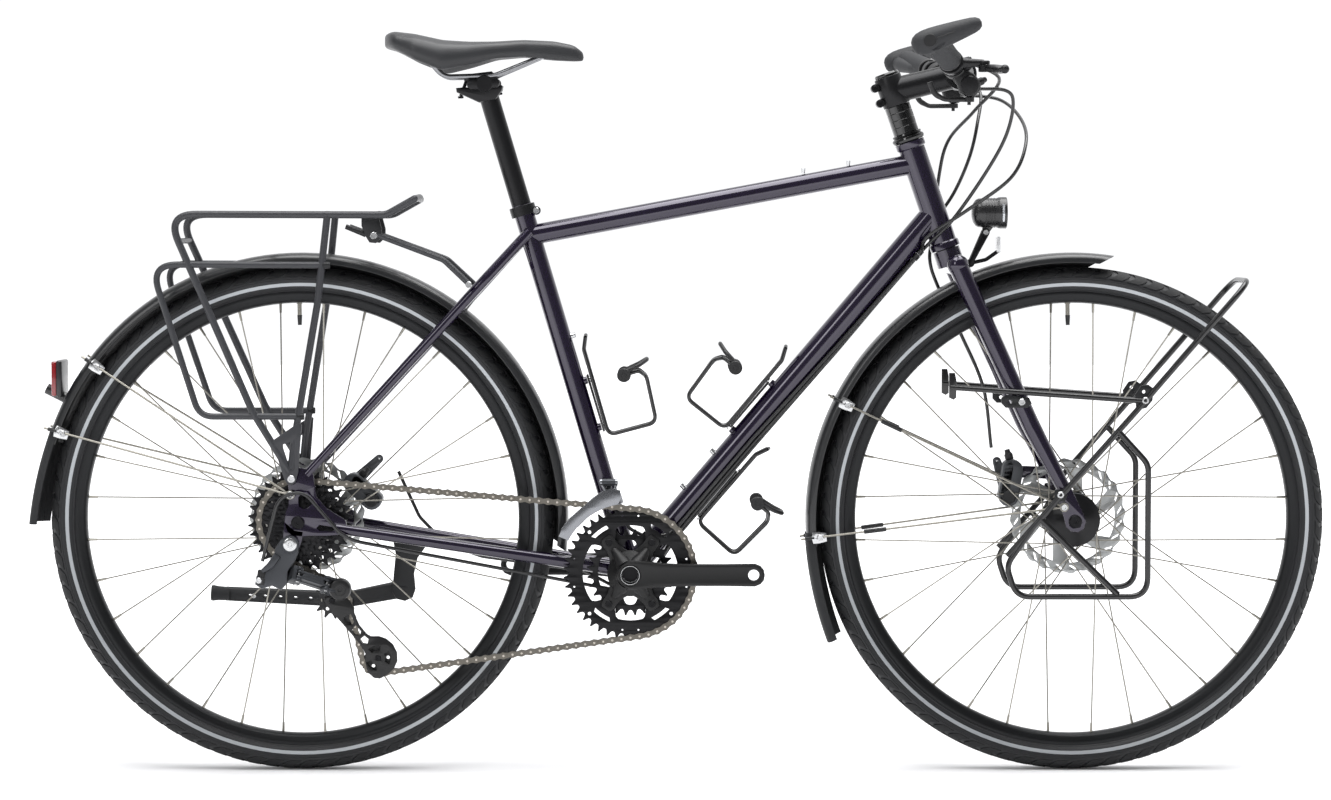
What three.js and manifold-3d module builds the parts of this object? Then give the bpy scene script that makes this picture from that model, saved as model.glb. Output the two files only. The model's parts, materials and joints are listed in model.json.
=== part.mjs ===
// Touring bicycle: rigid diamond frame, disc brakes, two chainrings, wide cassette, full mudguards,
// rear rack, low front rack, headlight, rear lamp, three bottle cages and a kickstand.
// Millimetres. X runs forward, Y to the rider's left, Z up. The drive side is at -Y.
import * as THREE from 'three';
import { mergeVertices } from 'three/addons/utils/BufferGeometryUtils.js';
import { ParametricGeometry } from 'three/addons/geometries/ParametricGeometry.js';
import Module from 'manifold-3d';

const wasm = await Module();
wasm.setup();

// Driving dimensions
const wheelbase = 1072;
const tyreOuterRadius = 351;
const tyreWidth = 42;
const rimOuterRadius = 316;
const rimInnerRadius = 301;
const rimWidth = 27;
const bottomBracketDrop = 72;
const chainstayLength = 463;
const seatTubeAngle = 73.4;
const seatTubeLength = 531;
const headAngle = 71;
const forkRake = 44;
const forkLength = 398;
const headTubeLength = 157;
const rearDropoutSpacing = 142;
const frontDropoutSpacing = 100;
const saddleHeight = 751;
const saddleSetback = 196;
const handlebarWidth = 600;
const crankLength = 170;
const chainPitch = 12.7;
const bigRingTeeth = 44;
const smallRingTeeth = 28;
const chainLine = 47;
const mudguardRadius = 371;
const mudguardWidth = 54;

// Fits shared by the whole bicycle
const clearance = 0.3;
const turningClearance = 0.6;
const overrun = 2;
const bury = 1;

// Geometry helpers
const weld = 1e-4;
const degree = Math.PI / 180;
const right = -1;
const left = 1;
const bothSides = [right, left];

function at(x, y, z) {
  return new THREE.Vector3(x, y, z);
}

function between(from, to, share) {
  return from.clone().lerp(to, share);
}

function besides(place, y) {
  return at(place.x, y, place.z);
}

function moved(place, x, z) {
  return at(place.x + x, place.y, place.z + z);
}

// A closed geometry, whichever way it was wound, becomes a solid whose faces point out.
function toSolid(geometry) {
  const bare = geometry.clone();
  bare.deleteAttribute('normal');
  bare.deleteAttribute('uv');
  const merged = mergeVertices(bare, weld);
  const places = merged.getAttribute('position');
  const corners = merged.index.array;
  const kept = [];
  let sixVolumes = 0;
  for (let i = 0; i < corners.length; i += 3) {
    const [a, b, c] = [corners[i], corners[i + 1], corners[i + 2]];
    if (a === b || b === c || c === a) continue;
    kept.push([a, b, c]);
    const [p, q, r] = [a, b, c].map((corner) => new THREE.Vector3().fromBufferAttribute(places, corner));
    sixVolumes += p.dot(q.cross(r));
  }
  const facing = sixVolumes < 0 ? kept.map(([a, b, c]) => [a, c, b]) : kept;
  return new wasm.Manifold(new wasm.Mesh({
    numProp: 3,
    vertProperties: new Float32Array(places.array),
    triVerts: new Uint32Array(facing.flat()),
  }));
}

function unite(...solids) {
  return solids.flat(Infinity).reduce((whole, next) => whole.add(next));
}

function cut(solid, ...tools) {
  return tools.flat(Infinity).reduce((rest, tool) => rest.subtract(tool), solid);
}

function toGeometry(solid) {
  const mesh = solid.getMesh();
  const geometry = new THREE.BufferGeometry();
  geometry.setAttribute('position', new THREE.BufferAttribute(new Float32Array(mesh.vertProperties), 3));
  geometry.setIndex(new THREE.BufferAttribute(new Uint32Array(mesh.triVerts), 1));
  geometry.computeVertexNormals();
  return geometry;
}

function placed(geometry, position, direction) {
  const turn = new THREE.Quaternion().setFromUnitVectors(at(0, 1, 0), direction.clone().normalize());
  geometry.applyQuaternion(turn);
  geometry.translate(position.x, position.y, position.z);
  return toSolid(geometry);
}

// A straight round tube or bar between two points, tapered where the end has its own diameter.
// It is always built towards the left, so that bars and bores on both sides have the same corners.
function rod(from, to, diameter, sides = 12, endDiameter = diameter) {
  if (to.y < from.y) return rod(to, from, endDiameter, sides, diameter);
  const length = from.distanceTo(to);
  const geometry = new THREE.CylinderGeometry(endDiameter / 2, diameter / 2, length, sides);
  return placed(geometry, between(from, to, 1 / 2), to.clone().sub(from));
}

// A disc or short shaft whose axis runs across the bicycle.
function shaft(centre, radius, fromY, toY, sides = 16) {
  return rod(besides(centre, fromY), besides(centre, toY), 2 * radius, sides);
}

// A turned piece: the profile lists [radius, place along the axis] and closes on itself.
function turned(profile, position, direction = at(0, 1, 0), sides = 24) {
  const points = [...profile, profile[0]].map(([radius, along]) => new THREE.Vector2(radius, along));
  return placed(new THREE.LatheGeometry(points, sides), position, direction);
}

function block(centre, width, depth, height, tilt = 0) {
  const geometry = new THREE.BoxGeometry(width, depth, height);
  geometry.rotateY(-tilt);
  geometry.translate(centre.x, centre.y, centre.z);
  return toSolid(geometry);
}

// A plate drawn in side view, [x, z] in the shape, with its thickness across the bicycle.
function sidePlate(shape, thickness, middleY, roundSteps = 4) {
  const settings = { depth: thickness, bevelEnabled: false, curveSegments: roundSteps };
  const geometry = new THREE.ExtrudeGeometry(shape, settings);
  geometry.rotateX(Math.PI / 2);
  geometry.translate(0, middleY + thickness / 2, 0);
  return toSolid(geometry);
}

function outline(points) {
  const corners = points.map(([x, z]) => new THREE.Vector2(x, z));
  if (THREE.ShapeUtils.isClockWise(corners)) corners.reverse();
  return new THREE.Shape(corners);
}

function roundHole(x, z, radius, sides = 8) {
  const points = [];
  for (let i = 0; i < sides; i += 1) {
    const angle = (i / sides) * 2 * Math.PI;
    points.push(new THREE.Vector2(x + radius * Math.cos(angle), z + radius * Math.sin(angle)));
  }
  return new THREE.Path(points);
}

function disc(x, z, radius, sides = 16) {
  return new THREE.Shape(roundHole(x, z, radius, sides).getPoints());
}

// The outline round a row of discs, each [x, z, radius], as a belt would lie: plates, arms and links.
function beltShape(discs, roundSteps = 3) {
  const points = [];
  discs.forEach((here, i) => {
    const before = discs[(i + discs.length - 1) % discs.length];
    const after = discs[(i + 1) % discs.length];
    const start = beltAngle(before, here);
    let turn = beltAngle(here, after) - start;
    while (turn < 0) turn += 2 * Math.PI;
    const steps = Math.max(1, Math.ceil(turn / (Math.PI / 2) * roundSteps));
    for (let step = 0; step <= steps; step += 1) {
      const angle = start + (turn * step) / steps;
      points.push(new THREE.Vector2(here[0] + here[2] * Math.cos(angle), here[1] + here[2] * Math.sin(angle)));
    }
  });
  return new THREE.Shape(points);
}

function beltAngle(from, to) {
  const distance = Math.hypot(to[0] - from[0], to[1] - from[1]);
  const heading = Math.atan2(to[1] - from[1], to[0] - from[0]);
  return heading + Math.asin((from[2] - to[2]) / distance) - Math.PI / 2;
}

// A path given by stations, used as they stand, so that a tube has steps only where it bends.
// A flat path keeps the section's first axis across the bicycle.
class StationPath extends THREE.Curve {
  constructor(stations, flat = false) {
    super();
    this.stations = stations;
    this.flat = flat;
  }

  getUtoTmapping(u) {
    return u;
  }

  getPoint(t, target = new THREE.Vector3()) {
    const place = t * (this.stations.length - 1);
    const index = Math.min(Math.floor(place), this.stations.length - 2);
    return target.lerpVectors(this.stations[index], this.stations[index + 1], place - index);
  }

  getTangent(t, target = new THREE.Vector3()) {
    const index = Math.round(t * (this.stations.length - 1));
    const here = this.stations[index];
    const before = this.stations[index - 1];
    const after = this.stations[index + 1];
    target.set(0, 0, 0);
    if (before) target.add(here.clone().sub(before).normalize());
    if (after) target.add(after.clone().sub(here).normalize());
    return target.normalize();
  }

  computeFrenetFrames(segments, closed) {
    if (!this.flat) return super.computeFrenetFrames(segments, closed);
    const tangents = [];
    const normals = [];
    const binormals = [];
    for (let i = 0; i <= segments; i += 1) {
      const tangent = this.getTangent(i / segments);
      tangents.push(tangent);
      normals.push(at(0, 1, 0));
      binormals.push(tangent.clone().cross(at(0, 1, 0)));
    }
    return { tangents, normals, binormals };
  }
}

// The points with each corner rounded to one bend radius.
function bends(points, radius, stepAngle = 30) {
  const stations = [points[0]];
  for (let i = 1; i < points.length - 1; i += 1) {
    const back = points[i - 1].clone().sub(points[i]);
    const ahead = points[i + 1].clone().sub(points[i]);
    const reach = Math.min(back.length(), ahead.length()) * 0.49;
    back.normalize();
    ahead.normalize();
    const turn = Math.PI - back.angleTo(ahead);
    if (turn < degree) continue;
    const setback = Math.min(radius * Math.tan(turn / 2), reach);
    const trueRadius = setback / Math.tan(turn / 2);
    const middle = back.clone().add(ahead).normalize().multiplyScalar(trueRadius / Math.cos(turn / 2));
    const centre = points[i].clone().add(middle);
    const first = points[i].clone().addScaledVector(back, setback).sub(centre);
    const last = points[i].clone().addScaledVector(ahead, setback).sub(centre);
    const steps = Math.max(1, Math.round(turn / (stepAngle * degree)));
    for (let step = 0; step <= steps; step += 1) {
      const share = step / steps;
      const from = first.clone().multiplyScalar(Math.sin((1 - share) * turn) / Math.sin(turn));
      const to = last.clone().multiplyScalar(Math.sin(share * turn) / Math.sin(turn));
      stations.push(from.add(to).add(centre));
    }
  }
  stations.push(points[points.length - 1]);
  return stations;
}

function sweep(section, stations, flat = false) {
  const path = new StationPath(stations, flat);
  const settings = { steps: stations.length - 1, extrudePath: path, bevelEnabled: false };
  return toSolid(new THREE.ExtrudeGeometry(section, settings));
}

function tube(points, diameter, bendRadius, sides = 8, stepAngle = 30) {
  return sweep(disc(0, 0, diameter / 2, sides), bends(points, bendRadius, stepAngle));
}

// A cable housing on a smooth curve through points chosen by hand.
function housing(points, diameter, steps, sides = 8) {
  const curve = new THREE.CatmullRomCurve3(points, false, 'centripetal');
  return sweep(disc(0, 0, diameter / 2, sides), curve.getSpacedPoints(steps));
}

// A solid stretched over rings of points, closed to a point at each end
function loft(rings) {
  const middles = [rings[0], rings[rings.length - 1]].map((ring) => (
    ring.reduce((sum, place) => sum.add(place), at(0, 0, 0)).divideScalar(ring.length)
  ));
  const size = rings[0].length;
  const capped = [Array(size).fill(middles[0]), ...rings, Array(size).fill(middles[1])];
  const place = (u, v, target) => {
    const ring = capped[Math.round(u * (capped.length - 1))];
    target.copy(ring[Math.round(v * size) % size]);
  };
  return toSolid(new ParametricGeometry(place, capped.length - 1, size));
}

// A ring of points round a place on a path; its corners lie as a rod's do.
function ringAt(place, direction, radius, sides) {
  const turn = new THREE.Quaternion().setFromUnitVectors(at(0, 1, 0), direction.clone().normalize());
  return roundHole(0, 0, radius, sides).getPoints().slice(0, sides).map(({ x, y }) => (
    at(y, 0, x).applyQuaternion(turn).add(place)
  ));
}

// A bent tube whose diameter is given at each station, [place, diameter]
function taperedTube(stations, sides) {
  return loft(stations.map(([place, diameter], i) => {
    const back = i > 0 ? place.clone().sub(stations[i - 1][0]).normalize() : at(0, 0, 0);
    const ahead = i < stations.length - 1 ? stations[i + 1][0].clone().sub(place).normalize() : at(0, 0, 0);
    return ringAt(place, back.add(ahead), diameter / 2, sides);
  }));
}

// A short round standoff from one place towards a bar, ending a clearance before its surface
function standoff(from, to, barDiameter, diameter) {
  const reach = from.distanceTo(to) - barDiameter / 2 - clearance;
  return rod(from, from.clone().lerp(to, reach / from.distanceTo(to)), diameter, 6);
}

function turnedAbout(solid, centre, axis, angle) {
  const geometry = toGeometry(solid);
  geometry.translate(-centre.x, -centre.y, -centre.z);
  geometry.applyQuaternion(new THREE.Quaternion().setFromAxisAngle(axis, angle));
  geometry.translate(centre.x, centre.y, centre.z);
  return toSolid(geometry);
}

// Finishes
function finish(color, roughness, metalness) {
  return new THREE.MeshStandardMaterial({ color, roughness, metalness, flatShading: true });
}

const paintedFrame = finish('#1d1524', 0.22, 0.35);
const satinBlack = finish('#1b1b1d', 0.5, 0.3);
const glossBlack = finish('#131314', 0.2, 0.3);
const anthracite = finish('#36373a', 0.62, 0.3);
const blackPlastic = finish('#202022', 0.6, 0);
const rubber = finish('#1f1f22', 0.9, 0);
const gripRubber = finish('#3a3b3d', 0.85, 0);
const stainless = finish('#b9bbbd', 0.3, 1);
const greyAlloy = finish('#6b6d70', 0.45, 0.8);
const chainNickel = finish('#a9a59c', 0.35, 1);
const blackSteel = finish('#242426', 0.45, 0.7);
const saddleCover = finish('#37383b', 0.75, 0);
const lampRed = finish('#7a0d12', 0.25, 0);

// The scene graph: rigid groups of the bicycle
const bicycle = new THREE.Group();

function piece(name, solid, material, parent = bicycle) {
  const mesh = new THREE.Mesh(toGeometry(solid), material);
  mesh.name = name;
  parent.add(mesh);
}

function groupAt(place) {
  const group = new THREE.Group();
  group.position.copy(place);
  bicycle.add(group);
  return group;
}

// Layout worked out from the driving dimensions
const rearAxle = at(0, 0, tyreOuterRadius);
const frontAxle = at(wheelbase, 0, tyreOuterRadius);
const chainstayRun = Math.sqrt(chainstayLength ** 2 - bottomBracketDrop ** 2);
const crankCentre = at(chainstayRun, 0, tyreOuterRadius - bottomBracketDrop);
const seatLine = at(-Math.cos(seatTubeAngle * degree), 0, Math.sin(seatTubeAngle * degree));
const headLine = at(-Math.cos(headAngle * degree), 0, Math.sin(headAngle * degree));
const headFoot = moved(frontAxle, -forkRake / Math.sin(headAngle * degree), 0);

function onSeatLine(along) {
  return crankCentre.clone().addScaledVector(seatLine, along);
}

function onHeadLine(along) {
  return headFoot.clone().addScaledVector(headLine, along);
}

// Wheels: rim, spokes and hub are laced into one piece, with a tyre and a brake rotor of their own.
const wheelSides = 32;
const hubSides = 10;
const spokeDiameter = 2.2;
const spokesPerFlange = 16;
const crossings = 3;
const axleRadius = 6;
const rotorRadius = 80;
const rotorThickness = 1.8;
const rotorTrack = 14;
const rotorBore = 22;
// Rotor plane, measured in from the dropout face
const frontRotorInset = 10.4;
const rearRotorInset = 15.3;
// Share of the tyre's height above the rim, then of its half width
const tyreShares = [[0, 0.56], [0.42, 1], [1, 0.42]];
// Share of the rim's depth from its inner edge, then of its half width
const rimShares = [[1, 1], [0, 0.5]];

function symmetric(profile) {
  return [...profile, ...profile.map(([radius, along]) => [radius, -along]).reverse()];
}

function makeTyre() {
  const seat = rimOuterRadius + clearance;
  const height = tyreOuterRadius - seat;
  const half = tyreWidth / 2;
  const profile = tyreShares.map(([heightShare, widthShare]) => [seat + height * heightShare, half * widthShare]);
  return turned(symmetric(profile), at(0, 0, 0), at(0, 1, 0), wheelSides);
}

function makeRim() {
  const depth = rimOuterRadius - rimInnerRadius;
  const half = rimWidth / 2;
  const profile = rimShares.map(([depthShare, widthShare]) => [rimInnerRadius + depth * depthShare, half * widthShare]);
  return turned(symmetric(profile), at(0, 0, 0), at(0, 1, 0), wheelSides);
}

// Tangent spokes: each leaves its flange forward or back in turn and crosses three others on its way.
function makeSpokes(flangeRadius, flangeY, shift) {
  const spacing = (2 * Math.PI) / spokesPerFlange;
  const spokes = [];
  for (let i = 0; i < spokesPerFlange; i += 1) {
    const lean = i % 2 === 0 ? 1 : -1;
    const hubAngle = (i + shift) * spacing;
    const rimAngle = hubAngle + lean * crossings * spacing;
    const layer = (lean * (spokeDiameter + overrun / 10)) / 2;
    const hubEnd = onCircle(flangeRadius, hubAngle, flangeY + layer);
    const rimEnd = onCircle(rimInnerRadius + bury, rimAngle, layer);
    spokes.push(rod(hubEnd, rimEnd, spokeDiameter, 3));
  }
  return spokes;
}

function onCircle(radius, angle, y = 0) {
  return at(radius * Math.cos(angle), y, radius * Math.sin(angle));
}

const frontHub = {
  endRadius: 10, shellRadius: 33, shellHalf: 27, flangeRadius: 38, flangeWidth: 4.6, spokeRadius: 35,
};
const rearHub = {
  endRadius: 9, freehubRadius: 16.5, freehubInnerY: -38, barrelRadius: 14, flangeRadius: 29, flangeWidth: 4.6,
  rightFlangeY: -25, leftFlangeY: 33, spokeRadius: 26,
};
const hubBore = axleRadius + turningClearance;

// Where the rotor's inner face sits on its hub
function rotorSeat(spacing, inset) {
  return spacing / 2 - inset - rotorThickness / 2;
}

function makeFrontHub() {
  const end = frontDropoutSpacing / 2 - clearance;
  const seat = rotorSeat(frontDropoutSpacing, frontRotorInset) - clearance;
  const { endRadius, shellRadius, shellHalf, flangeRadius, flangeWidth } = frontHub;
  return turned([
    [hubBore, -end], [endRadius, -end], [endRadius, -shellHalf], [flangeRadius, -shellHalf],
    [flangeRadius, -shellHalf + flangeWidth], [shellRadius, -shellHalf + flangeWidth],
    [shellRadius, shellHalf - flangeWidth], [flangeRadius, shellHalf - flangeWidth],
    [flangeRadius, shellHalf], [rotorBore + flangeWidth, shellHalf], [rotorBore + flangeWidth, seat],
    [rotorBore - clearance, seat], [rotorBore - clearance, seat + rotorThickness + 2 * clearance],
    [endRadius, seat + rotorThickness + flangeWidth], [endRadius, end], [hubBore, end],
  ], at(0, 0, 0), at(0, 1, 0), hubSides);
}

function makeRearHub() {
  const end = rearDropoutSpacing / 2 - clearance;
  const seat = rotorSeat(rearDropoutSpacing, rearRotorInset) - clearance;
  const {
    endRadius, freehubRadius, freehubInnerY, barrelRadius, flangeRadius, flangeWidth, rightFlangeY, leftFlangeY,
  } = rearHub;
  return turned([
    [hubBore, -end], [freehubRadius, -end],
    [freehubRadius, freehubInnerY], [barrelRadius, freehubInnerY], [barrelRadius, rightFlangeY],
    [flangeRadius, rightFlangeY], [flangeRadius, rightFlangeY + flangeWidth],
    [barrelRadius, rightFlangeY + flangeWidth], [barrelRadius, leftFlangeY - flangeWidth],
    [flangeRadius, leftFlangeY - flangeWidth], [flangeRadius, leftFlangeY], [rotorBore + flangeWidth, leftFlangeY],
    [rotorBore + flangeWidth, seat], [rotorBore - clearance, seat],
    [rotorBore - clearance, seat + rotorThickness + 2 * clearance], [endRadius, seat + rotorThickness + flangeWidth],
    [endRadius, end], [hubBore, end],
  ], at(0, 0, 0), at(0, 1, 0), hubSides);
}

function makeRotor(y) {
  const arms = 6;
  const trackInner = rotorRadius - rotorTrack;
  const carrierOuter = rotorBore + rotorTrack / 2;
  const armHalf = rotorTrack / 3;
  const lean = 25 * degree;
  const shape = disc(0, 0, rotorRadius, 24);
  for (let arm = 0; arm < arms; arm += 1) {
    const start = (arm / arms) * 2 * Math.PI;
    const end = ((arm + 1) / arms) * 2 * Math.PI;
    const window = [
      [carrierOuter, start + armHalf / carrierOuter], [carrierOuter, end - armHalf / carrierOuter],
      [trackInner, end + lean - armHalf / trackInner], [trackInner, start + lean + armHalf / trackInner],
    ];
    const corners = window.map(([radius, angle]) => [radius * Math.cos(angle), radius * Math.sin(angle)]);
    shape.holes.push(new THREE.Path(corners.map(([x, z]) => new THREE.Vector2(x, z))));
  }
  return cut(
    sidePlate(shape, rotorThickness, y),
    shaft(at(0, 0, 0), rotorBore, y - rotorThickness, y + rotorThickness, hubSides),
  );
}

const frontRotorY = frontDropoutSpacing / 2 - frontRotorInset;
const rearRotorY = rearDropoutSpacing / 2 - rearRotorInset;
const frontWheel = groupAt(frontAxle);
const rearWheel = groupAt(rearAxle);
piece('front_tyre', makeTyre(), rubber, frontWheel);
piece('rear_tyre', makeTyre(), rubber, rearWheel);
const frontSpokeY = frontHub.shellHalf - frontHub.flangeWidth / 2;
piece('front_wheel', unite(
  makeRim(),
  makeSpokes(frontHub.spokeRadius, -frontSpokeY, 1 / 4),
  makeSpokes(frontHub.spokeRadius, frontSpokeY, 3 / 4),
  makeFrontHub(),
), satinBlack, frontWheel);
piece('rear_wheel', unite(
  makeRim(),
  makeSpokes(rearHub.spokeRadius, rearHub.rightFlangeY + rearHub.flangeWidth / 2, 1 / 4),
  makeSpokes(rearHub.spokeRadius, rearHub.leftFlangeY - rearHub.flangeWidth / 2, 3 / 4),
  makeRearHub(),
), satinBlack, rearWheel);
piece('front_rotor', makeRotor(frontRotorY), stainless, frontWheel);
piece('rear_rotor', makeRotor(rearRotorY), stainless, rearWheel);

// Sprockets: tooth valleys hold the chain's rollers, and the teeth stand between them.
const rollerRadius = 3.9;
const rollerRelief = 0.35;
const valleyHalf = 3;
const toothHeight = 3.5;
const cogThickness = 1.8;
const cogSpacing = 4.3;
const cassetteTeeth = [34, 28, 24, 21, 18, 15, 12];
const chainedCog = 1;

function pitchRadius(teeth) {
  return chainPitch / (2 * Math.sin(Math.PI / teeth));
}

// The full tooth has a flat valley; the plain one is for sprockets that the chain isn't on.
function sprocketShape(teeth, phase, full) {
  const radius = pitchRadius(teeth);
  const depth = rollerRadius + rollerRelief;
  const middle = chainPitch / 2;
  const fullTooth = [
    [-valleyHalf, -depth], [valleyHalf, -depth], [middle, toothHeight],
  ];
  const plainTooth = [[0, -depth], [middle, toothHeight]];
  const points = [];
  for (let tooth = 0; tooth < teeth; tooth += 1) {
    const valley = phase + (tooth / teeth) * 2 * Math.PI;
    (full ? fullTooth : plainTooth).forEach(([around, out]) => {
      const angle = valley + around / radius;
      points.push([(radius + out) * Math.cos(angle), (radius + out) * Math.sin(angle)]);
    });
  }
  return outline(points);
}

// Rear derailleur layout, beside the chain because the cage's swing takes up its slack
const pulleyTeeth = 11;
const hangerBolt = moved(rearAxle, -9, -28.5);
const cagePivot = moved(rearAxle, 57.6, -92.4);
const guidePulley = moved(rearAxle, 44.6, -110);
const tensionPulleyAtRest = moved(rearAxle, 99.4, -193.4);
const pulleyRadius = pitchRadius(pulleyTeeth);

// Belt path over the four toothed wheels. Turn is 1 where the path runs anticlockwise seen from
// the drive side, and -1 where it runs clockwise.
function chainWheels(tensionPulley) {
  return [
    { centre: crankCentre, radius: pitchRadius(bigRingTeeth), turn: 1 },
    { centre: rearAxle, radius: pitchRadius(cassetteTeeth[chainedCog]), turn: 1 },
    { centre: guidePulley, radius: pulleyRadius, turn: -1 },
    { centre: tensionPulley, radius: pulleyRadius, turn: 1 },
  ];
}

function tangentAngle(from, to) {
  const dx = to.centre.x - from.centre.x;
  const dz = to.centre.z - from.centre.z;
  const spread = from.radius * from.turn - to.radius * to.turn;
  return Math.atan2(dz, dx) + Math.asin(spread / Math.hypot(dx, dz));
}

// Every stretch of the loop, with its length counted in links: arcs first, then the straight after each.
function chainStretches(tensionPulley) {
  const wheels = chainWheels(tensionPulley);
  const stretches = [];
  wheels.forEach((wheel, i) => {
    const before = wheels[(i + wheels.length - 1) % wheels.length];
    const after = wheels[(i + 1) % wheels.length];
    const arriving = tangentAngle(before, wheel);
    const leaving = tangentAngle(wheel, after);
    let sweepAngle = (leaving - arriving) * wheel.turn;
    while (sweepAngle < 0) sweepAngle += 2 * Math.PI;
    const startAngle = arriving - (wheel.turn * Math.PI) / 2;
    const stepAngle = 2 * Math.asin(chainPitch / (2 * wheel.radius));
    stretches.push({ wheel, startAngle, sweepAngle, links: sweepAngle / stepAngle });
    const endAngle = leaving - (wheel.turn * Math.PI) / 2;
    const from = onWheel(wheel, endAngle);
    const nextStart = tangentAngle(wheel, after) - (after.turn * Math.PI) / 2;
    const to = onWheel(after, nextStart);
    stretches.push({ from, to, links: from.distanceTo(to) / chainPitch });
  });
  return stretches;
}

function onWheel(wheel, angle) {
  const { centre, radius } = wheel;
  return at(centre.x + radius * Math.cos(angle), 0, centre.z + radius * Math.sin(angle));
}

function linksWith(tensionPulley) {
  return chainStretches(tensionPulley).reduce((sum, stretch) => sum + stretch.links, 0);
}

function swungPulley(swing) {
  const reach = tensionPulleyAtRest.clone().sub(cagePivot);
  return reach.applyAxisAngle(at(0, 1, 0), swing).add(cagePivot);
}

// The sprung cage swings until an even, whole number of links closes the loop.
function takeUpSlack() {
  const linkCount = 2 * Math.round(linksWith(tensionPulleyAtRest) / 2);
  const slack = (swing) => linksWith(swungPulley(swing)) - linkCount;
  let [low, high] = [-30 * degree, 30 * degree];
  for (let step = 0; step < 60; step += 1) {
    const middle = (low + high) / 2;
    if (slack(low) * slack(middle) <= 0) high = middle;
    else low = middle;
  }
  return { linkCount, tensionPulley: swungPulley(low), cageSwing: low };
}

const { linkCount, tensionPulley } = takeUpSlack();

// Pin places round the loop, one link apart, and the tooth phase that each wheel takes from them
function layPins() {
  const pins = [];
  const phases = [];
  let reached = 0;
  chainStretches(tensionPulley).forEach((stretch) => {
    const end = reached + stretch.links;
    for (let pin = Math.ceil(reached); pin < end && pin < linkCount; pin += 1) {
      const share = (pin - reached) / stretch.links;
      if (stretch.wheel) {
        const angle = stretch.startAngle + stretch.wheel.turn * stretch.sweepAngle * share;
        pins.push(onWheel(stretch.wheel, angle));
        if (phases.length < 1 + stretchIndex(stretch.wheel)) phases.push(angle);
      } else {
        pins.push(between(stretch.from, stretch.to, share));
      }
    }
    reached = end;
  });
  return { pins, phases };
}

function stretchIndex(wheel) {
  return chainWheels(tensionPulley).findIndex(({ centre }) => centre.distanceTo(wheel.centre) === 0);
}

const { pins, phases } = layPins();
const [bigRingPhase, cogPhase, guidePhase, tensionPhase] = phases;

// Chain: two rows of side plates with a roller across them at each pin.
const chainInnerHalf = 1.5;
const chainOuterHalf = 3.1;
const plateHalfHeight = 4.2;
const rollerSides = 3;

function makeChainPlates(middleY) {
  const outer = [];
  const inner = [];
  pins.forEach((pin, i) => {
    const next = pins[(i + 1) % pins.length];
    const before = pins[(i + pins.length - 1) % pins.length];
    const along = next.clone().sub(before).normalize();
    const away = at(along.z, 0, -along.x);
    if (next.clone().sub(pin).angleTo(pin.clone().sub(before)) < degree) return;
    outer.push([pin.x + away.x * plateHalfHeight, pin.z + away.z * plateHalfHeight]);
    inner.push([pin.x - away.x * plateHalfHeight, pin.z - away.z * plateHalfHeight]);
  });
  const shape = outline(outer);
  shape.holes.push(new THREE.Path(inner.map(([x, z]) => new THREE.Vector2(x, z))));
  return sidePlate(shape, chainOuterHalf - chainInnerHalf, middleY);
}

function makeChain() {
  const plateMiddle = (chainInnerHalf + chainOuterHalf) / 2;
  const rows = bothSides.map((side) => makeChainPlates(-chainLine + side * plateMiddle));
  const rollers = pins.map((pin) => shaft(
    pin,
    rollerRadius,
    -chainLine - chainInnerHalf - bury / 2,
    -chainLine + chainInnerHalf + bury / 2,
    rollerSides,
  ));
  return unite(rows, rollers);
}

piece('chain', makeChain(), chainNickel);

// Cassette: sprockets in a stack on a carrier that slides over the freehub
function makeCassette() {
  const bore = rearHub.freehubRadius + turningClearance;
  const cogs = cassetteTeeth.map((teeth, i) => {
    const y = -chainLine + (chainedCog - i) * cogSpacing;
    const shape = sprocketShape(teeth, i === chainedCog ? cogPhase : 0, i === chainedCog);
    return sidePlate(shape, cogThickness, y);
  });
  const innerY = -chainLine + chainedCog * cogSpacing + cogThickness / 2;
  const outerY = -chainLine + (chainedCog - cassetteTeeth.length + 1) * cogSpacing - cogThickness / 2;
  const carrier = shaft(at(0, 0, 0), bore + 2 * overrun, outerY, innerY, 6);
  return cut(unite(carrier, cogs), shaft(at(0, 0, 0), bore, outerY - overrun, innerY + overrun, 12));
}

const cassetteGroup = groupAt(rearAxle);
piece('cassette', makeCassette(), blackSteel, cassetteGroup);

// Crankset: both rings bolt to a four-arm spider on the right arm, whose spindle carries the left arm.
const spiderAngles = [55, 125, 235, 305];
const ringThickness = 2;
const ringSpacing = 8;
const crank = {
  bossRadius: 17, endRadius: 14, thickness: 13, spiderThickness: 5, boltCircle: 52, smallBoltCircle: 32,
  boltRadius: 4.5, tabRadius: 8, armWidth: 15, pedalBore: 7, spindleRadius: 12, outerY: 84,
};
const ringInnerShare = 0.83;
const spiderY = -chainLine - ringThickness / 2 - clearance - crank.spiderThickness / 2;

function makeRing(teeth, phase, y, boltCircle, full) {
  const shape = sprocketShape(teeth, phase, full);
  const innerRadius = pitchRadius(teeth) * ringInnerShare;
  shape.holes.push(roundHole(0, 0, innerRadius, 16));
  const tabs = spiderAngles.map((angle) => {
    const [x, z] = [Math.cos(angle * degree), Math.sin(angle * degree)];
    const rim = innerRadius + bury;
    const tab = beltShape([
      [x * boltCircle, z * boltCircle, crank.tabRadius], [x * rim, z * rim, crank.tabRadius / 2],
    ], 1);
    tab.holes.push(roundHole(x * boltCircle, z * boltCircle, crank.boltRadius + clearance, 4));
    return sidePlate(tab, ringThickness, y);
  });
  return unite(sidePlate(shape, ringThickness, y), tabs);
}

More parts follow.
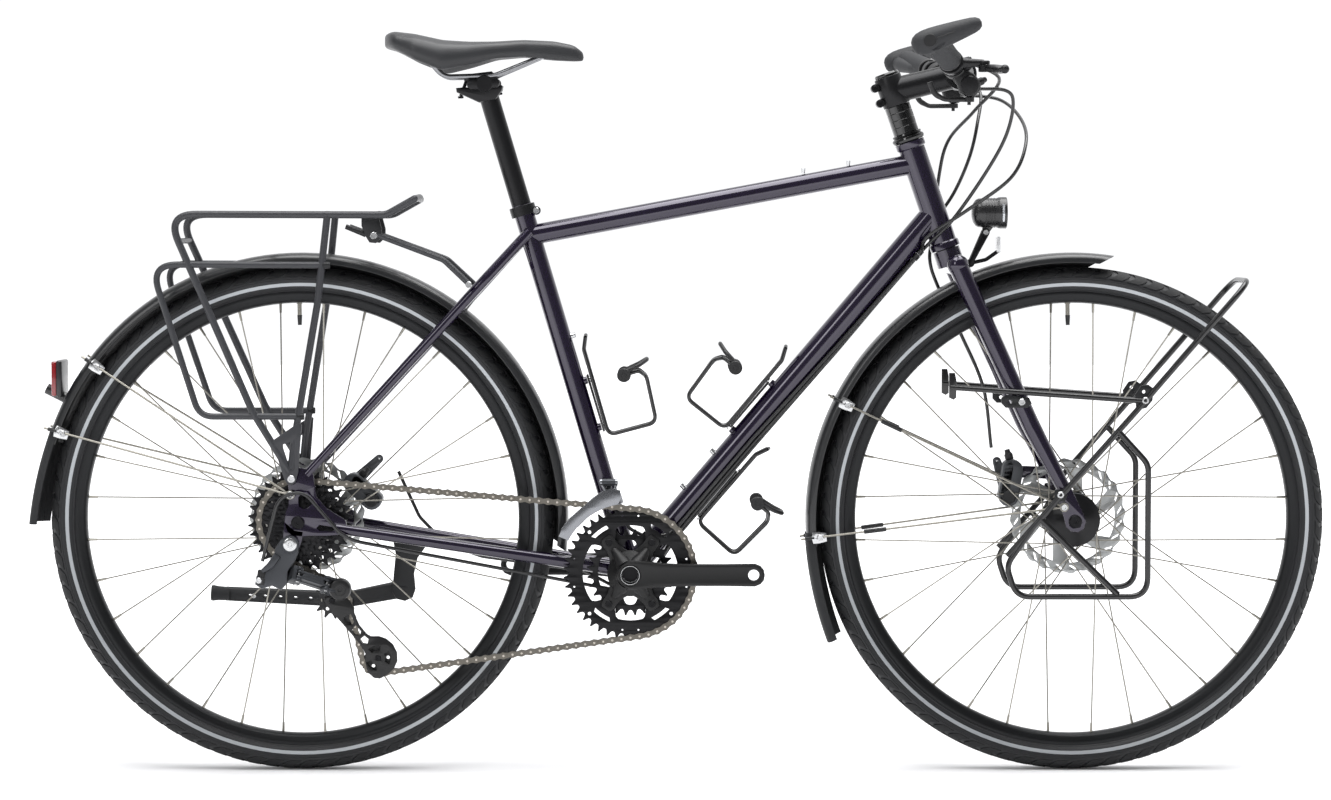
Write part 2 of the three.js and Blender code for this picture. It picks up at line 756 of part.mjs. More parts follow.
// Each bolt stands on the spider and fills the hole in the ring's tab.
function ringBolts(boltCircle, fromY, toY) {
  return spiderAngles.map((angle) => shaft(onCircle(boltCircle, angle * degree), crank.boltRadius, fromY, toY, 4));
}

function makeRightCrank() {
  const armY = -crank.outerY + crank.thickness / 2;
  const arm = beltShape([[0, 0, crank.bossRadius], [crankLength, 0, crank.endRadius]], 2);
  arm.holes.push(roundHole(crankLength, 0, crank.pedalBore, 8));
  const spider = spiderAngles.map((angle) => {
    const end = onCircle(crank.boltCircle, angle * degree);
    return sidePlate(
      beltShape([[0, 0, crank.armWidth], [end.x, end.z, crank.armWidth / 2]], 1),
      crank.spiderThickness,
      spiderY,
    );
  });
  const bossInner = spiderY + crank.spiderThickness / 2;
  const innerRingY = -chainLine + ringSpacing;
  return unite(
    sidePlate(arm, crank.thickness, armY),
    shaft(at(0, 0, 0), crank.bossRadius, armY, bossInner, 12),
    spider,
    ringBolts(crank.boltCircle, spiderY, -chainLine + ringThickness / 2),
    ringBolts(crank.smallBoltCircle, spiderY, innerRingY + ringThickness / 2),
    shaft(at(0, 0, 0), crank.spindleRadius, armY, crank.outerY - overrun, 12),
  );
}

function makeLeftCrank() {
  const shape = beltShape([[-crankLength, 0, crank.endRadius], [0, 0, crank.bossRadius + overrun]], 2);
  shape.holes.push(roundHole(-crankLength, 0, crank.pedalBore, 8));
  shape.holes.push(roundHole(0, 0, crank.spindleRadius + clearance, 12));
  return sidePlate(shape, crank.thickness, crank.outerY - crank.thickness / 2);
}

const crankset = groupAt(crankCentre);
piece('crank_arm_right', makeRightCrank(), satinBlack, crankset);
piece('crank_arm_left', makeLeftCrank(), satinBlack, crankset);
piece('chainring_outer', makeRing(bigRingTeeth, bigRingPhase, -chainLine, crank.boltCircle, true), blackSteel, crankset);
piece(
  'chainring_inner',
  makeRing(smallRingTeeth, 0, -chainLine + ringSpacing, crank.smallBoltCircle, false),
  blackSteel,
  crankset,
);

// Frame: main tubes, stays, dropouts and the small fittings brazed to them
const frame = {
  seatTube: 28.6, topTube: 28.6, downTube: 35, headTube: 37, shellRadius: 20, shellHalf: 34,
  topTubeAtSeat: 485, topTubeBelowHead: 32, downTubeAboveFoot: 51.5,
  seatStay: 15, seatStayEnd: 12, chainstay: 18, chainstayEnd: 14, bridge: 9,
  seatStayTop: 492, seatStayTopY: 15, seatStayKnee: 395, seatStayKneeY: 39,
  chainstayRootY: 24, chainstayKneeRun: 70, chainstayKneeY: 29, dropoutThickness: 6,
  collarRadius: 18, collarHeight: 22, collarBolt: 7, headRingHeight: 9, headRing: 42, bossRadius: 6, bossHeight: 4,
};
const headTubeFoot = onHeadLine(forkLength);
const headTubeTop = onHeadLine(forkLength + headTubeLength);
const topTubeHead = onHeadLine(forkLength + headTubeLength - frame.topTubeBelowHead);
const downTubeHead = onHeadLine(forkLength + frame.downTubeAboveFoot);
const dropoutY = rearDropoutSpacing / 2 + frame.dropoutThickness / 2;
const seatStayFoot = moved(rearAxle, 12, 66);
const chainstayFoot = moved(rearAxle, 52, -8);
const seatpostRadius = 13.6;
const steererRadius = 14.3;
const headBearingSeat = 12;

function sideView(places) {
  return places.map(([x, z]) => [rearAxle.x + x, rearAxle.z + z]);
}

// Dropout: a plate from stay to stay round the axle, with a window, rack and mudguard bolts above it,
// and on the drive side the derailleur hanger below.
const dropoutPlate = {
  top: [[2, 74], [22, 66], [24, 34], [66, 2], [62, -16], [14, -18], [-16, -14], [-18, 12], [-12, 36], [-14, 68]],
  window: [[2, 34], [14, 38], [14, 22], [2, 20]],
  hanger: [[-18, 4], [12, -6], [4, -34], [-10, -40], [-20, -30]],
  rackBolt: [-7.5, 61],
  mudguardBolt: [-9.3, 39],
};
const axleHeadRadius = 9;

function makeDropout(side) {
  const plate = outline(sideView(dropoutPlate.top));
  plate.holes.push(new THREE.Path(sideView(dropoutPlate.window).map(([x, z]) => new THREE.Vector2(x, z))));
  const solids = [sidePlate(plate, frame.dropoutThickness, side * dropoutY)];
  if (side === right) {
    const hanger = outline(sideView(dropoutPlate.hanger));
    solids.push(sidePlate(hanger, frame.dropoutThickness, side * dropoutY));
  }
  [dropoutPlate.rackBolt, dropoutPlate.mudguardBolt].forEach(([x, z]) => {
    const inner = side * (dropoutY + frame.dropoutThickness / 2 - bury);
    const outer = side * (dropoutY + frame.dropoutThickness / 2 + frame.bossHeight);
    solids.push(shaft(moved(rearAxle, x, z), frame.bossRadius, inner, outer, 6));
  });
  const reach = side * (dropoutY + frame.dropoutThickness);
  return cut(unite(solids), shaft(rearAxle, axleRadius + clearance, side * rearHub.endRadius, reach, 12));
}

function makeStays(side) {
  const seatStay = [
    besides(onSeatLine(frame.seatStayTop), side * frame.seatStayTopY),
    besides(between(seatStayFoot, onSeatLine(frame.seatStayTop), frame.seatStayKnee / frame.seatStayTop),
      side * frame.seatStayKneeY),
    besides(seatStayFoot, side * dropoutY),
  ];
  const chainstay = [
    besides(crankCentre, side * frame.chainstayRootY),
    besides(between(crankCentre, chainstayFoot, frame.chainstayKneeRun / chainstayLength), side * frame.chainstayKneeY),
    besides(chainstayFoot, side * dropoutY),
  ];
  return [
    taperedTube([
      [seatStay[0], frame.seatStay], [seatStay[1], frame.seatStay], [seatStay[2], frame.seatStayEnd],
    ], 6),
    taperedTube([
      [chainstay[0], frame.chainstay], [chainstay[1], frame.chainstayEnd], [chainstay[2], frame.chainstayEnd],
    ], 6),
  ];
}

// Bolts for the bottle cages, as shares of the way up each tube, with the side that they stand on
const cageBolts = {
  seatTube: { foot: crankCentre, top: onSeatLine(frame.topTubeAtSeat), shares: [0.42, 0.56], side: 1 },
  downTube: { foot: crankCentre, top: downTubeHead, shares: [0.37, 0.5], side: 1 },
  underside: { foot: crankCentre, top: downTubeHead, shares: [0.18, 0.31], side: -1 },
};

// The direction square to a tube in the frame's plane: forward of the seat tube, above the down tube
function squareTo(foot, top, side) {
  const run = top.clone().sub(foot).normalize();
  return side > 0 === run.x > 0 ? at(-run.z, 0, run.x).multiplyScalar(Math.sign(run.x) * side)
    : at(run.z, 0, -run.x);
}

// Kickstand: a drilled leg on a slanted pin, folded back along the chainstay
const kickstand = {
  plate: [[120, -20], [170, -30], [152, -116], [120, -116]], plateY: 66, plateThickness: 6,
  pivot: [135, -112], slant: 25 * degree, pinRadius: 5, bossRadius: 11, legGap: 6, legThickness: 8,
  knee: [-81, -18], kneeRadius: 9, tip: [-275, -7], tipRadius: 8, holes: [0.2, 0.36, 0.52, 0.68, 0.84], holeRadius: 3,
};
const kickstandPin = at(0, Math.cos(kickstand.slant), Math.sin(kickstand.slant));
const kickstandPivot = at(rearAxle.x + kickstand.pivot[0], kickstand.plateY, rearAxle.z + kickstand.pivot[1]);

function makeKickstandPlate() {
  const legEnd = kickstand.plateThickness / 2 + kickstand.legGap + kickstand.legThickness + clearance;
  const pinEnd = kickstandPivot.clone().addScaledVector(kickstandPin, legEnd + overrun);
  const collarEnd = kickstandPivot.clone().addScaledVector(kickstandPin, kickstand.plateThickness / 2 + kickstand.legGap - clearance);
  return unite(
    sidePlate(outline(sideView(kickstand.plate)), kickstand.plateThickness, kickstand.plateY),
    rod(kickstandPivot, pinEnd, 2 * kickstand.pinRadius, 8),
    rod(kickstandPivot, collarEnd, 2 * kickstand.bossRadius, 6),
  );
}

// Head tube with a thicker ring at each bearing
function makeHeadTube() {
  const [body, ring] = [frame.headTube / 2, frame.headRing / 2];
  const shoulder = headTubeLength - frame.headRingHeight;
  return turned([
    [0, 0], [ring, 0], [ring, frame.headRingHeight], [body, frame.headRingHeight], [body, shoulder], [ring, shoulder],
    [ring, headTubeLength], [0, headTubeLength],
  ], headTubeFoot, headLine, 12);
}

function makeFrame() {
  const shellHalf = frame.shellHalf;
  const seatTop = onSeatLine(seatTubeLength);
  const collarFoot = onSeatLine(seatTubeLength - frame.collarHeight);
  const collarEar = moved(onSeatLine(seatTubeLength - frame.collarHeight / 2), -frame.collarRadius, 0);
  const bridgePlace = between(crankCentre, chainstayFoot, frame.chainstayKneeRun / chainstayLength);
  const stayKnee = between(seatStayFoot, onSeatLine(frame.seatStayTop), frame.seatStayKnee / frame.seatStayTop);
  const metal = unite(
    shaft(crankCentre, frame.shellRadius, -shellHalf, shellHalf, 12),
    rod(crankCentre, seatTop, frame.seatTube),
    rod(onSeatLine(frame.topTubeAtSeat), topTubeHead, frame.topTube, 8),
    rod(crankCentre, downTubeHead, frame.downTube, 8),
    makeHeadTube(),
    rod(collarFoot, seatTop, 2 * frame.collarRadius),
    shaft(collarEar, frame.collarBolt, -frame.collarRadius / 2, frame.collarRadius / 2, 8),
    bothSides.map(makeStays),
    bothSides.map(makeDropout),
    makeKickstandPlate(),
    shaft(bridgePlace, frame.bridge, -frame.chainstayRootY, frame.chainstayRootY, 6),
    shaft(stayKnee, frame.bridge / 2, -frame.seatStayKneeY, frame.seatStayKneeY, 6),
    Object.values(cageBolts).map(({ foot, top, shares, side }) => shares.map((share) => {
      const place = between(foot, top, share);
      const tubeRadius = (foot === crankCentre && top === downTubeHead ? frame.downTube : frame.seatTube) / 2;
      const out = squareTo(foot, top, side);
      return rod(
        place.clone().addScaledVector(out, tubeRadius - overrun),
        place.clone().addScaledVector(out, tubeRadius + frame.bossHeight),
        2 * frame.bossRadius,
        4,
      );
    })),
  );
  const boreReach = overrun + frame.headTube;
  const shellReach = shellHalf + frame.chainstay;
  return cut(
    metal,
    shaft(crankCentre, frame.shellRadius - frame.bossHeight + clearance, -shellReach, shellReach, 12),
    rod(onSeatLine(seatTubeLength - 2 * seatpostInsert), onSeatLine(seatTubeLength + overrun),
      2 * (seatpostRadius + clearance)),
    rod(onHeadLine(forkLength - boreReach), onHeadLine(forkLength + headTubeLength + boreReach),
      2 * (steererRadius + turningClearance), 12),
  );
}

const seatpostInsert = 100;
piece('frame', makeFrame(), paintedFrame);

// Bottom bracket: a sleeve with a bearing cup at each end of the shell, round the crank spindle
function makeBottomBracket() {
  const outer = frame.shellRadius - frame.bossHeight;
  const bore = crank.spindleRadius + turningClearance;
  const cup = frame.shellRadius - overrun;
  const half = frame.shellHalf + clearance;
  const cupEnd = half + overrun;
  return turned(symmetric([[bore, -cupEnd], [cup, -cupEnd], [cup, -half], [outer, -half]]), crankCentre,
    at(0, 1, 0), 12);
}

piece('bottom_bracket', makeBottomBracket(), blackSteel);

// Thru axles: a bolt head on one side, threaded into the other dropout
function makeAxle(centre, spacing, thickness, headSide) {
  const outer = spacing / 2 + thickness + clearance;
  return unite(
    shaft(centre, axleRadius, -headSide * (spacing / 2 + thickness - bury), headSide * (outer + overrun), 12),
    shaft(centre, axleHeadRadius, headSide * outer, headSide * (outer + 2 * overrun), 12),
  );
}

piece('rear_axle', makeAxle(rearAxle, rearDropoutSpacing, frame.dropoutThickness, right), blackSteel);

// Steering: everything that turns about the head line
const fork = {
  crownAlong: 374, crownDiameter: 30, crownY: 42, crownForward: 6, bladeTop: 27, bladeFoot: 20, bladeEnd: [-16, 46],
  dropoutThickness: 7, dropoutRadius: 15, raceRadius: 19, raceHeight: 6, steererTop: 648,
};
const frontDropoutY = frontDropoutSpacing / 2 + fork.dropoutThickness / 2;
const crownPlace = onHeadLine(fork.crownAlong);
const bladeFoot = moved(frontAxle, ...fork.bladeEnd);
const rotorSlot = rotorThickness + 2 * turningClearance;

// A plate tab in side view from a blade or stay to the brake caliper, both given from the axle
function makeTab(axle, from, to, radius, thickness, y) {
  const [a, b] = [from, to].map(([x, z]) => [axle.x + x, axle.z + z, radius]);
  return sidePlate(beltShape([a, b], 2), thickness, y);
}

const frontCaliperTab = { from: [-14, 60], to: [-66, 62], radius: 8 };

function makeFork() {
  const bladeTop = moved(crownPlace, fork.crownForward, 0);
  const raceTop = forkLength - clearance;
  const blades = bothSides.map((side) => [
    rod(besides(bladeTop, side * fork.crownY), besides(bladeFoot, side * frontDropoutY), fork.bladeTop, 8,
      fork.bladeFoot),
    sidePlate(beltShape([
      [bladeFoot.x, bladeFoot.z, fork.bladeFoot / 2], [frontAxle.x, frontAxle.z, fork.dropoutRadius],
    ], 2), fork.dropoutThickness, side * frontDropoutY),
  ]);
  const { from, to, radius } = frontCaliperTab;
  const metal = unite(
    rod(onHeadLine(fork.crownAlong), onHeadLine(fork.steererTop), 2 * steererRadius, 12),
    rod(onHeadLine(fork.crownAlong), onHeadLine(raceTop), 2 * fork.raceRadius, 12),
    rod(besides(bladeTop, -fork.crownY), besides(bladeTop, fork.crownY), fork.crownDiameter, 8),
    blades,
    makeTab(frontAxle, from, to, radius, fork.dropoutThickness, frontDropoutY),
  );
  return cut(metal, shaft(frontAxle, axleRadius + clearance, -frontDropoutSpacing, frontDropoutSpacing, 12));
}

piece('fork', makeFork(), paintedFrame);
piece('front_axle', makeAxle(frontAxle, frontDropoutSpacing, fork.dropoutThickness, right), blackSteel);

// Stem and its spacers on the steerer, with the bar clamp and its face plate ahead
const stem = {
  spacerRadius: 18, spacerTop: 608, clampRadius: 19, clampTop: 650, capRadius: 17, capTop: 656, axisAlong: 629,
  barForward: 94, barUp: 23, extension: 32, barClampRadius: 22, barClampHalf: 22,
};
const barRadius = 15.9;
const barSides = 10;
const stemAxis = onHeadLine(stem.axisAlong);
const barCentre = moved(stemAxis, stem.barForward, stem.barUp);

function makeStem() {
  const foot = forkLength + headTubeLength + clearance;
  const column = turned([
    [0, foot], [stem.spacerRadius, foot], [stem.spacerRadius, stem.spacerTop], [stem.clampRadius, stem.spacerTop],
    [stem.clampRadius, stem.clampTop], [stem.capRadius, stem.clampTop], [stem.capRadius, stem.capTop], [0, stem.capTop],
  ], headFoot, headLine, 12);
  const metal = unite(
    column,
    rod(stemAxis, barCentre, stem.extension + overrun, 8, stem.extension),
    shaft(barCentre, stem.barClampRadius, -stem.barClampHalf, stem.barClampHalf, barSides),
  );
  return cut(
    metal,
    rod(onHeadLine(foot - overrun), onHeadLine(fork.steererTop + clearance), 2 * (steererRadius + clearance), 12),
    shaft(barCentre, barRadius + clearance, -stem.barClampHalf - overrun, stem.barClampHalf + overrun, barSides),
  );
}

piece('stem', makeStem(), satinBlack);

// Handlebar: straight at the clamp, then swept back and slightly up to the grips
const bar = { straightHalf: 42, kneeY: 120, kneeBack: 15, kneeUp: 3, endBack: 58, endUp: 34, gripDiameter: 22.2 };

function onBar(share, side) {
  const knee = moved(barCentre, -bar.kneeBack, bar.kneeUp);
  const end = moved(barCentre, -bar.endBack, bar.endUp);
  return between(besides(knee, side * bar.kneeY), besides(end, (side * handlebarWidth) / 2), share);
}

function makeHandlebar() {
  const half = (side) => [
    [onBar(1, side), bar.gripDiameter], [onBar(0, side), bar.gripDiameter],
    [besides(barCentre, side * bar.straightHalf), 2 * barRadius],
  ];
  return taperedTube([...half(right), ...half(left).reverse()], barSides);
}

piece('handlebar', makeHandlebar(), satinBlack);

// Grip: a barrel with a palm wing behind it and a short bar-end horn
const grip = {
  innerShare: 0.32, diameter: 32, wingFoot: 11, wingTip: 22, wingBack: 12, wingDown: 3, wingStartShare: 0.42,
  hornDiameter: 25, hornTip: 20, hornForward: 72, hornUp: 25, hornShare: 0.95, endShare: 1.02,
};

function makeGrip(side) {
  const start = onBar(grip.innerShare, side);
  const end = onBar(grip.endShare, side);
  const wingFoot = moved(onBar(grip.wingStartShare, side), -grip.wingBack, -grip.wingDown);
  const wingEnd = moved(onBar(grip.hornShare, side), -grip.wingBack, -grip.wingDown);
  const hornFoot = onBar(grip.hornShare, side);
  const rubberBody = unite(
    rod(start, end, grip.diameter, 10),
    rod(wingFoot, wingEnd, grip.wingFoot, 6, grip.wingTip),
    rod(hornFoot, moved(hornFoot, grip.hornForward, grip.hornUp), grip.hornDiameter, 8, grip.hornTip),
  );
  const boreEnd = onBar(1 + clearance / bar.kneeY, side);
  return cut(rubberBody, rod(onBar(0, side), boreEnd, bar.gripDiameter + 2 * clearance, barSides));
}

piece('grip_right', makeGrip(right), gripRubber);
piece('grip_left', makeGrip(left), gripRubber);

// Brake lever: a clamp and bracket on the bar, and a blade on a pin that stands square to the bar
const brakeLever = {
  clampShare: 0.22, clampRadius: 17, clampWidth: 13, pivotForward: 44, pivotDown: 8, earRadius: 8, earHeight: 5,
  bossHeight: 10, pinRadius: 2.5, bladeDiameter: 9, bladeKnee: [16, 26, -2], bladeTip: [17, 92, -5],
};

function leverPivot(side) {
  return moved(onBar(brakeLever.clampShare, side), brakeLever.pivotForward, -brakeLever.pivotDown);
}

function makeLeverBody(side) {
  const place = onBar(brakeLever.clampShare, side);
  const pivot = leverPivot(side);
  const earFoot = brakeLever.bossHeight / 2 + clearance;
  const neck = beltShape([
    [place.x, place.z, brakeLever.clampRadius], [pivot.x, pivot.z + earFoot + brakeLever.earHeight, brakeLever.earHeight],
  ], 2);
  const reach = brakeLever.clampWidth * 2;
  const metal = cut(
    unite(
      cut(
        sidePlate(neck, brakeLever.clampWidth, place.y),
        block(moved(pivot, 0, earFoot - reach / 2), reach, reach, reach),
      ),
      rod(moved(pivot, 0, earFoot), moved(pivot, 0, earFoot + brakeLever.earHeight), 2 * brakeLever.earRadius, 8),
    ),
    rod(onBar(0, side), onBar(1 / 2, side), bar.gripDiameter + 2 * clearance, barSides),
  );
  return unite(
    metal,
    rod(moved(pivot, 0, -brakeLever.bossHeight / 2), moved(pivot, 0, earFoot + bury), 2 * brakeLever.pinRadius, 8),
  );
}

function makeBrakeLever(side) {
  const pivot = leverPivot(side);
  const half = brakeLever.bossHeight / 2;
  const [knee, tip] = [brakeLever.bladeKnee, brakeLever.bladeTip].map(([x, y, z]) => (
    at(pivot.x + x, pivot.y + side * y, pivot.z + z)
  ));
  return cut(
    unite(
      rod(moved(pivot, 0, -half), moved(pivot, 0, half), 2 * brakeLever.earRadius, 8),
      tube([pivot, knee, tip], brakeLever.bladeDiameter, brakeLever.bladeKnee[1], 6),
    ),
    rod(moved(pivot, 0, -2 * half), moved(pivot, 0, 2 * half), 2 * (brakeLever.pinRadius + clearance), 8),
  );
}

// Shifter: a pod clamped inboard of the brake lever, with a thumb lever turning under it
const shifter = {
  clampShare: 0.08, clampRadius: 17, clampWidth: 22, podForward: 20, podDown: 26, podRadius: 15, pinRadius: 2.5,
  leverDrop: 4, leverHeight: 7, leverBoss: 7, leverDiameter: 7, leverKnee: [-34, 8], leverTip: [-55, 12], tipRise: 26,
};

function podPlace(side) {
  return moved(onBar(shifter.clampShare, side), shifter.podForward, -shifter.podDown);
}

function makeShifter(side) {
  const place = onBar(shifter.clampShare, side);
  const pod = podPlace(side);
  const shape = beltShape([[place.x, place.z, shifter.clampRadius], [pod.x, pod.z, shifter.podRadius]], 3);
  const foot = moved(pod, 0, -shifter.podRadius);
  return cut(
    unite(
      sidePlate(shape, shifter.clampWidth, place.y),
      rod(moved(foot, 0, -shifter.leverDrop - shifter.leverHeight), moved(foot, 0, overrun), 2 * shifter.pinRadius, 8),
    ),
    rod(onBar(-1 / 2, side), onBar(1 / 2, side), bar.gripDiameter + 2 * clearance, barSides),
  );
}

function makeThumbLever(side) {
  const top = moved(podPlace(side), 0, -shifter.podRadius - clearance);
  const middle = moved(top, 0, -shifter.leverHeight / 2);
  const [knee, tip] = [shifter.leverKnee, shifter.leverTip].map(([x, y]) => (
    at(middle.x + x, middle.y + side * y, middle.z)
  ));
  const pinFoot = moved(top, 0, -2 * shifter.leverHeight);
  return cut(
    unite(
      rod(moved(top, 0, -shifter.leverHeight), top, 2 * shifter.leverBoss, 8),
      tube([middle, knee, moved(tip, 0, shifter.tipRise)], shifter.leverDiameter, shifter.leverBoss, 6, 90),
    ),
    rod(pinFoot, moved(top, 0, overrun), 2 * (shifter.pinRadius + clearance), 8),
  );
}

[['right', right], ['left', left]].forEach(([name, side]) => {
  piece(`brake_lever_body_${name}`, makeLeverBody(side), satinBlack);
  piece(`brake_lever_${name}`, makeBrakeLever(side), satinBlack);
  piece(`shifter_${name}`, makeShifter(side), blackPlastic);
  piece(`shift_thumb_lever_${name}`, makeThumbLever(side), blackPlastic);
});

// Disc calipers: a body slotted over the rotor's edge, and an outer arm that the cable pulls
const caliper = { innerReach: 15, discRadius: 15, armThickness: 4, armRadius: 6, pivotRadius: 5, slotRadius: 1.5 };
const frontCaliper = {
  axle: frontAxle, rotorY: frontRotorY, outerY: frontDropoutSpacing / 2 - clearance,
  body: [[-78, 66], [-84, 28]], pivot: [-84, 28], armTip: [-98, 76], armY: frontDropoutY + fork.dropoutThickness,
};
const rearCaliper = {
  axle: rearAxle, rotorY: rearRotorY, outerY: rearDropoutSpacing / 2 - clearance,
  body: [[66, 46], [92, 22]], pivot: [66, 46], armTip: [100, 78], armY: dropoutY + frame.dropoutThickness,
};

function fromAxle(setup, [x, z], y = 0) {
  return at(setup.axle.x + x, y, setup.axle.z + z);
}

function makeCaliper(setup) {
  const innerY = setup.rotorY - caliper.innerReach;
  const discs = setup.body.map((place) => {
    const { x, z } = fromAxle(setup, place);
    return [x, z, caliper.discRadius];
  });
  const body = sidePlate(beltShape(discs, 3), setup.outerY - innerY, (setup.outerY + innerY) / 2);
  const slot = shaft(setup.axle, rotorRadius + caliper.slotRadius, setup.rotorY - rotorSlot / 2,
    setup.rotorY + rotorSlot / 2, 30);
  const pivot = shaft(fromAxle(setup, setup.pivot), caliper.pivotRadius, setup.outerY - bury,
    setup.armY + caliper.armThickness / 2, 8);
  return unite(cut(body, slot), pivot);
}

function makeCaliperArm(setup) {
  const [pivot, tip] = [setup.pivot, setup.armTip].map((place) => fromAxle(setup, place));
  const shape = beltShape([
    [pivot.x, pivot.z, caliper.pivotRadius + 2 * overrun], [tip.x, tip.z, caliper.armRadius],
  ], 2);
  shape.holes.push(roundHole(pivot.x, pivot.z, caliper.pivotRadius + turningClearance));
  return sidePlate(shape, caliper.armThickness, setup.armY);
}

piece('front_caliper', makeCaliper(frontCaliper), greyAlloy);
piece('front_caliper_arm', makeCaliperArm(frontCaliper), greyAlloy);
piece('rear_caliper', makeCaliper(rearCaliper), greyAlloy);
piece('rear_caliper_arm', makeCaliperArm(rearCaliper), greyAlloy);

// Mudguards: a crowned blade round the tyre with a flap, and two pairs of stays to the dropout
const guard = {
  thickness: 1.6, edgeDrop: 13, stayDiameter: 4.5, clampRadius: 360, eyeRadius: 6,
};
// Shares of the blade's half width and of its edge drop
const crownShares = [[-1, 1], [-0.72, 0.16], [0.72, 0.16], [1, 1]];

function polar(axle, radius, angle, y = 0) {
  return at(axle.x + radius * Math.cos(angle * degree), y, axle.z + radius * Math.sin(angle * degree));
}

function bladeSection() {
  const half = mudguardWidth / 2;
  const inner = half - guard.thickness;
  const outside = crownShares.map(([w, d]) => [half * w, -guard.edgeDrop * d]);
  const inside = crownShares.map(([w, d]) => [inner * w, -guard.edgeDrop * d - (d < 1 ? guard.thickness : 0)]);
  return outline([...outside, ...inside.reverse()]);
}

function makeGuard(setup) {
  const { axle, from, to, flapTip, stays, eyelet, eyeletY, steps } = setup;
  const stations = [moved(axle, ...flapTip)];
  for (let step = 0; step <= steps; step += 1) {
    stations.push(polar(axle, mudguardRadius, from + ((to - from) * step) / steps));
  }
  const wires = bothSides.map((side) => {
    const eye = moved(axle, ...eyelet);
    const [inner, outer] = [-1, 1].map((face) => side * eyeletY + (face * guard.stayDiameter) / 2);
    return [
      shaft(eye, guard.eyeRadius, inner, outer, 6),
      ...stays.map((angle) => rod(
        besides(eye, side * (eyeletY + bury)),
        polar(axle, guard.clampRadius, angle, side * (mudguardWidth / 2)),
        guard.stayDiameter,
        4,
      )),
    ];
  });
  return unite(sweep(bladeSection(), stations, true), wires);
}

const stayEyeGap = clearance + guard.stayDiameter / 2;
const rearGuard = {
  axle: rearAxle, from: 163, to: -7, steps: 16, flapTip: [-388, -10], stays: [143, 160],
  eyelet: dropoutPlate.mudguardBolt,
  eyeletY: dropoutY + frame.dropoutThickness / 2 + frame.bossHeight + stayEyeGap,
};
const frontGuard = {
  axle: frontAxle, from: 186, to: 81, steps: 10, flapTip: [-344, -167], stays: [153, 184], eyelet: [-16, 20],
  eyeletY: frontDropoutY + fork.dropoutThickness / 2 + stayEyeGap,
};
// The rear blade also bolts to the bridge between the seat stays, and the front one to the crown.
const guardBolt = 10;

function angleFrom(axle, place) {
  return Math.atan2(place.z - axle.z, place.x - axle.x) / degree;
}

const stayKnee = between(seatStayFoot, onSeatLine(frame.seatStayTop), frame.seatStayKnee / frame.seatStayTop);
const bladeInner = mudguardRadius - guard.edgeDrop * crownShares[1][1] - 2 * guard.thickness;

piece('rear_mudguard', unite(
  makeGuard(rearGuard),
  standoff(polar(rearAxle, bladeInner, angleFrom(rearAxle, stayKnee)), stayKnee, frame.bridge, guardBolt),
), satinBlack);
piece('front_mudguard', unite(
  makeGuard(frontGuard),
  standoff(polar(frontAxle, bladeInner, angleFrom(frontAxle, crownPlace)), crownPlace, 2 * fork.raceRadius, guardBolt),
), satinBlack);

// Rear rack: each side is one bent tube for rail and rear leg, with a front leg and a lower pannier rail
const rack = {
  tube: 10, bend: 24, railY: 60, footGap: 1, crossBars: [-140, -50, 40], plate: 4,
  rail: [[161, 445], [122, 423], [-180, 424], [-61, 153], [-10, 71]],
  frontLeg: [[41, 420], [28, 302], [-4, 112]],
  pannierRail: [[39, 354], [-202, 355], [-134, 146.5], [4, 146.5]],
  web: [[-34, 112], [6, 138], [2, 70], [-7.5, 52], [-16, 60]],
  strutFoot: [112, 423], strutEye: [244, 325], strutY: 30, strutEyeY: 52,
};
const rackFootY = dropoutY + frame.dropoutThickness / 2 + frame.bossHeight + clearance + rack.plate / 2;

function rackSide(side) {
  const along = ([x, z], y) => at(rearAxle.x + x, side * y, rearAxle.z + z);
  const legTop = rack.rail[2][1];
  const foot = rack.rail[rack.rail.length - 1][1];
  const yAt = (z) => rack.railY + ((rackFootY - rack.railY) * Math.max(0, legTop - z)) / (legTop - foot);
  const follow = (points) => points.map((place) => along(place, yAt(place[1])));
  const web = outline(sideView(rack.web));
  return [
    tube(follow(rack.rail), rack.tube, rack.bend, 5, 60),
    tube(follow(rack.frontLeg), rack.tube, rack.bend, 5, 60),
    tube(follow(rack.pannierRail), rack.tube - overrun, rack.bend, 4, 60),
    sidePlate(web, rack.plate, side * rackFootY),
    tube(
      [along(rack.strutFoot, rack.strutY), along(rack.strutEye, rack.strutEyeY)],
      rack.tube - overrun, rack.bend, 4,
    ),
  ];
}

function makeRack() {
  const railZ = rearAxle.z + rack.rail[2][1];
  const bars = [...rack.crossBars, rack.strutFoot[0]].map((x) => (
    rod(at(x, -rack.railY, railZ), at(x, rack.railY, railZ), rack.tube - overrun, 4)
  ));
  return unite(bothSides.map(rackSide), bars);
}

piece('rear_rack', makeRack(), anthracite);

// Low front rack: a hoop over the tyre joins its sides, each with a loop for a pannier and a top rail
const lowRack = {
  tube: 8, bend: 22, y: 67, boss: 5, hoopTurn: 30,
  diagonal: [[-95, -47], [-49, 5], [80, 151], [178, 265], [236, 332]],
  loop: [[-60, -8], [-96, -60], [-82, -103], [99, -103], [99, 80], [56, 127]],
  rail: [[-174, 200], [-174, 170], [96, 167]], brace: [[-49, 4], [58, -100]],
  bladeBolt: [-76, 166], footBolt: [-22, 38], bladeFace: 60.8, footFace: 63.9,
};

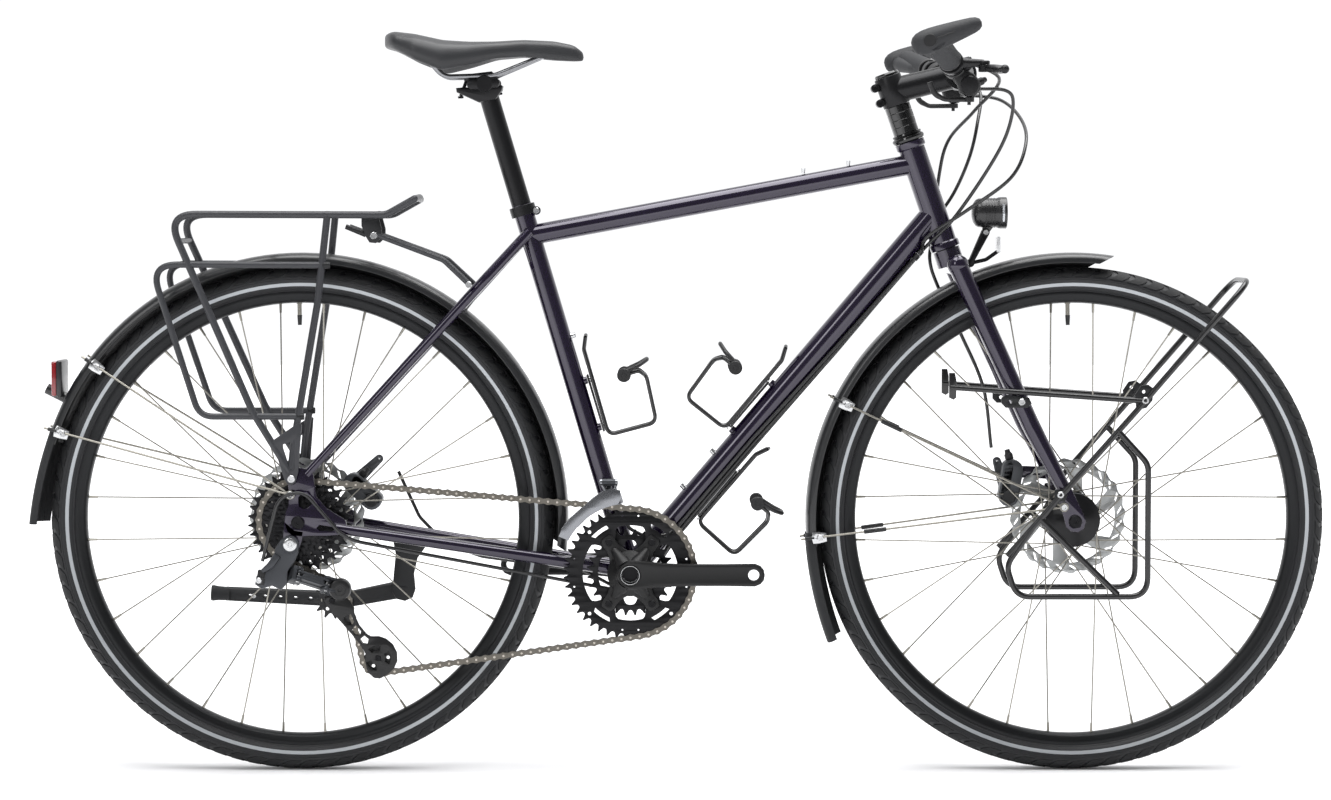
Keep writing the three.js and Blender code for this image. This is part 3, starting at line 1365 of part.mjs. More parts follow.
function makeFrontRack() {
  const place = ([x, z], y) => at(frontAxle.x + x, y, frontAxle.z + z);
  const onSide = (side) => (point) => place(point, side * lowRack.y);
  const hoop = [
    ...lowRack.diagonal.map(onSide(right)), ...lowRack.diagonal.map(onSide(left)).reverse(),
  ];
  const sides = bothSides.map((side) => [
    tube(lowRack.loop.map(onSide(side)), lowRack.tube, lowRack.bend, 5, 60),
    tube(lowRack.rail.map(onSide(side)), lowRack.tube, lowRack.bend, 5, 60),
    tube(lowRack.brace.map(onSide(side)), lowRack.tube, lowRack.bend, 4),
    shaft(place(lowRack.bladeBolt, 0), lowRack.boss, side * lowRack.bladeFace, side * (lowRack.y + lowRack.boss), 4),
    shaft(place(lowRack.footBolt, 0), lowRack.boss, side * lowRack.footFace, side * (lowRack.y + lowRack.boss), 4),
  ]);
  return unite(tube(hoop, lowRack.tube, lowRack.hoopTurn, 5, 60), sides);
}

piece('front_rack', makeFrontRack(), glossBlack);

// Headlight: a lamp that tilts on a bent wire from the fork crown, with its reflector below
const lamp = {
  pivot: [-121, 399], bodyRadius: 20, length: 46, rise: 27, forward: 8, earHalf: 4, earThickness: 3, pin: 2.5,
  wire: 6, wireKnee: [-142, 356], noseRadius: 22, reflector: [-103, 386], reflectorHeight: 27, reflectorWidth: 34,
};

function makeHeadlight() {
  const pivot = moved(frontAxle, ...lamp.pivot);
  const back = moved(pivot, lamp.forward - lamp.length / 2, lamp.rise);
  const front = moved(back, lamp.length, 0);
  const neck = beltShape([[pivot.x, pivot.z, lamp.wire], [pivot.x + lamp.forward, pivot.z + lamp.rise, lamp.wire]], 2);
  neck.holes.push(roundHole(pivot.x, pivot.z, lamp.pin + clearance));
  return unite(
    rod(back, front, 2 * lamp.bodyRadius, 12, 2 * lamp.noseRadius),
    rod(back, moved(back, -lamp.earHalf, 0), 2 * lamp.bodyRadius, 12, lamp.bodyRadius),
    sidePlate(neck, 2 * lamp.earHalf, 0),
  );
}

function makeLampBracket() {
  const pivot = moved(frontAxle, ...lamp.pivot);
  const knee = moved(frontAxle, ...lamp.wireKnee);
  const away = knee.clone().sub(crownPlace).normalize();
  const foot = crownPlace.clone().addScaledVector(away, fork.crownDiameter / 2 + fork.crownForward + clearance);
  const earY = lamp.earHalf + clearance + lamp.earThickness / 2;
  const ears = bothSides.map((side) => sidePlate(
    beltShape([[pivot.x, pivot.z, lamp.wire], [knee.x, knee.z, lamp.wire / 2]], 2), lamp.earThickness, side * earY,
  ));
  const reflector = moved(frontAxle, ...lamp.reflector);
  return unite(
    rod(foot, knee, lamp.wire * 2, 6),
    shaft(knee, lamp.wire, -earY, earY, 6),
    ears,
    shaft(pivot, lamp.pin, -earY, earY, 8),
    block(moved(reflector, 0, -lamp.reflectorHeight / 2), lamp.wire, lamp.reflectorWidth, lamp.reflectorHeight),
    rod(knee, moved(reflector, 0, -lamp.reflectorHeight / 2), lamp.wire, 6),
  );
}

piece('headlight_bracket', makeLampBracket(), blackSteel);
piece('headlight', makeHeadlight(), blackPlastic);

// Rear lamp: lens and housing on a foot that bolts to the mudguard
const tailLamp = { centre: [-338.5, 196], depth: 15, width: 60, height: 52, foot: 153, footReach: 32, footRadius: 8, lip: 5 };

function makeRearLamp() {
  const centre = moved(rearAxle, ...tailLamp.centre);
  const crown = mudguardRadius - guard.edgeDrop * crownShares[1][1] + clearance;
  const foot = polar(rearAxle, crown, tailLamp.foot);
  const head = polar(rearAxle, crown + tailLamp.footReach, tailLamp.foot);
  const { depth, width, height, lip } = tailLamp;
  return unite(
    block(moved(centre, lip / 2, 0), depth - lip, width, height),
    block(moved(centre, -depth / 2 + lip / 2, 0), lip + bury, width - 2 * lip, height - lip),
    rod(foot, head, 2 * tailLamp.footRadius, 8),
  );
}

piece('rear_light', makeRearLamp(), lampRed);

// Bottle cage: two wires that leave the base plate, wrap the bottle and come back under it
const cage = {
  wire: 5, baseHalf: 42, baseY: 8, bottleY: 38, frontOut: 80, bend: 14, plate: 3, plateWidth: 22, top: 58, foot: -66,
  frontTop: 46, frontFoot: -44, wrapOut: 40, tabHeight: 12,
};

function makeCage(name) {
  const { foot, top, shares, side } = cageBolts[name];
  const tubeRadius = (top === downTubeHead ? frame.downTube : frame.seatTube) / 2;
  const run = top.clone().sub(foot).normalize();
  const out = squareTo(foot, top, side);
  const seat = between(foot, top, (shares[0] + shares[1]) / 2)
    .addScaledVector(out, tubeRadius + frame.bossHeight + clearance);
  const local = (along, away, y) => seat.clone().addScaledVector(run, along).addScaledVector(out, away)
    .add(at(0, y, 0));
  const wireOut = cage.plate / 2;
  const wires = bothSides.map((hand) => tube([
    local(0, wireOut, hand * cage.baseY), local(cage.top, wireOut, hand * cage.baseY),
    local(cage.top, cage.wrapOut, hand * cage.bottleY), local(cage.frontTop, cage.frontOut, hand * cage.baseY),
    local(cage.frontFoot, cage.frontOut, hand * cage.baseY), local(cage.foot, cage.wrapOut, hand * cage.baseY),
    local(cage.foot, wireOut, hand * cage.baseY), local(-bury, wireOut, hand * cage.baseY),
  ], cage.wire, cage.bend, 4, 90));
  const plateGeometry = new THREE.BoxGeometry(cage.plate, cage.plateWidth, 2 * cage.baseHalf);
  const slope = new THREE.Matrix4().makeBasis(out, run.clone().cross(out), run);
  plateGeometry.applyMatrix4(slope);
  plateGeometry.translate(...local(0, wireOut, 0).toArray());
  const tab = rod(local(cage.frontTop - cage.tabHeight, cage.frontOut, -cage.baseY),
    local(cage.frontTop - cage.tabHeight, cage.frontOut, cage.baseY), cage.wire, 4);
  return unite(wires, toSolid(plateGeometry), tab);
}

piece('bottle_cage_seat_tube', makeCage('seatTube'), glossBlack);
piece('bottle_cage_down_tube', makeCage('downTube'), glossBlack);
piece('bottle_cage_underside', makeCage('underside'), glossBlack);

// Kickstand leg, folded back along the chainstay, with a row of holes in it

function makeKickstandLeg() {
  const pivot = kickstandPivot;
  const knee = moved(pivot, ...kickstand.knee);
  const tip = moved(pivot, ...kickstand.tip);
  const thigh = beltShape([[knee.x, knee.z, kickstand.kneeRadius], [pivot.x, pivot.z, kickstand.bossRadius]], 2);
  thigh.holes.push(roundHole(pivot.x, pivot.z, kickstand.pinRadius + turningClearance, 8));
  const shin = beltShape([[tip.x, tip.z, kickstand.tipRadius], [knee.x, knee.z, kickstand.kneeRadius]], 2);
  kickstand.holes.forEach((share) => {
    const place = between(tip, knee, share);
    shin.holes.push(roundHole(place.x, place.z, kickstand.holeRadius, 4));
  });
  const middleY = kickstand.plateY + kickstand.plateThickness / 2 + kickstand.legGap + kickstand.legThickness / 2;
  const flat = unite([thigh, shin].map((shape) => sidePlate(shape, kickstand.legThickness, middleY)));
  return turnedAbout(flat, pivot, at(1, 0, 0), kickstand.slant);
}

piece('kickstand_leg', makeKickstandLeg(), satinBlack);

// Seat: post with a rail clamp, a moulded base on two rails, and the padded cover
const seat = {
  postTop: 697, headUp: 706, headRadius: 13, headHalf: 27, railDiameter: 7, railY: 22, baseThickness: 5, baseShare: 0.7,
  rail: [[-84, 40], [-57, 9], [15, 11], [80, 38]], railSpread: [36, 22, 22, 9],
  length: 276, halfWidth: 76, height: 61, toTail: 139,
};
// Along the saddle from tail to nose: half width, crown, rim and underside, as shares of its sizes
const saddleShares = [
  [0, 0.5, 0.86, 0.6, 0.62], [0.05, 0.78, 0.97, 0.5, 0.56], [0.16, 0.98, 1, 0.3, 0.5],
  [0.3, 1, 0.86, 0.08, 0.46], [0.43, 0.8, 0.77, 0, 0.44], [0.56, 0.5, 0.76, 0.26, 0.44],
  [0.7, 0.31, 0.79, 0.36, 0.48], [0.85, 0.25, 0.79, 0.4, 0.5], [0.95, 0.2, 0.69, 0.4, 0.5], [1, 0.1, 0.54, 0.42, 0.48],
];
// Round the section from the rim over the crown: share of half width, then of the height above the rim
const shoulderShares = [[0.86, 0], [1, 0.3], [0.93, 0.7], [0.6, 0.94], [0, 1]];
const seatHead = onSeatLine(seat.headUp);

function saddlePlace([along, , , ,], y, heightShare) {
  return at(seatHead.x - seat.toTail + along * seat.length, y, saddleFoot + heightShare * seat.height);
}

const saddleTop = crankCentre.z + saddleHeight;
const saddleFoot = saddleTop - seat.height;

function makeSaddle() {
  const rings = saddleShares.map((station) => {
    const [, width, crown, rim, underside] = station;
    const half = seat.halfWidth * width;
    const side = shoulderShares.map(([w, h]) => [half * w, rim + (crown - rim) * h]);
    const far = side.slice(0, -1).reverse().map(([y, h]) => [-y, h]);
    const under = [[-half * seat.baseShare, underside], [half * seat.baseShare, underside]];
    return [...side, ...far, ...under].map(([y, h]) => saddlePlace(station, y, Math.max(h, 0)));
  });
  return loft(rings);
}

// One bent bar from the tail round the nose and back, on which the clamp's grooves are cut too
function railLine() {
  const half = seat.rail.map(([x, z], i) => at(seatHead.x + x, seat.railSpread[i], seatHead.z + z));
  return [...half, ...half.map((place) => besides(place, -place.y)).reverse()];
}

function makeSaddleRails() {
  const line = railLine();
  const baseRings = saddleShares.slice(1, -2).map((station) => {
    const [, width, , , underside] = station;
    const halfWidth = seat.halfWidth * width * seat.baseShare - clearance;
    const low = (clearance + seat.baseThickness) / seat.height;
    const high = clearance / seat.height;
    return [
      [halfWidth, underside - high], [-halfWidth, underside - high],
      [-halfWidth, underside - low], [halfWidth, underside - low],
    ].map(([y, h]) => saddlePlace(station, y, h));
  });
  return unite(loft(baseRings), tube(line, seat.railDiameter, seat.railY, 6, 60));
}

function makeSeatpost() {
  const head = shaft(seatHead, seat.headRadius, -seat.headHalf, seat.headHalf, 8);
  const grooves = tube(railLine(), seat.railDiameter + 2 * clearance, seat.railY, 6, 60);
  return cut(
    unite(rod(onSeatLine(seatTubeLength - seatpostInsert), onSeatLine(seat.postTop), 2 * seatpostRadius), head),
    grooves,
  );
}

piece('seatpost', makeSeatpost(), satinBlack);
piece('saddle_rails', makeSaddleRails(), blackSteel);
piece('saddle', makeSaddle(), saddleCover);

// Rear derailleur: a four-bar linkage between two knuckles, on pins that slant so that the cage
// drops as it moves in, then a sprung cage with two toothed pulleys in the chain's plane
const changer = {
  boltRadius: 10, outerY: 93, innerPin: [-1, -80, -75], linkSpan: [37, 16, -14], across: [-0.478, 0.813, -0.335],
  pinOffset: [-2.5, -11.7], pinRadius: 2.2, linkRadius: 4.2, linkHalf: 6, earThickness: 4, earRadius: 5.5, webReach: 12,
  webFrom: 7.5, capRadius: 14.5, capRelief: 17.5, capInnerY: -57.5, capOuterY: -78, cagePin: 5, adjusterFoot: [-50, -84],
  adjusterTop: [-48, -67], adjusterRadius: 6,
};
const linkSpan = at(...changer.linkSpan);
const linkAlong = linkSpan.clone().normalize();
const linkAcross = at(...changer.across).normalize();
const linkAxis = linkAlong.clone().cross(linkAcross).normalize();
const innerPin = at(rearAxle.x + changer.innerPin[0], changer.innerPin[1], rearAxle.z + changer.innerPin[2]);
const linkLength = linkSpan.length();

// Stands a plate drawn in the linkage's own plane, [along, across], in its place.
function inLinkPlane(shape, thickness, height) {
  const geometry = new THREE.ExtrudeGeometry(shape, { depth: thickness, bevelEnabled: false });
  geometry.translate(0, 0, height - thickness / 2);
  geometry.applyMatrix4(new THREE.Matrix4().makeBasis(linkAlong, linkAcross, linkAxis));
  geometry.translate(innerPin.x, innerPin.y, innerPin.z);
  return toSolid(geometry);
}

function makeLink(offset) {
  const shape = beltShape([
    [offset[0], offset[1], changer.linkRadius], [offset[0] + linkLength, offset[1], changer.linkRadius],
  ], 2);
  const bore = changer.pinRadius * 1.25;
  shape.holes.push(roundHole(offset[0], offset[1], bore));
  shape.holes.push(roundHole(offset[0] + linkLength, offset[1], bore));
  return inLinkPlane(shape, 2 * changer.linkHalf, 0);
}

// Two ears with pins for both links, and the web behind them; start is 0 at the hanger's knuckle.
function makeKnuckle(start, webSide) {
  const pins = [[start, 0], [start + changer.pinOffset[0], changer.pinOffset[1]]];
  const webAt = start + webSide * changer.webReach;
  const ear = beltShape(webSide > 0
    ? [[...pins[0], changer.earRadius], [...pins[1], changer.earRadius], [webAt, -changer.earRadius, 2]]
    : [[...pins[1], changer.earRadius], [...pins[0], changer.earRadius], [webAt, -changer.earRadius, 2]], 1);
  const height = changer.linkHalf + clearance + changer.earThickness / 2;
  const web = outline([
    [start + webSide * changer.webFrom, changer.earRadius], [start + webSide * changer.webFrom, 2 * changer.pinOffset[1] / 2 - changer.earRadius],
    [webAt, 2 * changer.pinOffset[1] / 2 - changer.earRadius], [webAt, changer.earRadius],
  ]);
  return unite(
    [1, -1].map((side) => inLinkPlane(ear, changer.earThickness, side * height)),
    inLinkPlane(web, 2 * height + changer.earThickness, 0),
    pins.map(([x, y]) => inLinkPlane(disc(x, y, changer.pinRadius, 5), 2 * height + bury, 0)),
  );
}

function inSideView(x, y, z) {
  return at(rearAxle.x + x, y, rearAxle.z + z);
}

function makeHangerKnuckle() {
  const hangerFace = dropoutY + frame.dropoutThickness / 2 + clearance;
  const middleY = -(hangerFace + changer.outerY) / 2;
  const [footX, footZ] = changer.adjusterFoot;
  return unite(
    shaft(hangerBolt, changer.boltRadius, -changer.outerY, -hangerFace, 8),
    rod(besides(hangerBolt, middleY), innerPin.clone().addScaledVector(linkAlong, -changer.webFrom - overrun)
      .addScaledVector(linkAcross, changer.pinOffset[1] / 2).addScaledVector(linkAxis, changer.linkHalf), 2 * changer.earRadius, 6),
    makeKnuckle(0, -1),
    taperedTube([
      [besides(hangerBolt, middleY), 2 * changer.adjusterRadius + overrun],
      [inSideView(footX, middleY, footZ), 2 * changer.adjusterRadius],
      [inSideView(changer.adjusterTop[0], middleY, changer.adjusterTop[1]), 2 * changer.adjusterRadius],
    ], 6),
  );
}

function makeCageKnuckle() {
  return cut(
    unite(
      shaft(cagePivot, changer.capRadius, changer.capOuterY, changer.capInnerY, 12),
      makeKnuckle(linkLength, 1),
    ),
    shaft(cagePivot, changer.cagePin + turningClearance, 0, (changer.capInnerY + changer.capOuterY) / 2 - overrun, 8),
    shaft(cagePivot, changer.capRelief, 0, changer.capInnerY, 12),
  );
}

const pulleyCage = {
  plate: 2, plateOut: 5.2, pulleyRadius: 9, pivotRadius: 12, pinRadius: 3, hubRadius: 8, hubHalf: 3.4, toothThickness: 2,
};

function makePulleyCage() {
  const outerY = -chainLine - pulleyCage.plateOut;
  const innerY = -chainLine + pulleyCage.plateOut;
  const { pulleyRadius: round, pivotRadius, plate, pinRadius } = pulleyCage;
  const spots = [guidePulley, tensionPulley].map(({ x, z }) => [x, z, round]);
  const pivot = [cagePivot.x, cagePivot.z, pivotRadius];
  const slotFrom = between(guidePulley, tensionPulley, 0.3);
  const slotTo = between(guidePulley, tensionPulley, 0.72);
  const slot = (y) => sidePlate(beltShape([[slotFrom.x, slotFrom.z, 4], [slotTo.x, slotTo.z, 4]], 1), 4 * plate, y);
  return unite(
    cut(unite(
      sidePlate(beltShape([spots[1], pivot], 1), plate, outerY),
      sidePlate(beltShape(spots, 1), plate, outerY),
      sidePlate(beltShape([spots[0], pivot], 1), plate, outerY),
    ), slot(outerY)),
    cut(sidePlate(beltShape(spots, 1), plate, innerY), slot(innerY)),
    [guidePulley, tensionPulley].map((place) => shaft(place, pinRadius, outerY, innerY, 8)),
    shaft(cagePivot, pivotRadius, outerY, changer.capInnerY + clearance, 12),
    shaft(cagePivot, changer.cagePin, outerY, (changer.capInnerY + changer.capOuterY) / 2, 8),
  );
}

function makePulley(phase) {
  const shape = sprocketShape(pulleyTeeth, phase, true);
  const { hubRadius, hubHalf, toothThickness, pinRadius } = pulleyCage;
  return cut(
    unite(
      sidePlate(shape, toothThickness, -chainLine),
      shaft(at(0, 0, 0), hubRadius, -chainLine - hubHalf, -chainLine + hubHalf, 8),
    ),
    shaft(at(0, 0, 0), pinRadius + turningClearance, 0, -2 * chainLine, 8),
  );
}

piece('rear_derailleur_hanger_knuckle', makeHangerKnuckle(), satinBlack);
piece('rear_derailleur_outer_link', makeLink(changer.pinOffset), greyAlloy);
piece('rear_derailleur_inner_link', makeLink([0, 0]), greyAlloy);
piece('rear_derailleur_cage_knuckle', makeCageKnuckle(), satinBlack);
piece('rear_derailleur_cage', makePulleyCage(), blackSteel);
piece('guide_pulley', makePulley(guidePhase), blackPlastic, groupAt(guidePulley));
piece('tension_pulley', makePulley(tensionPhase), blackPlastic, groupAt(tensionPulley));

// Front derailleur: a band on the seat tube, one link on a lengthwise pin, and the cage round the chain
const swing = {
  bandAlong: 100, bandRadius: 17.6, bandHeight: 14, lowPin: [-30, -25, 105], highPin: [-30, -38, 125], pinRadius: 2.5,
  barrelRadius: 5, linkDiameter: 7.6, linkHalf: 9, earThickness: 3, cageInnerY: -41, cageOuterY: -53, plate: 1.6, bridge: 5,
};
// Cage plate in side view, from the crank centre
const cagePlate = {
  arcRadius: 97, from: 100, to: 152, steps: 4, outer: [[-100, 52], [-84, 76], [-38, 116], [-14, 114]],
  bridges: [[-92, 52], [-28, 108]],
};

function onCrank([x, y, z]) {
  return at(crankCentre.x + x, y, crankCentre.z + z);
}

function alongPin(place, radius, half, sides = 8) {
  return rod(moved(place, -half, 0), moved(place, half, 0), 2 * radius, sides);
}

// A plate seen along the bicycle, [y, z] in the shape
function crossPlate(shape, thickness, middleX) {
  const geometry = new THREE.ExtrudeGeometry(shape, { depth: thickness, bevelEnabled: false });
  geometry.applyMatrix4(new THREE.Matrix4().makeBasis(at(0, 1, 0), at(0, 0, 1), at(1, 0, 0)));
  geometry.translate(middleX - thickness / 2, 0, 0);
  return toSolid(geometry);
}

// A lengthwise pin held by an ear at each end; the ears reach back to a place on their owner.
function pinEars(place, target) {
  const { linkHalf, earThickness, barrelRadius, pinRadius } = swing;
  const earAt = linkHalf + clearance + earThickness / 2;
  const ear = beltShape([[place.y, place.z, barrelRadius], [target.y, target.z, barrelRadius / 2]], 1);
  return [
    alongPin(place, pinRadius, earAt + earThickness / 2),
    [-1, 1].map((end) => crossPlate(ear, earThickness, place.x + end * earAt)),
  ];
}

function makeFrontClamp() {
  const foot = onSeatLine(swing.bandAlong - swing.bandHeight / 2);
  const top = onSeatLine(swing.bandAlong + swing.bandHeight / 2);
  const centre = onSeatLine(swing.bandAlong);
  return cut(
    unite(
      rod(foot, top, 2 * swing.bandRadius, 12),
      pinEars(onCrank(swing.lowPin), besides(centre, -swing.bandRadius + overrun)),
    ),
    rod(onSeatLine(0), onSeatLine(2 * swing.bandAlong), frame.seatTube + 2 * clearance),
  );
}

function makeFrontLink() {
  const [low, high] = [swing.lowPin, swing.highPin].map(onCrank);
  return cut(
    unite(
      alongPin(low, swing.barrelRadius, swing.linkHalf),
      alongPin(high, swing.barrelRadius, swing.linkHalf),
      rod(low, high, swing.linkDiameter, 6),
    ),
    [low, high].map((place) => alongPin(place, swing.pinRadius + turningClearance, 2 * swing.linkHalf)),
  );
}

function makeFrontCage() {
  const arc = [];
  for (let step = 0; step <= cagePlate.steps; step += 1) {
    const angle = cagePlate.from + ((cagePlate.to - cagePlate.from) * step) / cagePlate.steps;
    arc.push(polar(crankCentre, cagePlate.arcRadius, angle));
  }
  const shape = outline([
    ...arc.map(({ x, z }) => [x, z]), ...cagePlate.outer.map(([x, z]) => [crankCentre.x + x, crankCentre.z + z]),
  ]);
  const high = onCrank(swing.highPin);
  const top = onCrank([cagePlate.bridges[1][0], swing.cageInnerY, cagePlate.bridges[1][1]]);
  return unite(
    [swing.cageInnerY, swing.cageOuterY].map((y) => sidePlate(shape, swing.plate, y)),
    cagePlate.bridges.map(([x, z]) => (
      shaft(onCrank([x, 0, z]), swing.bridge / 2, swing.cageInnerY + swing.plate / 2, swing.cageOuterY - swing.plate / 2, 6)
    )),
    pinEars(high, top),
  );
}

piece('front_derailleur_clamp', makeFrontClamp(), satinBlack);
piece('front_derailleur_link', makeFrontLink(), greyAlloy);
piece('front_derailleur_cage', makeFrontCage(), stainless);

// Cables: three housings run in guides along the down tube, then to the rear brake and both derailleurs.
const cable = {
  diameter: 5.5, bend: 30, sides: 4, guideDiameter: 7.4, guideLength: 8, guides: [590, 420, 250, 75],
  leans: [[-13, 4, 21], [7, 24, 41], [28, 45, 62], [28, 45, 62]],
};
const cableSeat = frame.downTube / 2 + 3 * clearance + cable.diameter / 2;
const downLine = downTubeHead.clone().sub(crankCentre).normalize();
const downOut = squareTo(crankCentre, downTubeHead, -1);

// A place beside the down tube: how far up it from the crank centre, and how far round from its underside
function besideDownTube(along, lean) {
  return crankCentre.clone()
    .addScaledVector(downLine, along)
    .addScaledVector(downOut, cableSeat * Math.cos(lean * degree))
    .add(at(0, -cableSeat * Math.sin(lean * degree), 0));
}

function cableGuide(along, leans) {
  const half = cable.guideLength / 2;
  const sleeves = leans.map((lean) => (
    rod(besideDownTube(along - half, lean), besideDownTube(along + half, lean), cable.guideDiameter, 6)
  ));
  return cut(unite(sleeves), rod(crankCentre, downTubeHead, frame.downTube + 2 * clearance, 8));
}

// Where each housing goes below the last guide: [x, y, z] from the crank centre
const cableRoutes = {
  frontShift: [[22, -27, 48], [-6, -27, 62], [-8, -27, 86]],
  rearShift: [
    [25, -20, -12], [4, -24, -30], [-40, -28, -22], [-380, -68, 46], [-398, -88, 58], [-448, -94, 118], [-482, -94, 108],
    [-505, -86, 20],
  ],
  rearBrake: [
    [20, -4, -20], [2, 6, -28], [-24, 22, -26], [-66, 31, -4], [-210, 47, 14], [-262, 66, 30], [-300, 74, 68],
    [-330, 80, 132],
  ],
};

function makeFrameCables() {
  const routes = [cableRoutes.rearBrake, cableRoutes.rearShift, cableRoutes.frontShift].map((route, i) => {
    const run = cable.guides.map((along, guide) => besideDownTube(along, cable.leans[guide][i]));
    return tube([...run, ...route.map(onCrank)], cable.diameter, cable.bend, cable.sides, 60);
  });
  return unite(routes, [0, 3].map((guide) => cableGuide(cable.guides[guide], cable.leans[guide])));
}

piece('frame_cables', makeFrameCables(), blackPlastic);

// From the levers to the down tube the three housings hang free ahead of the head tube.
const cockpitRoutes = {
  rearBrake: [
    [-140, 142, 614], [-120, 104, 596], [-128, 54, 552], [-140, 42, 504], [-162, 37, 454], [-190, 30, 414], [-204, 19, 392],
  ],
  rearShift: [
    [-147, -118, 594], [-104, -104, 592], [-92, -92, 575], [-100, -78, 532], [-125, -62, 483], [-168, -36, 418],
    [-197, -16, 387],
  ],
  frontShift: [
    [-147, 118, 594], [-94, 92, 586], [-70, 20, 556], [-70, -46, 520], [-92, -66, 474], [-150, -52, 430],
    [-202, -28, 394],
  ],
};

function makeCockpitCables() {
  const clip = cable.guides[0] + cable.guideLength + clearance;
  const routes = [cockpitRoutes.rearBrake, cockpitRoutes.rearShift, cockpitRoutes.frontShift].map((route, i) => (
    housing(
      [
        ...route.map(([x, y, z]) => at(frontAxle.x + x, y, frontAxle.z + z)),
        besideDownTube(clip + cable.guideLength / 2, cable.leans[0][i]),
        besideDownTube(clip, cable.leans[0][i]),
      ],
      cable.diameter,
      12,
      cable.sides,
    )
  ));
  return unite(routes, cableGuide(clip, cable.leans[0]));
}

// The front brake's housing goes down the left of the head tube and behind the fork blade.
const frontBrakeRoute = [
  [-153, -150.8, 627], [-112, -104, 606], [-140, -30, 566], [-170, 30, 528], [-182, 46, 480], [-190, 47, 400],
  [-195, 43, 360], [-182, 46, 320],
  [-150, 50, 255], [-118, 55, 180], [-106, 60, 95],
];

function makeFrontBrakeCable() {
  const route = frontBrakeRoute.map(([x, y, z]) => at(frontAxle.x + x, y, frontAxle.z + z));
  return housing(route, cable.diameter, 18, cable.sides);
}

piece('cockpit_cables', makeCockpitCables(), blackPlastic);
piece('front_brake_cable', makeFrontBrakeCable(), blackPlastic);

const whole = new THREE.Box3().setFromObject(bicycle);
const middle = whole.getCenter(at(0, 0, 0));
bicycle.position.set(-middle.x, -middle.y, -whole.min.z);

export default bicycle;
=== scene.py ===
"""Touring bicycle: the finished look of every piece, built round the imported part."""

import json
import math

import bmesh
import bpy
from mathutils import Matrix, Vector


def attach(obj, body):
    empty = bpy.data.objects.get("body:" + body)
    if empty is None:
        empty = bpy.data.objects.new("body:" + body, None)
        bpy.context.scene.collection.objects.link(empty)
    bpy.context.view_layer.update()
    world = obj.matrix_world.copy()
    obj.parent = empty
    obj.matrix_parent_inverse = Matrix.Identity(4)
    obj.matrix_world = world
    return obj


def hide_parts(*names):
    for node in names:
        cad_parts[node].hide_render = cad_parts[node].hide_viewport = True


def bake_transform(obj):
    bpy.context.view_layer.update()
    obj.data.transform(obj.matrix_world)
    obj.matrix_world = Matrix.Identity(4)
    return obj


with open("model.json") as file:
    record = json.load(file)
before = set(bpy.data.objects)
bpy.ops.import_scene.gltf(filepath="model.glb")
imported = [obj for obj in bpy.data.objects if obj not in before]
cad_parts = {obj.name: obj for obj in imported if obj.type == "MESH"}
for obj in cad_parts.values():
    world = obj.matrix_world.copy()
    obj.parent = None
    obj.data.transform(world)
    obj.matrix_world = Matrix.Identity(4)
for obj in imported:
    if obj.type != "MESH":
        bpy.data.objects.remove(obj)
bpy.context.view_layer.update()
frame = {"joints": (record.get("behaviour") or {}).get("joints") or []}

# Camera: five metres out on the drive side at the height of the top tube, with a long lens.
camera = bpy.data.objects.new("camera", bpy.data.cameras.new("camera"))
bpy.context.scene.collection.objects.link(camera)
bpy.context.scene.camera = camera
camera.location = (-0.0125, -5.0, 0.767)
camera.rotation_euler = (math.radians(90 - 2.87), 0, 0)
camera.data.lens = 97.1


# Studio: a pale paper sweep under and behind the bicycle, one wide soft light overhead,
# and a lower one in front on the drive side.
def linear(code):
    """A colour from a paint chart, as the renderer wants it."""
    parts = [int(code[i:i + 2], 16) / 255 for i in (0, 2, 4)]
    return [c / 12.92 if c <= 0.04045 else ((c + 0.055) / 1.055) ** 2.4 for c in parts] + [1.0]


def add(tree, kind, values=None, links=None, **settings):
    """One node with its settings, its values and the outputs that feed it."""
    node = tree.nodes.new(kind)
    for key, value in settings.items():
        setattr(node, key, value)
    for socket, value in (values or {}).items():
        node.inputs[socket].default_value = value
    for socket, source in (links or {}).items():
        tree.links.new(source, node.inputs[socket])
    return node


def surface(name, colour, roughness, metallic=0.0, coat=0.0, shade=0.15, grain=0.6, depth=0.0):
    """A finish whose colour and gloss wander a little, with a grain given in millimetres."""
    material = bpy.data.materials.new(name)
    material.use_nodes = True
    tree = material.node_tree
    tree.nodes.clear()
    place = add(tree, "ShaderNodeTexCoord").outputs["Object"]
    cloud = add(tree, "ShaderNodeTexNoise", {"Scale": 1000 / 60, "Detail": 4.0}, {"Vector": place})
    deep = [c * (1 - shade) for c in linear(colour)[:3]] + [1.0]
    tone = add(tree, "ShaderNodeMix", {6: deep, 7: linear(colour)}, {0: cloud.outputs["Fac"]},
               data_type="RGBA")
    gloss = add(tree, "ShaderNodeMapRange", {"To Min": roughness * 0.85, "To Max": roughness * 1.15},
                {"Value": cloud.outputs["Fac"]})
    speck = add(tree, "ShaderNodeTexNoise", {"Scale": 1000 / grain, "Detail": 2.0}, {"Vector": place})
    relief = add(tree, "ShaderNodeBump", {"Strength": 1.0, "Distance": depth / 1000},
                 {"Height": speck.outputs["Fac"]})
    shader = add(tree, "ShaderNodeBsdfPrincipled",
                 {"Metallic": metallic, "Coat Weight": coat, "Coat Roughness": 0.03},
                 {"Base Color": tone.outputs[2], "Roughness": gloss.outputs["Result"],
                  "Normal": relief.outputs["Normal"]})
    add(tree, "ShaderNodeOutputMaterial", None, {"Surface": shader.outputs["BSDF"]})
    return material


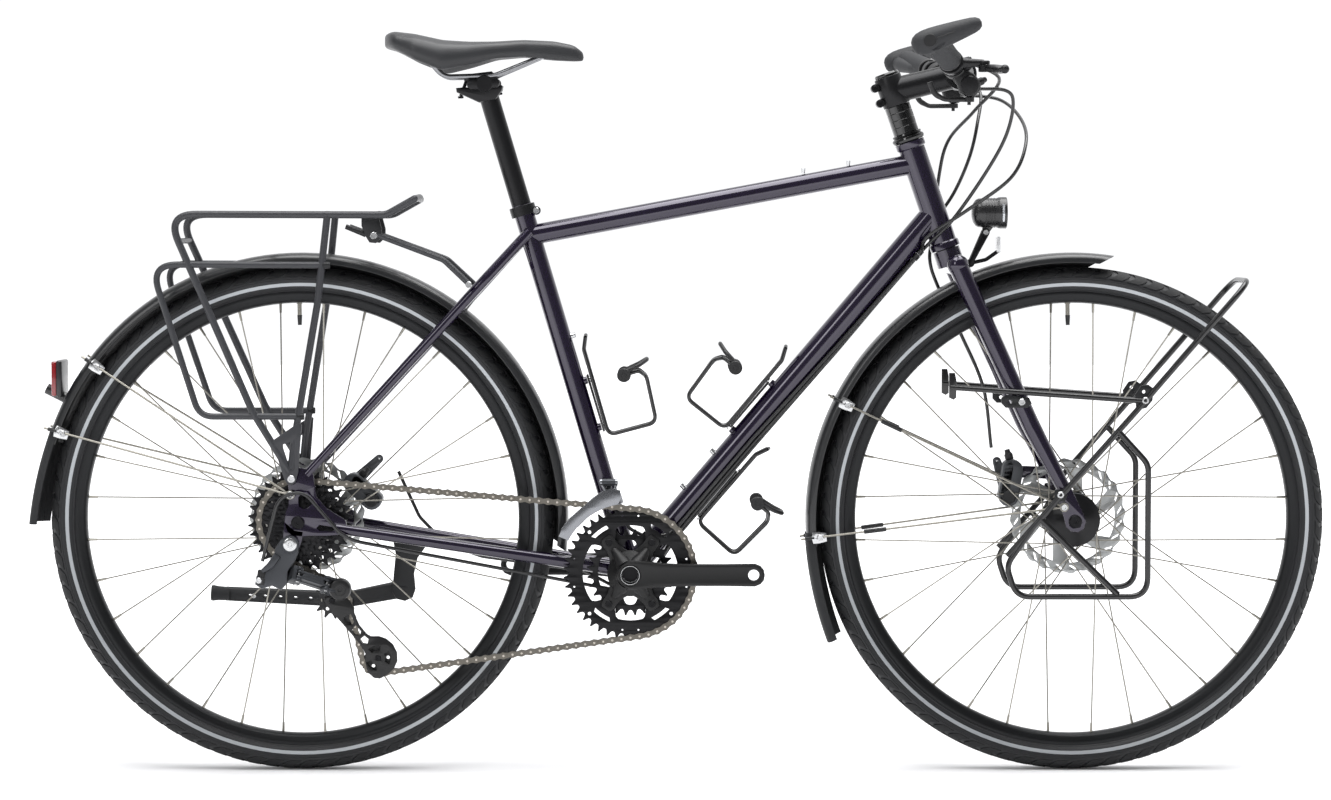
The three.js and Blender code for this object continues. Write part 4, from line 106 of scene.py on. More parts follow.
def studio_light(name, place, aim, width, height, power):
    """A rectangular soft light that points at a place."""
    lamp = bpy.data.lights.new(name, "AREA")
    lamp.shape = "RECTANGLE"
    lamp.size, lamp.size_y, lamp.energy = width, height, power
    light = bpy.data.objects.new(name, lamp)
    light.location = place
    light.rotation_euler = (Vector(aim) - Vector(place)).to_track_quat("-Z", "Y").to_euler()
    bpy.context.scene.collection.objects.link(light)


# Matt white, with nothing on it to catch the eye
paper = surface("white_studio_paper", "f6f6f7", 0.9, shade=0.01)
sweep = bmesh.new()
bmesh.ops.create_grid(sweep, x_segments=1, y_segments=1, size=14.0)
paper_mesh = bpy.data.meshes.new("studio_floor")
sweep.to_mesh(paper_mesh)
sweep.free()
paper_mesh.materials.append(paper)
# The paper glows with a painted light, faint by the bicycle and stronger away from it, so that it runs
# into the bright air without an edge
paper_tree = paper.node_tree
paper_place = add(paper_tree, "ShaderNodeTexCoord").outputs["Object"]
paper_reach = add(paper_tree, "ShaderNodeVectorMath", None, {0: paper_place}, operation="LENGTH")
paper_painted_glow = add(paper_tree, "ShaderNodeMapRange",
                  {"From Min": 1.1, "From Max": 3.6, "To Min": 0.03, "To Max": 0.95},
                  {"Value": paper_reach.outputs["Value"]}, interpolation_type="SMOOTHSTEP")
paper_shader = paper_tree.nodes["Principled BSDF"]
paper_shader.inputs["Emission Color"].default_value = linear("f6f6f7")
paper_tree.links.new(paper_painted_glow.outputs["Result"], paper_shader.inputs["Emission Strength"])
studio_floor = bpy.data.objects.new("studio_floor", paper_mesh)
bpy.context.scene.collection.objects.link(studio_floor)

# Air of the room: bright behind the bicycle, where the paper is lit, and dim on the drive side
sky = bpy.data.worlds.new("studio_air")
sky.use_nodes = True
sky_tree = sky.node_tree
sky_tree.nodes.clear()
compass = add(sky_tree, "ShaderNodeTexCoord").outputs["Generated"]
northward = add(sky_tree, "ShaderNodeSeparateXYZ", None, {"Vector": compass})
brightness = add(sky_tree, "ShaderNodeMapRange",
                 {"From Min": -0.35, "From Max": 0.55, "To Min": 0.2, "To Max": 1.06},
                 {"Value": northward.outputs["Y"]}, interpolation_type="SMOOTHSTEP")
# What is seen of the air directly is plain white from every side
seen = add(sky_tree, "ShaderNodeLightPath").outputs["Is Camera Ray"]
strength = add(sky_tree, "ShaderNodeMix", {3: 1.06}, {0: seen, 2: brightness.outputs["Result"]})
glow = add(sky_tree, "ShaderNodeBackground", {"Color": (0.985, 0.988, 1.0, 1.0)},
           {"Strength": strength.outputs[0]})
add(sky_tree, "ShaderNodeOutputWorld", None, {"Surface": glow.outputs["Background"]})
bpy.context.scene.world = sky
bpy.context.scene.view_settings.view_transform = "Standard"
studio_light("overhead_softbox", (0.2, -0.3, 4.2), (0, 0, 0), 4.6, 3.0, 260)
studio_light("front_softbox", (-2.4, -3.4, 2.4), (0, 0, 0.5), 0.9, 1.8, 26)

# Landmarks of the frame, all on its middle plane: the two axles and the crank.
landmarks = {}
for joint in frame["joints"]:
    ahead, _, height = joint.get("pos_m") or (0, 0, 0)
    landmarks[joint["name"]] = Vector((ahead, 0, height))
rear_axle, front_axle = landmarks["rear_wheel_spin"], landmarks["front_wheel_spin"]
crank_centre = landmarks["crank_spin"]


# Tyres: black rubber on a rounded casing, a reflective stripe moulded into each sidewall, and tread
# blocks that run over the shoulder with a curved slot between each two.
def near(origin, x, z, y=0.0):
    """A place in millimetres from a landmark: ahead of it, above it and out from the middle plane."""
    return origin + Vector((x, y, z)) / 1000


def put(bm, part, *places):
    """Adds a copy of the part to the piece at each place, and clears the part away."""
    mesh = bpy.data.meshes.new("part")
    part.to_mesh(mesh)
    part.free()
    for place in places or [Matrix.Identity(4)]:
        copy = mesh.copy()
        copy.transform(place)
        bm.from_mesh(copy)
        bpy.data.meshes.remove(copy)
    bpy.data.meshes.remove(mesh)


def standing(axis, place):
    """Stands a shape made round the upright on another axis, at a place."""
    turn = Vector((0, 0, 1)).rotation_difference(Vector(axis).normalized())
    return Matrix.Translation(place) @ turn.to_matrix().to_4x4()


def lathe(bm, profile, place, axis=(0, 1, 0), steps=32, closed=True):
    """Turns a profile of [radius, along the axis] pairs, in millimetres."""
    part = bmesh.new()
    line = [part.verts.new((radius / 1000, 0, along / 1000)) for radius, along in profile]
    pairs = list(zip(line, line[1:])) + ([(line[-1], line[0])] if closed else [])
    edges = [part.edges.new(pair) for pair in pairs]
    bmesh.ops.spin(part, geom=line + edges, cent=(0, 0, 0), axis=(0, 0, 1), angle=2 * math.pi,
                   steps=steps, use_merge=True)
    put(bm, part, standing(axis, place))


def solid(name, bm, material, slot, body, *nodes, crease=32):
    """Makes the piece one object of that material, riding on the body, if any, in place of the nodes."""
    bmesh.ops.remove_doubles(bm, verts=bm.verts, dist=2e-6)
    bmesh.ops.recalc_face_normals(bm, faces=bm.faces)
    mesh = bpy.data.meshes.new(name)
    bm.to_mesh(mesh)
    bm.free()
    mesh.materials.append(material)
    mesh.shade_smooth()
    mesh.set_sharp_from_angle(angle=math.radians(crease))
    piece = bpy.data.objects.new(name, mesh)
    bpy.context.scene.collection.objects.link(piece)
    if body:
        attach(piece, body)
    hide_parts(*nodes)
    return piece


# Dull black with a fine tooth, so the blocks show by their edges
tyre_rubber = surface("black_tyre_rubber", "141517", 0.7, shade=0.25, grain=0.5, depth=0.05)
# Greyer and smoother than the tread, so the casing shows as a band
sidewall_rubber = surface("sidewall_rubber", "1b1c1f", 0.55, shade=0.2, grain=0.9, depth=0.04)
# Pale beaded film, which stays light from any side
stripe_film = surface("reflective_stripe", "b4b8bc", 0.42, metallic=0.35, shade=0.1, grain=0.4, depth=0.02)
wheel_radius, casing_middle = 351, 331
tyre_half_width, tyre_half_height = 20.6, 17.8
block_count, block_length = 88, 18.6
# Half of the casing, from the bead seat to the crown
casing = [(316.4, 10.4), (316.4, 12.6), (318.4, 14.6), (319.4, 14.5), (321.5, 16.6), (324.2, 18.3),
          (329.2, 20.2), (331, 20.6), (333.4, 20.9), (334, 20.3), (335, 20.3), (335.6, 20.7), (338, 20.2),
          (341, 18.6), (344.4, 15.4), (347, 11), (348.4, 6), (348.7, 0)]
stripe = [(324.4, 18.35), (324.6, 18.75), (326.8, 19.7), (329, 20.5), (329.2, 20.15)]
for end, axle in (("front", front_axle), ("rear", rear_axle)):
    bm = bmesh.new()
    far_half = [(radius, -out) for radius, out in reversed(casing[:-1])]
    lathe(bm, casing + far_half, axle, steps=144)
    solid(f"{end}_tyre_casing", bm, sidewall_rubber, "tyre_rubber", f"{end}_wheel_body", f"{end}_tyre")

    bm = bmesh.new()
    for side in (1, -1):
        lathe(bm, [(radius, side * out) for radius, out in stripe], axle, steps=144)
    solid(f"{end}_tyre_stripe", bm, stripe_film, "tyre_rubber", f"{end}_wheel_body", f"{end}_tyre")

    # One shoulder block, bent over the casing; then all of them round both shoulders, and the centre rib
    bm = bmesh.new()
    for side in (1, -1):
        block = bmesh.new()
        bmesh.ops.create_grid(block, x_segments=3, y_segments=5, size=0.5)
        for edge in bmesh.ops.extrude_face_region(block, geom=block.faces[:])["geom"]:
            if isinstance(edge, bmesh.types.BMVert):
                edge.co.z = 1.0
        for vert in block.verts:
            rise = vert.co.z
            along, down = vert.co.x * (0.92 if rise else 1), (vert.co.y + 0.5) * (0.97 if rise else 1)
            slope = math.radians(17 + 53 * down)
            swell = 0.4 + (2.1 if rise else -1.4)
            out = (tyre_half_width + swell) * math.sin(slope)
            radius = casing_middle + (tyre_half_height + swell) * math.cos(slope)
            shift = along * block_length + 7 * math.sin(math.pi * down) - 9 * down
            angle = side * shift / wheel_radius
            vert.co = (radius * math.cos(angle) / 1000, side * out / 1000, radius * math.sin(angle) / 1000)
        turns = [2 * math.pi * (i + side / 4) / block_count for i in range(block_count)]
        put(bm, block, *[Matrix.Translation(axle) @ Matrix.Rotation(turn, 4, "Y") for turn in turns])
        lathe(bm, [(347.2, side * 6), (350.2, side * 5.2), (350.9, side * 1), (347.2, side * 0.8)], axle,
              steps=176)
    solid(f"{end}_tyre_tread", bm, tyre_rubber, "tyre_rubber", f"{end}_wheel_body", f"{end}_tyre")


# Rims: satin black box section with rounded brows; steel spokes laced three-cross into bright nipples,
# and a valve with a black cap at the top of each wheel.
def bar(bm, start, end, width, end_width=None, sides=12):
    """A straight round bar between two places, with flat ends; its widths are in millimetres."""
    run = end - start
    part = bmesh.new()
    bmesh.ops.create_cone(part, cap_ends=True, segments=sides, radius1=width / 2000,
                          radius2=(end_width or width) / 2000, depth=run.length)
    put(bm, part, standing(run, (start + end) / 2))


def rod(bm, middle, half, width, sides=12):
    """A straight round bar to both sides of its middle; half of its length is given as a direction."""
    reach = Vector(half) / 1000
    bar(bm, middle - reach, middle + reach, width, sides=sides)


# Satin dyed black, with one long soft highlight round the rim
rim_black = surface("satin_black_anodised_rim", "1c1d1f", 0.38, metallic=0.55, shade=0.15, grain=0.3,
                    depth=0.01)
# Drawn wire, which shows as thin warm grey lines
spoke_steel = surface("drawn_stainless_spoke", "98958d", 0.3, metallic=1.0, shade=0.08, grain=0.5)
# Plain moulded black, slightly shiny
valve_cap = surface("black_plastic_cap", "17181a", 0.45, shade=0.1)
rim_half = [(316.2, 9.5), (316.4, 13.4), (314.6, 13.7), (311, 13.5), (310.4, 13.1), (306, 12.2), (302.8, 9.4),
            (301.2, 5.2), (300.8, 0)]
rim_well = [(309.5, 0), (309.8, 6), (312.5, 9.2)]
spoke_sets = {
    "front": [(35, -24.7, 0.25), (35, 24.7, 0.75)],
    "rear": [(26, -22.7, 0.25), (26, 30.7, 0.75)],
}


def at_angle(axle, radius, angle, out=0.0):
    """A place on a circle about an axle; the angle is in degrees, up from straight ahead."""
    turn = math.radians(angle)
    return near(axle, radius * math.cos(turn), radius * math.sin(turn), out)


for end, axle in (("front", front_axle), ("rear", rear_axle)):
    body, node = f"{end}_wheel_body", f"{end}_wheel"
    bm = bmesh.new()
    lathe(bm, rim_half + [(r, -y) for r, y in reversed(rim_half[:-1])]
          + [(r, -y) for r, y in reversed(rim_well[1:])] + rim_well, axle, steps=144)
    solid(f"{end}_rim", bm, rim_black, "satin_black_metal", body, node)

    bm = bmesh.new()
    for flange, out, shift in spoke_sets[end]:
        for i in range(16):
            lean = 1 if i % 2 == 0 else -1
            hub_angle = (i + shift) * 22.5
            foot = at_angle(axle, flange, hub_angle, out + lean * 2.6)
            tip = at_angle(axle, 303, hub_angle + lean * 67.5, lean * 1.2 + (2 if out > 0 else -2))
            nipple = tip + (foot - tip).normalized() * 0.0145
            bar(bm, foot, tip, 2.0, sides=8)
            bar(bm, tip, nipple, 4.0, 3.2, sides=8)
            bar(bm, foot, foot + Vector((0, -lean * 0.0034, 0)), 2.1, sides=8)
            bar(bm, foot + Vector((0, -lean * 0.0052, 0)), foot + Vector((0, -lean * 0.006, 0)), 4.2, 3.2,
                sides=10)
    solid(f"{end}_spokes", bm, spoke_steel, "stainless_steel", body, node)

    bm = bmesh.new()
    valve_angle = 90.7 if end == "rear" else 91.2
    bar(bm, at_angle(axle, 302, valve_angle), at_angle(axle, 283, valve_angle), 6.0)
    bar(bm, at_angle(axle, 303, valve_angle), at_angle(axle, 299.4, valve_angle), 8.4, sides=6)
    solid(f"{end}_valve_stem", bm, spoke_steel, "stainless_steel", body, node)
    bm = bmesh.new()
    bar(bm, at_angle(axle, 284, valve_angle), at_angle(axle, 270, valve_angle), 7.0, 5.4)
    solid(f"{end}_valve_cap", bm, valve_cap, "black_plastic", body, node)


# Hubs: a drum with the lamp's dynamo in front and a slim barrel behind, satin black, the spoke heads
# bright in their flanges; the disc brake's rotor bolts to the far side of each.

# Smooth dyed black, so the drum has a round soft highlight
hub_black = surface("satin_black_hub_shell", "19191b", 0.33, metallic=0.45, shade=0.12, grain=0.4, depth=0.01)
front_shell = [(6.3, -49.7), (10, -49.7), (10.6, -46), (13, -44), (13, -38), (20, -35), (27, -31), (32, -29),
               (37, -28), (38, -27), (38, -23.2), (37, -22.4), (34.6, -21.4), (33.6, -18), (33.2, 0),
               (33.6, 18), (34.6, 21.4), (37, 22.4), (38, 23.2), (38, 27), (37, 28), (30, 29), (26.6, 31),
               (26.6, 38.4), (21.7, 38.4), (21.7, 41.2), (17, 43), (12, 44.6), (10, 46), (10, 49.7),
               (6.3, 49.7)]
rear_shell = [(6.3, -70.7), (16.2, -70.7), (16.2, -38), (15, -36), (14.4, -30), (16, -27), (28, -25.6),
              (29, -24.8), (29, -21), (28, -20.2), (20, -19), (15.4, -14), (13.8, 0), (15.4, 20), (20, 27),
              (28, 28.2), (29, 29), (29, 33), (28, 33.8), (26.6, 35), (26.6, 54.5), (21.7, 54.5),
              (21.7, 57.2), (17, 59), (12, 61), (9, 63), (9, 70.7), (6.3, 70.7)]
for end, axle, shell in (("front", front_axle, front_shell), ("rear", rear_axle, rear_shell)):
    bm = bmesh.new()
    lathe(bm, shell, axle, steps=56)
    solid(f"{end}_hub_shell", bm, hub_black, "satin_black_metal", f"{end}_wheel_body", f"{end}_wheel")


# Brake rotors: stainless discs cut by laser, with a wavy edge, slots and swept spokes, each on a black
# carrier that is bolted to the hub.
def plate(bm, outlines, thickness, place, bevel=0.0, lean=None):
    """A flat plate in side view: the first outline less the others, in millimetres from its place."""
    curve = bpy.data.curves.new("plate", "CURVE")
    curve.dimensions, curve.fill_mode = "2D", "BOTH"
    curve.extrude, curve.bevel_depth = thickness / 2000 - bevel / 1000, bevel / 1000
    curve.offset = -bevel / 1000
    curve.bevel_resolution = 1
    for outline in outlines:
        spline = curve.splines.new("POLY")
        spline.points.add(len(outline) - 1)
        spline.use_cyclic_u = True
        for point, (x, z) in zip(spline.points, outline):
            point.co = (x / 1000, z / 1000, 0, 1)
    shape = bpy.data.objects.new("plate", curve)
    part = bmesh.new()
    part.from_mesh(shape.to_mesh())
    bpy.data.objects.remove(shape)
    bpy.data.curves.remove(curve)
    bmesh.ops.remove_doubles(part, verts=part.verts, dist=1e-6)
    put(bm, part, Matrix.Translation(place) @ (lean or Matrix.Identity(4))
        @ Matrix.Rotation(math.pi / 2, 4, "X"))


def circle(x, z, radius, count=24):
    """A round outline."""
    return [(x + radius * math.cos(2 * math.pi * i / count), z + radius * math.sin(2 * math.pi * i / count))
            for i in range(count)]


def swept(inner, outer, start, end, lean, count=6):
    """A window between two radii whose sides lean; the angles are in degrees."""
    spread = [start + (end - start) * i / count for i in range(count + 1)]
    low = [(inner * math.cos(math.radians(a)), inner * math.sin(math.radians(a))) for a in spread]
    high = [(outer * math.cos(math.radians(a + lean)), outer * math.sin(math.radians(a + lean)))
            for a in spread]
    return low + high[::-1]


# Brushed steel, bright with a soft streak of light
rotor_steel = surface("brushed_stainless_rotor", "a9abab", 0.32, metallic=1.0, shade=0.12, grain=0.25,
                      depth=0.01)
# Dyed black metal with a muted shine
carrier_black = surface("black_anodised_carrier", "1a1a1c", 0.42, metallic=0.5, shade=0.1)
for end, axle, out in (("front", front_axle, 39.6), ("rear", rear_axle, 55.7)):
    edge = []
    for step in range(240):
        angle = 2 * math.pi * step / 240
        wave = math.sin(24 * angle)
        radius, leant = 80.2 + 1.4 * wave, angle + 0.012 * wave
        edge.append((radius * math.cos(leant), radius * math.sin(leant)))
    cuts = [swept(31, 66.4, 60 * i + 9, 60 * i + 48, 24, 8) for i in range(6)]
    slots = [swept(70, 76.4, 15 * i + 1.4, 15 * i + 4.6, 6.5, 2) for i in range(24)]
    bm = bmesh.new()
    plate(bm, [edge, circle(0, 0, 22.4, 36), *cuts, *slots], 1.8, near(axle, 0, 0, out), 0.2)
    solid(f"{end}_rotor_disc", bm, rotor_steel, "stainless_steel", f"{end}_wheel_body", f"{end}_rotor")
    bm = bmesh.new()
    lathe(bm, [(21.9, -1.6), (25.4, -1.6), (26.4, -1), (26.4, 1), (25.4, 3.4), (21.9, 3.4)],
          near(axle, 0, 0, out), steps=36)
    solid(f"{end}_rotor_carrier", bm, carrier_black, "black_steel", f"{end}_wheel_body", f"{end}_rotor")


# Frame: butted steel tubes and plate dropouts, welded together and painted aubergine, with a pair of
# bosses under each bottle cage. The seat collar and the kickstand's plate are fixed to it.
def bent(points, radius, widths):
    """The path through the points with each corner rounded, and the width at every place on it."""
    path = [(points[0], widths[0])]
    for i in range(1, len(points) - 1):
        here, wide = points[i], widths[i]
        back, ahead = points[i - 1] - here, points[i + 1] - here
        turn = math.pi - back.angle(ahead, 0)
        reach = min(radius / 1000 * math.tan(turn / 2), back.length * 0.48, ahead.length * 0.48)
        if turn < 0.02 or reach <= 0:
            path.append((here, wide))
            continue
        start, end = here + back.normalized() * reach, here + ahead.normalized() * reach
        count = max(4, math.ceil(turn / 0.16))
        for step in range(count + 1):
            t = step / count
            path.append((start * (1 - t) ** 2 + here * 2 * t * (1 - t) + end * t ** 2, wide))
    return path + [(points[-1], widths[-1])]


def tube(bm, points, width, bend=0.0, sides=16):
    """A round tube along the points; its width is one diameter or one for each point, in millimetres."""
    widths = width if isinstance(width, (list, tuple)) else [width] * len(points)
    curve = bpy.data.curves.new("tube", "CURVE")
    curve.dimensions, curve.fill_mode, curve.use_fill_caps = "3D", "FULL", True
    curve.bevel_depth, curve.bevel_resolution = 0.0005, sides // 2 - 2
    path = bent(points, bend, widths)
    spline = curve.splines.new("POLY")
    spline.points.add(len(path) - 1)
    for point, (place, wide) in zip(spline.points, path):
        point.co = (*place, 1)
        point.radius = wide
    shape = bpy.data.objects.new("tube", curve)
    part = bmesh.new()
    part.from_mesh(shape.to_mesh())
    bpy.data.objects.remove(shape)
    bpy.data.curves.remove(curve)
    bmesh.ops.remove_doubles(part, verts=part.verts, dist=1e-6)
    put(bm, part)


# Nearly black in shade and plum where light strikes it, under a sharp clear gloss
frame_paint = surface("aubergine_pearl_paint", "190d2a", 0.22, metallic=0.5, coat=1.0, shade=0.1, grain=1.0)
seat_line = Vector((-0.2857, 0, 0.9583))
head_line = Vector((-0.3256, 0, 0.9455))
head_foot = near(front_axle, -46.54, 0)


def up_seat(along):
    """A place on the seat tube's axis, that far up it from the crank."""
    return crank_centre + seat_line * along / 1000


def up_head(along):
    """A place on the steering axis, that far up it from the height of the front axle."""
    return head_foot + head_line * along / 1000


def out_to(place, out):
    """The same place moved out to one side."""
    return Vector((place.x, out / 1000, place.z))


down_head = up_head(449.5)
top_head = up_head(523)
seat_stay_foot, chainstay_foot = near(rear_axle, 12, 66), near(rear_axle, 52, -8)
stay_top = up_seat(492)
seat_stay_knee = seat_stay_foot.lerp(stay_top, 395 / 492)
chainstay_knee = crank_centre.lerp(chainstay_foot, 70 / 463)
dropout = [(2, 76), (13, 74), (22, 66), (24, 50), (26, 36), (40, 20), (66, 4), (68, -6), (62, -16), (40, -18),
           (14, -18), (4, -19), (-8, -18), (-15, -12), (-18, -2), (-18, 10), (-13, 24), (-12, 36), (-13, 52),
           (-14, 66), (-8, 74)]
window = [(1, 35), (5, 39), (11, 40), (15, 38), (17, 32), (20, 27), (15, 21), (8, 19), (2, 22)]
hanger = [(-18, 2), (-4, -10), (8, -12), (6, -24), (2, -36), (-5, -41), (-13, -38), (-20, -30), (-20, -14)]
slots_below = [(30, -3), (48, -6), (52, -9), (48, -12), (30, -11), (26, -7)]
bm = bmesh.new()
lathe(bm, [(15.6, -34), (19.4, -34), (20, -33.4), (20, 33.4), (19.4, 34), (15.6, 34)], crank_centre, steps=40)
tube(bm, [crank_centre + seat_line * 0.014, up_seat(531)], 28.6, sides=40)
tube(bm, [up_seat(487), top_head], 28.6, sides=40)
tube(bm, [crank_centre + (down_head - crank_centre).normalized() * 0.012, down_head], 35, sides=48)
ring = [(14.8, 0), (20.4, 0), (21, 0.6), (21, 7.6), (20.4, 9), (18.5, 10.4)]
head_length = 156.9
lathe(bm, ring + [(r, head_length - a) for r, a in reversed(ring)], up_head(398), head_line, steps=48)
for side in (1, -1):
    tube(bm, [out_to(stay_top, side * 14), out_to(seat_stay_knee, side * 39),
              out_to(seat_stay_foot, side * 74)], [15, 15, 12], 90, 24)
    tube(bm, [out_to(crank_centre, side * 24), out_to(chainstay_knee, side * 29),
              out_to(chainstay_foot, side * 74)], [20, 18, 14], 160, 24)
    plate(bm, [dropout, window, circle(0, 0, 6.6), slots_below], 6, near(rear_axle, 0, 0, side * 74), 0.7)
    for x, z in ((-7.5, 61), (-9.3, 39)):
        bar(bm, near(rear_axle, x, z, side * 76), near(rear_axle, x, z, side * 81), 12.4, sides=24)
plate(bm, [hanger, circle(-9, -28.5, 4)], 6, near(rear_axle, 0, 0, -74), 0.8)
for bridge, reach in ((chainstay_knee, 27), (seat_stay_knee, 36)):
    bar(bm, out_to(bridge, -reach), out_to(bridge, reach), 10)
down_line = (down_head - crank_centre).normalized()
up_from_down, ahead_of_seat = Vector((-down_line.z, 0, down_line.x)), Vector((seat_line.z, 0, -seat_line.x))
seat_radius, down_radius = 14.3, 17.5
bosses = [(up_seat(485 * share), ahead_of_seat, seat_radius) for share in (0.42, 0.56)]
for away, shares in ((up_from_down, (0.37, 0.5)), (-up_from_down, (0.18, 0.31))):
    bosses += [(crank_centre.lerp(down_head, share), away, down_radius) for share in shares]
for place, away, radius in bosses:
    bar(bm, place + away * (radius - 2) / 1000, place + away * (radius + 3.8) / 1000, 12, 10.4, sides=20)
solid("frame_tubes", bm, frame_paint, "frame_paint", "frame_body", "frame")

# Seat collar: a black alloy ring round the top of the seat tube, pulled tight by a bolt through its ears

# Dyed black, a shade duller than the paint beside it
collar_black = surface("black_anodised_collar", "19191b", 0.36, metallic=0.5, shade=0.12, grain=0.4)
ear = up_seat(523) + Vector((0.0185, 0, 0))
bm = bmesh.new()
lathe(bm, [(14.4, 0), (17.4, 0), (18, 0.6), (18, 13.4), (17.4, 14), (14.4, 14)], up_seat(516), seat_line,
      steps=36)
rod(bm, ear, (0, 8.5, 0), 12, 20)
solid("seat_collar_ring", bm, collar_black, "satin_black_metal", "frame_body", "frame")

# Kickstand plate and the leg's slanted pin, under the left chainstay

# Satin black over the faint grain of a forging
stand_black = surface("satin_black_forged_alloy", "1d1e20", 0.45, metallic=0.3, shade=0.15, grain=0.5,
                      depth=0.03)
stand_pivot = near(rear_axle, 135, -112, 66)
stand_pin = Vector((0, math.cos(math.radians(25)), math.sin(math.radians(25))))
bm = bmesh.new()
plate(bm, [[(118, -24), (126, -20), (164, -27), (171, -31), (168, -44), (155, -62), (150, -84), (152, -106),
            (148, -118), (137, -123), (125, -120), (119, -110), (121, -86), (124, -56)]], 6,
      near(rear_axle, 0, 0, 66), 1.2)
bar(bm, stand_pivot, stand_pivot + stand_pin * 0.0085, 21, sides=24)
bar(bm, stand_pivot, stand_pivot + stand_pin * 0.0189, 9.6, sides=16)
solid("kickstand_bracket", bm, stand_black, "satin_black_metal", "frame_body", "frame")


# Fork: a painted crown tube, two raked blades brazed into it, plate dropouts and the brake's mounting
# tab; the bare black steerer runs up through the head tube.
crown_foot = up_head(374)
bm = bmesh.new()
blade_head = crown_foot + Vector((0.006, 0, 0))
blade_end = near(front_axle, -16, 46)
lathe(bm, [(14.4, 0), (18.4, 0), (19, 0.6), (19, 23), (14.4, 23)], crown_foot, head_line, steps=40)
tube(bm, [out_to(blade_head, -42), out_to(blade_head, 42)], 30, sides=32)
for side in (1, -1):
    low = blade_head.lerp(blade_end, 0.72) + Vector((-0.004, 0, 0))
    tube(bm, [out_to(blade_head, side * 42), out_to(low, side * 50), out_to(blade_end, side * 53.5)],
         [28, 25, 19], 260, 28)
    bmesh.ops.create_uvsphere(bm, u_segments=28, v_segments=14, radius=0.015,
                              matrix=Matrix.Translation(out_to(blade_head, side * 42)))
    plate(bm, [[(-27, 44), (-22, 50), (-12, 52), (-6, 47), (12, 9), (15, 0), (12, -10), (4, -15), (-6, -14),
                (-13, -7), (-15, 2)], circle(0, 0, 6.6)], 7, near(front_axle, 0, 0, side * 53.5), 1.2)
plate(bm, [[(-8, 58), (-14, 68), (-66, 70), (-73, 66), (-73, 57), (-66, 53), (-20, 51)]], 7,
      near(front_axle, 0, 0, 53.5), 1)
solid("fork_crown_and_blades", bm, frame_paint, "frame_paint", "steering", "fork")
bm = bmesh.new()
bar(bm, up_head(380), up_head(648), 28.6, sides=32)
solid("steerer_tube", bm, stand_black, "satin_black_metal", "steering", "fork")


# Axles and fasteners: black through axles with a socket in the head, and bright hexagon-socket bolts
# where racks, mudguards, cages and the seat collar are fixed to the frame.
def bolt(bm, place, axis, width=9.0, height=4.0):
    """A round bolt head with a socket, its underside at the place."""
    half, socket = width / 2, width * 0.26
    lathe(bm, [(0, height * 0.35), (socket, height * 0.35), (socket, height), (half - 0.6, height),
               (half, height - 0.6), (half, 0), (0, 0)], place, axis, steps=20, closed=False)


# Blackened steel with a low sheen
axle_black = surface("black_oxide_steel", "202022", 0.35, metallic=0.8, shade=0.15, grain=0.4, depth=0.01)
# Clean bright steel: the brightest spots on the bicycle
steel_bright = surface("polished_stainless_bolt", "c9cacb", 0.22, metallic=1.0, shade=0.1, grain=0.3)
for name, axle, out, body in (("rear_axle", rear_axle, 77.3, "frame_body"),
                              ("front_axle", front_axle, 57.3, "steering")):
    bm = bmesh.new()
    bar(bm, out_to(axle, 1 - out), out_to(axle, out - 1), 12, sides=24)
    lathe(bm, [(0, 0.5), (3, 0.5), (3, 2.6), (7.6, 2.6), (9, 1.6), (9, 0), (0, 0)], out_to(axle, -out),
          (0, -1, 0), steps=32, closed=False)
    solid(name, bm, axle_black, "black_steel", body, name)
bm = bmesh.new()
for side in (1, -1):
    bolt(bm, near(rear_axle, -9.3, 39, side * 85.2), (0, side, 0), 10, 3)
    bolt(bm, near(rear_axle, -7.5, 61, side * 85.6), (0, side, 0), 10.4, 3.2)
bolt(bm, ear + Vector((0, -0.0085, 0)), (0, -1, 0), 9, 3)
for place, away, radius in bosses:
    bolt(bm, place + away * (radius + 6.8) / 1000, away, 8.6, 2.4)
solid("frame_bolts", bm, steel_bright, "stainless_steel", "frame_body", "frame")


# Mudguards: a thin black blade with rolled edges round each tyre, a soft flap at its tail, and bright
# wire stays bolted to the dropouts and held in clips, with black sleeves on their ends.

# Smooth black under a thin lacquer, so a pale streak runs along the crown
guard_black = surface("satin_black_mudguard", "1a1b1d", 0.36, coat=0.25, shade=0.12, grain=0.8, depth=0.01)
# Matt and slightly grey, with no highlight
flap_rubber = surface("matt_flap_rubber", "232426", 0.8, shade=0.15, grain=0.7, depth=0.05)
guard_section = [(27.6, -23), (27.6, -13), (26.8, -9), (25, -5.5), (21, -2.6), (14, -0.9), (6, -0.1), (0, 0),
                 (-6, -0.1), (-14, -0.9), (-21, -2.6), (-25, -5.5), (-26.6, -9), (-27, -13), (-26.2, -14),
                 (-25.2, -13), (-25, -9.5), (-23.8, -6.8), (-20.2, -4.2), (-13.6, -2.5), (-6, -1.7),
                 (0, -1.6), (6, -1.7), (13.6, -2.5), (20.2, -4.2), (23.8, -6.8), (25, -9.5), (25.2, -13),
                 (26.2, -14)]


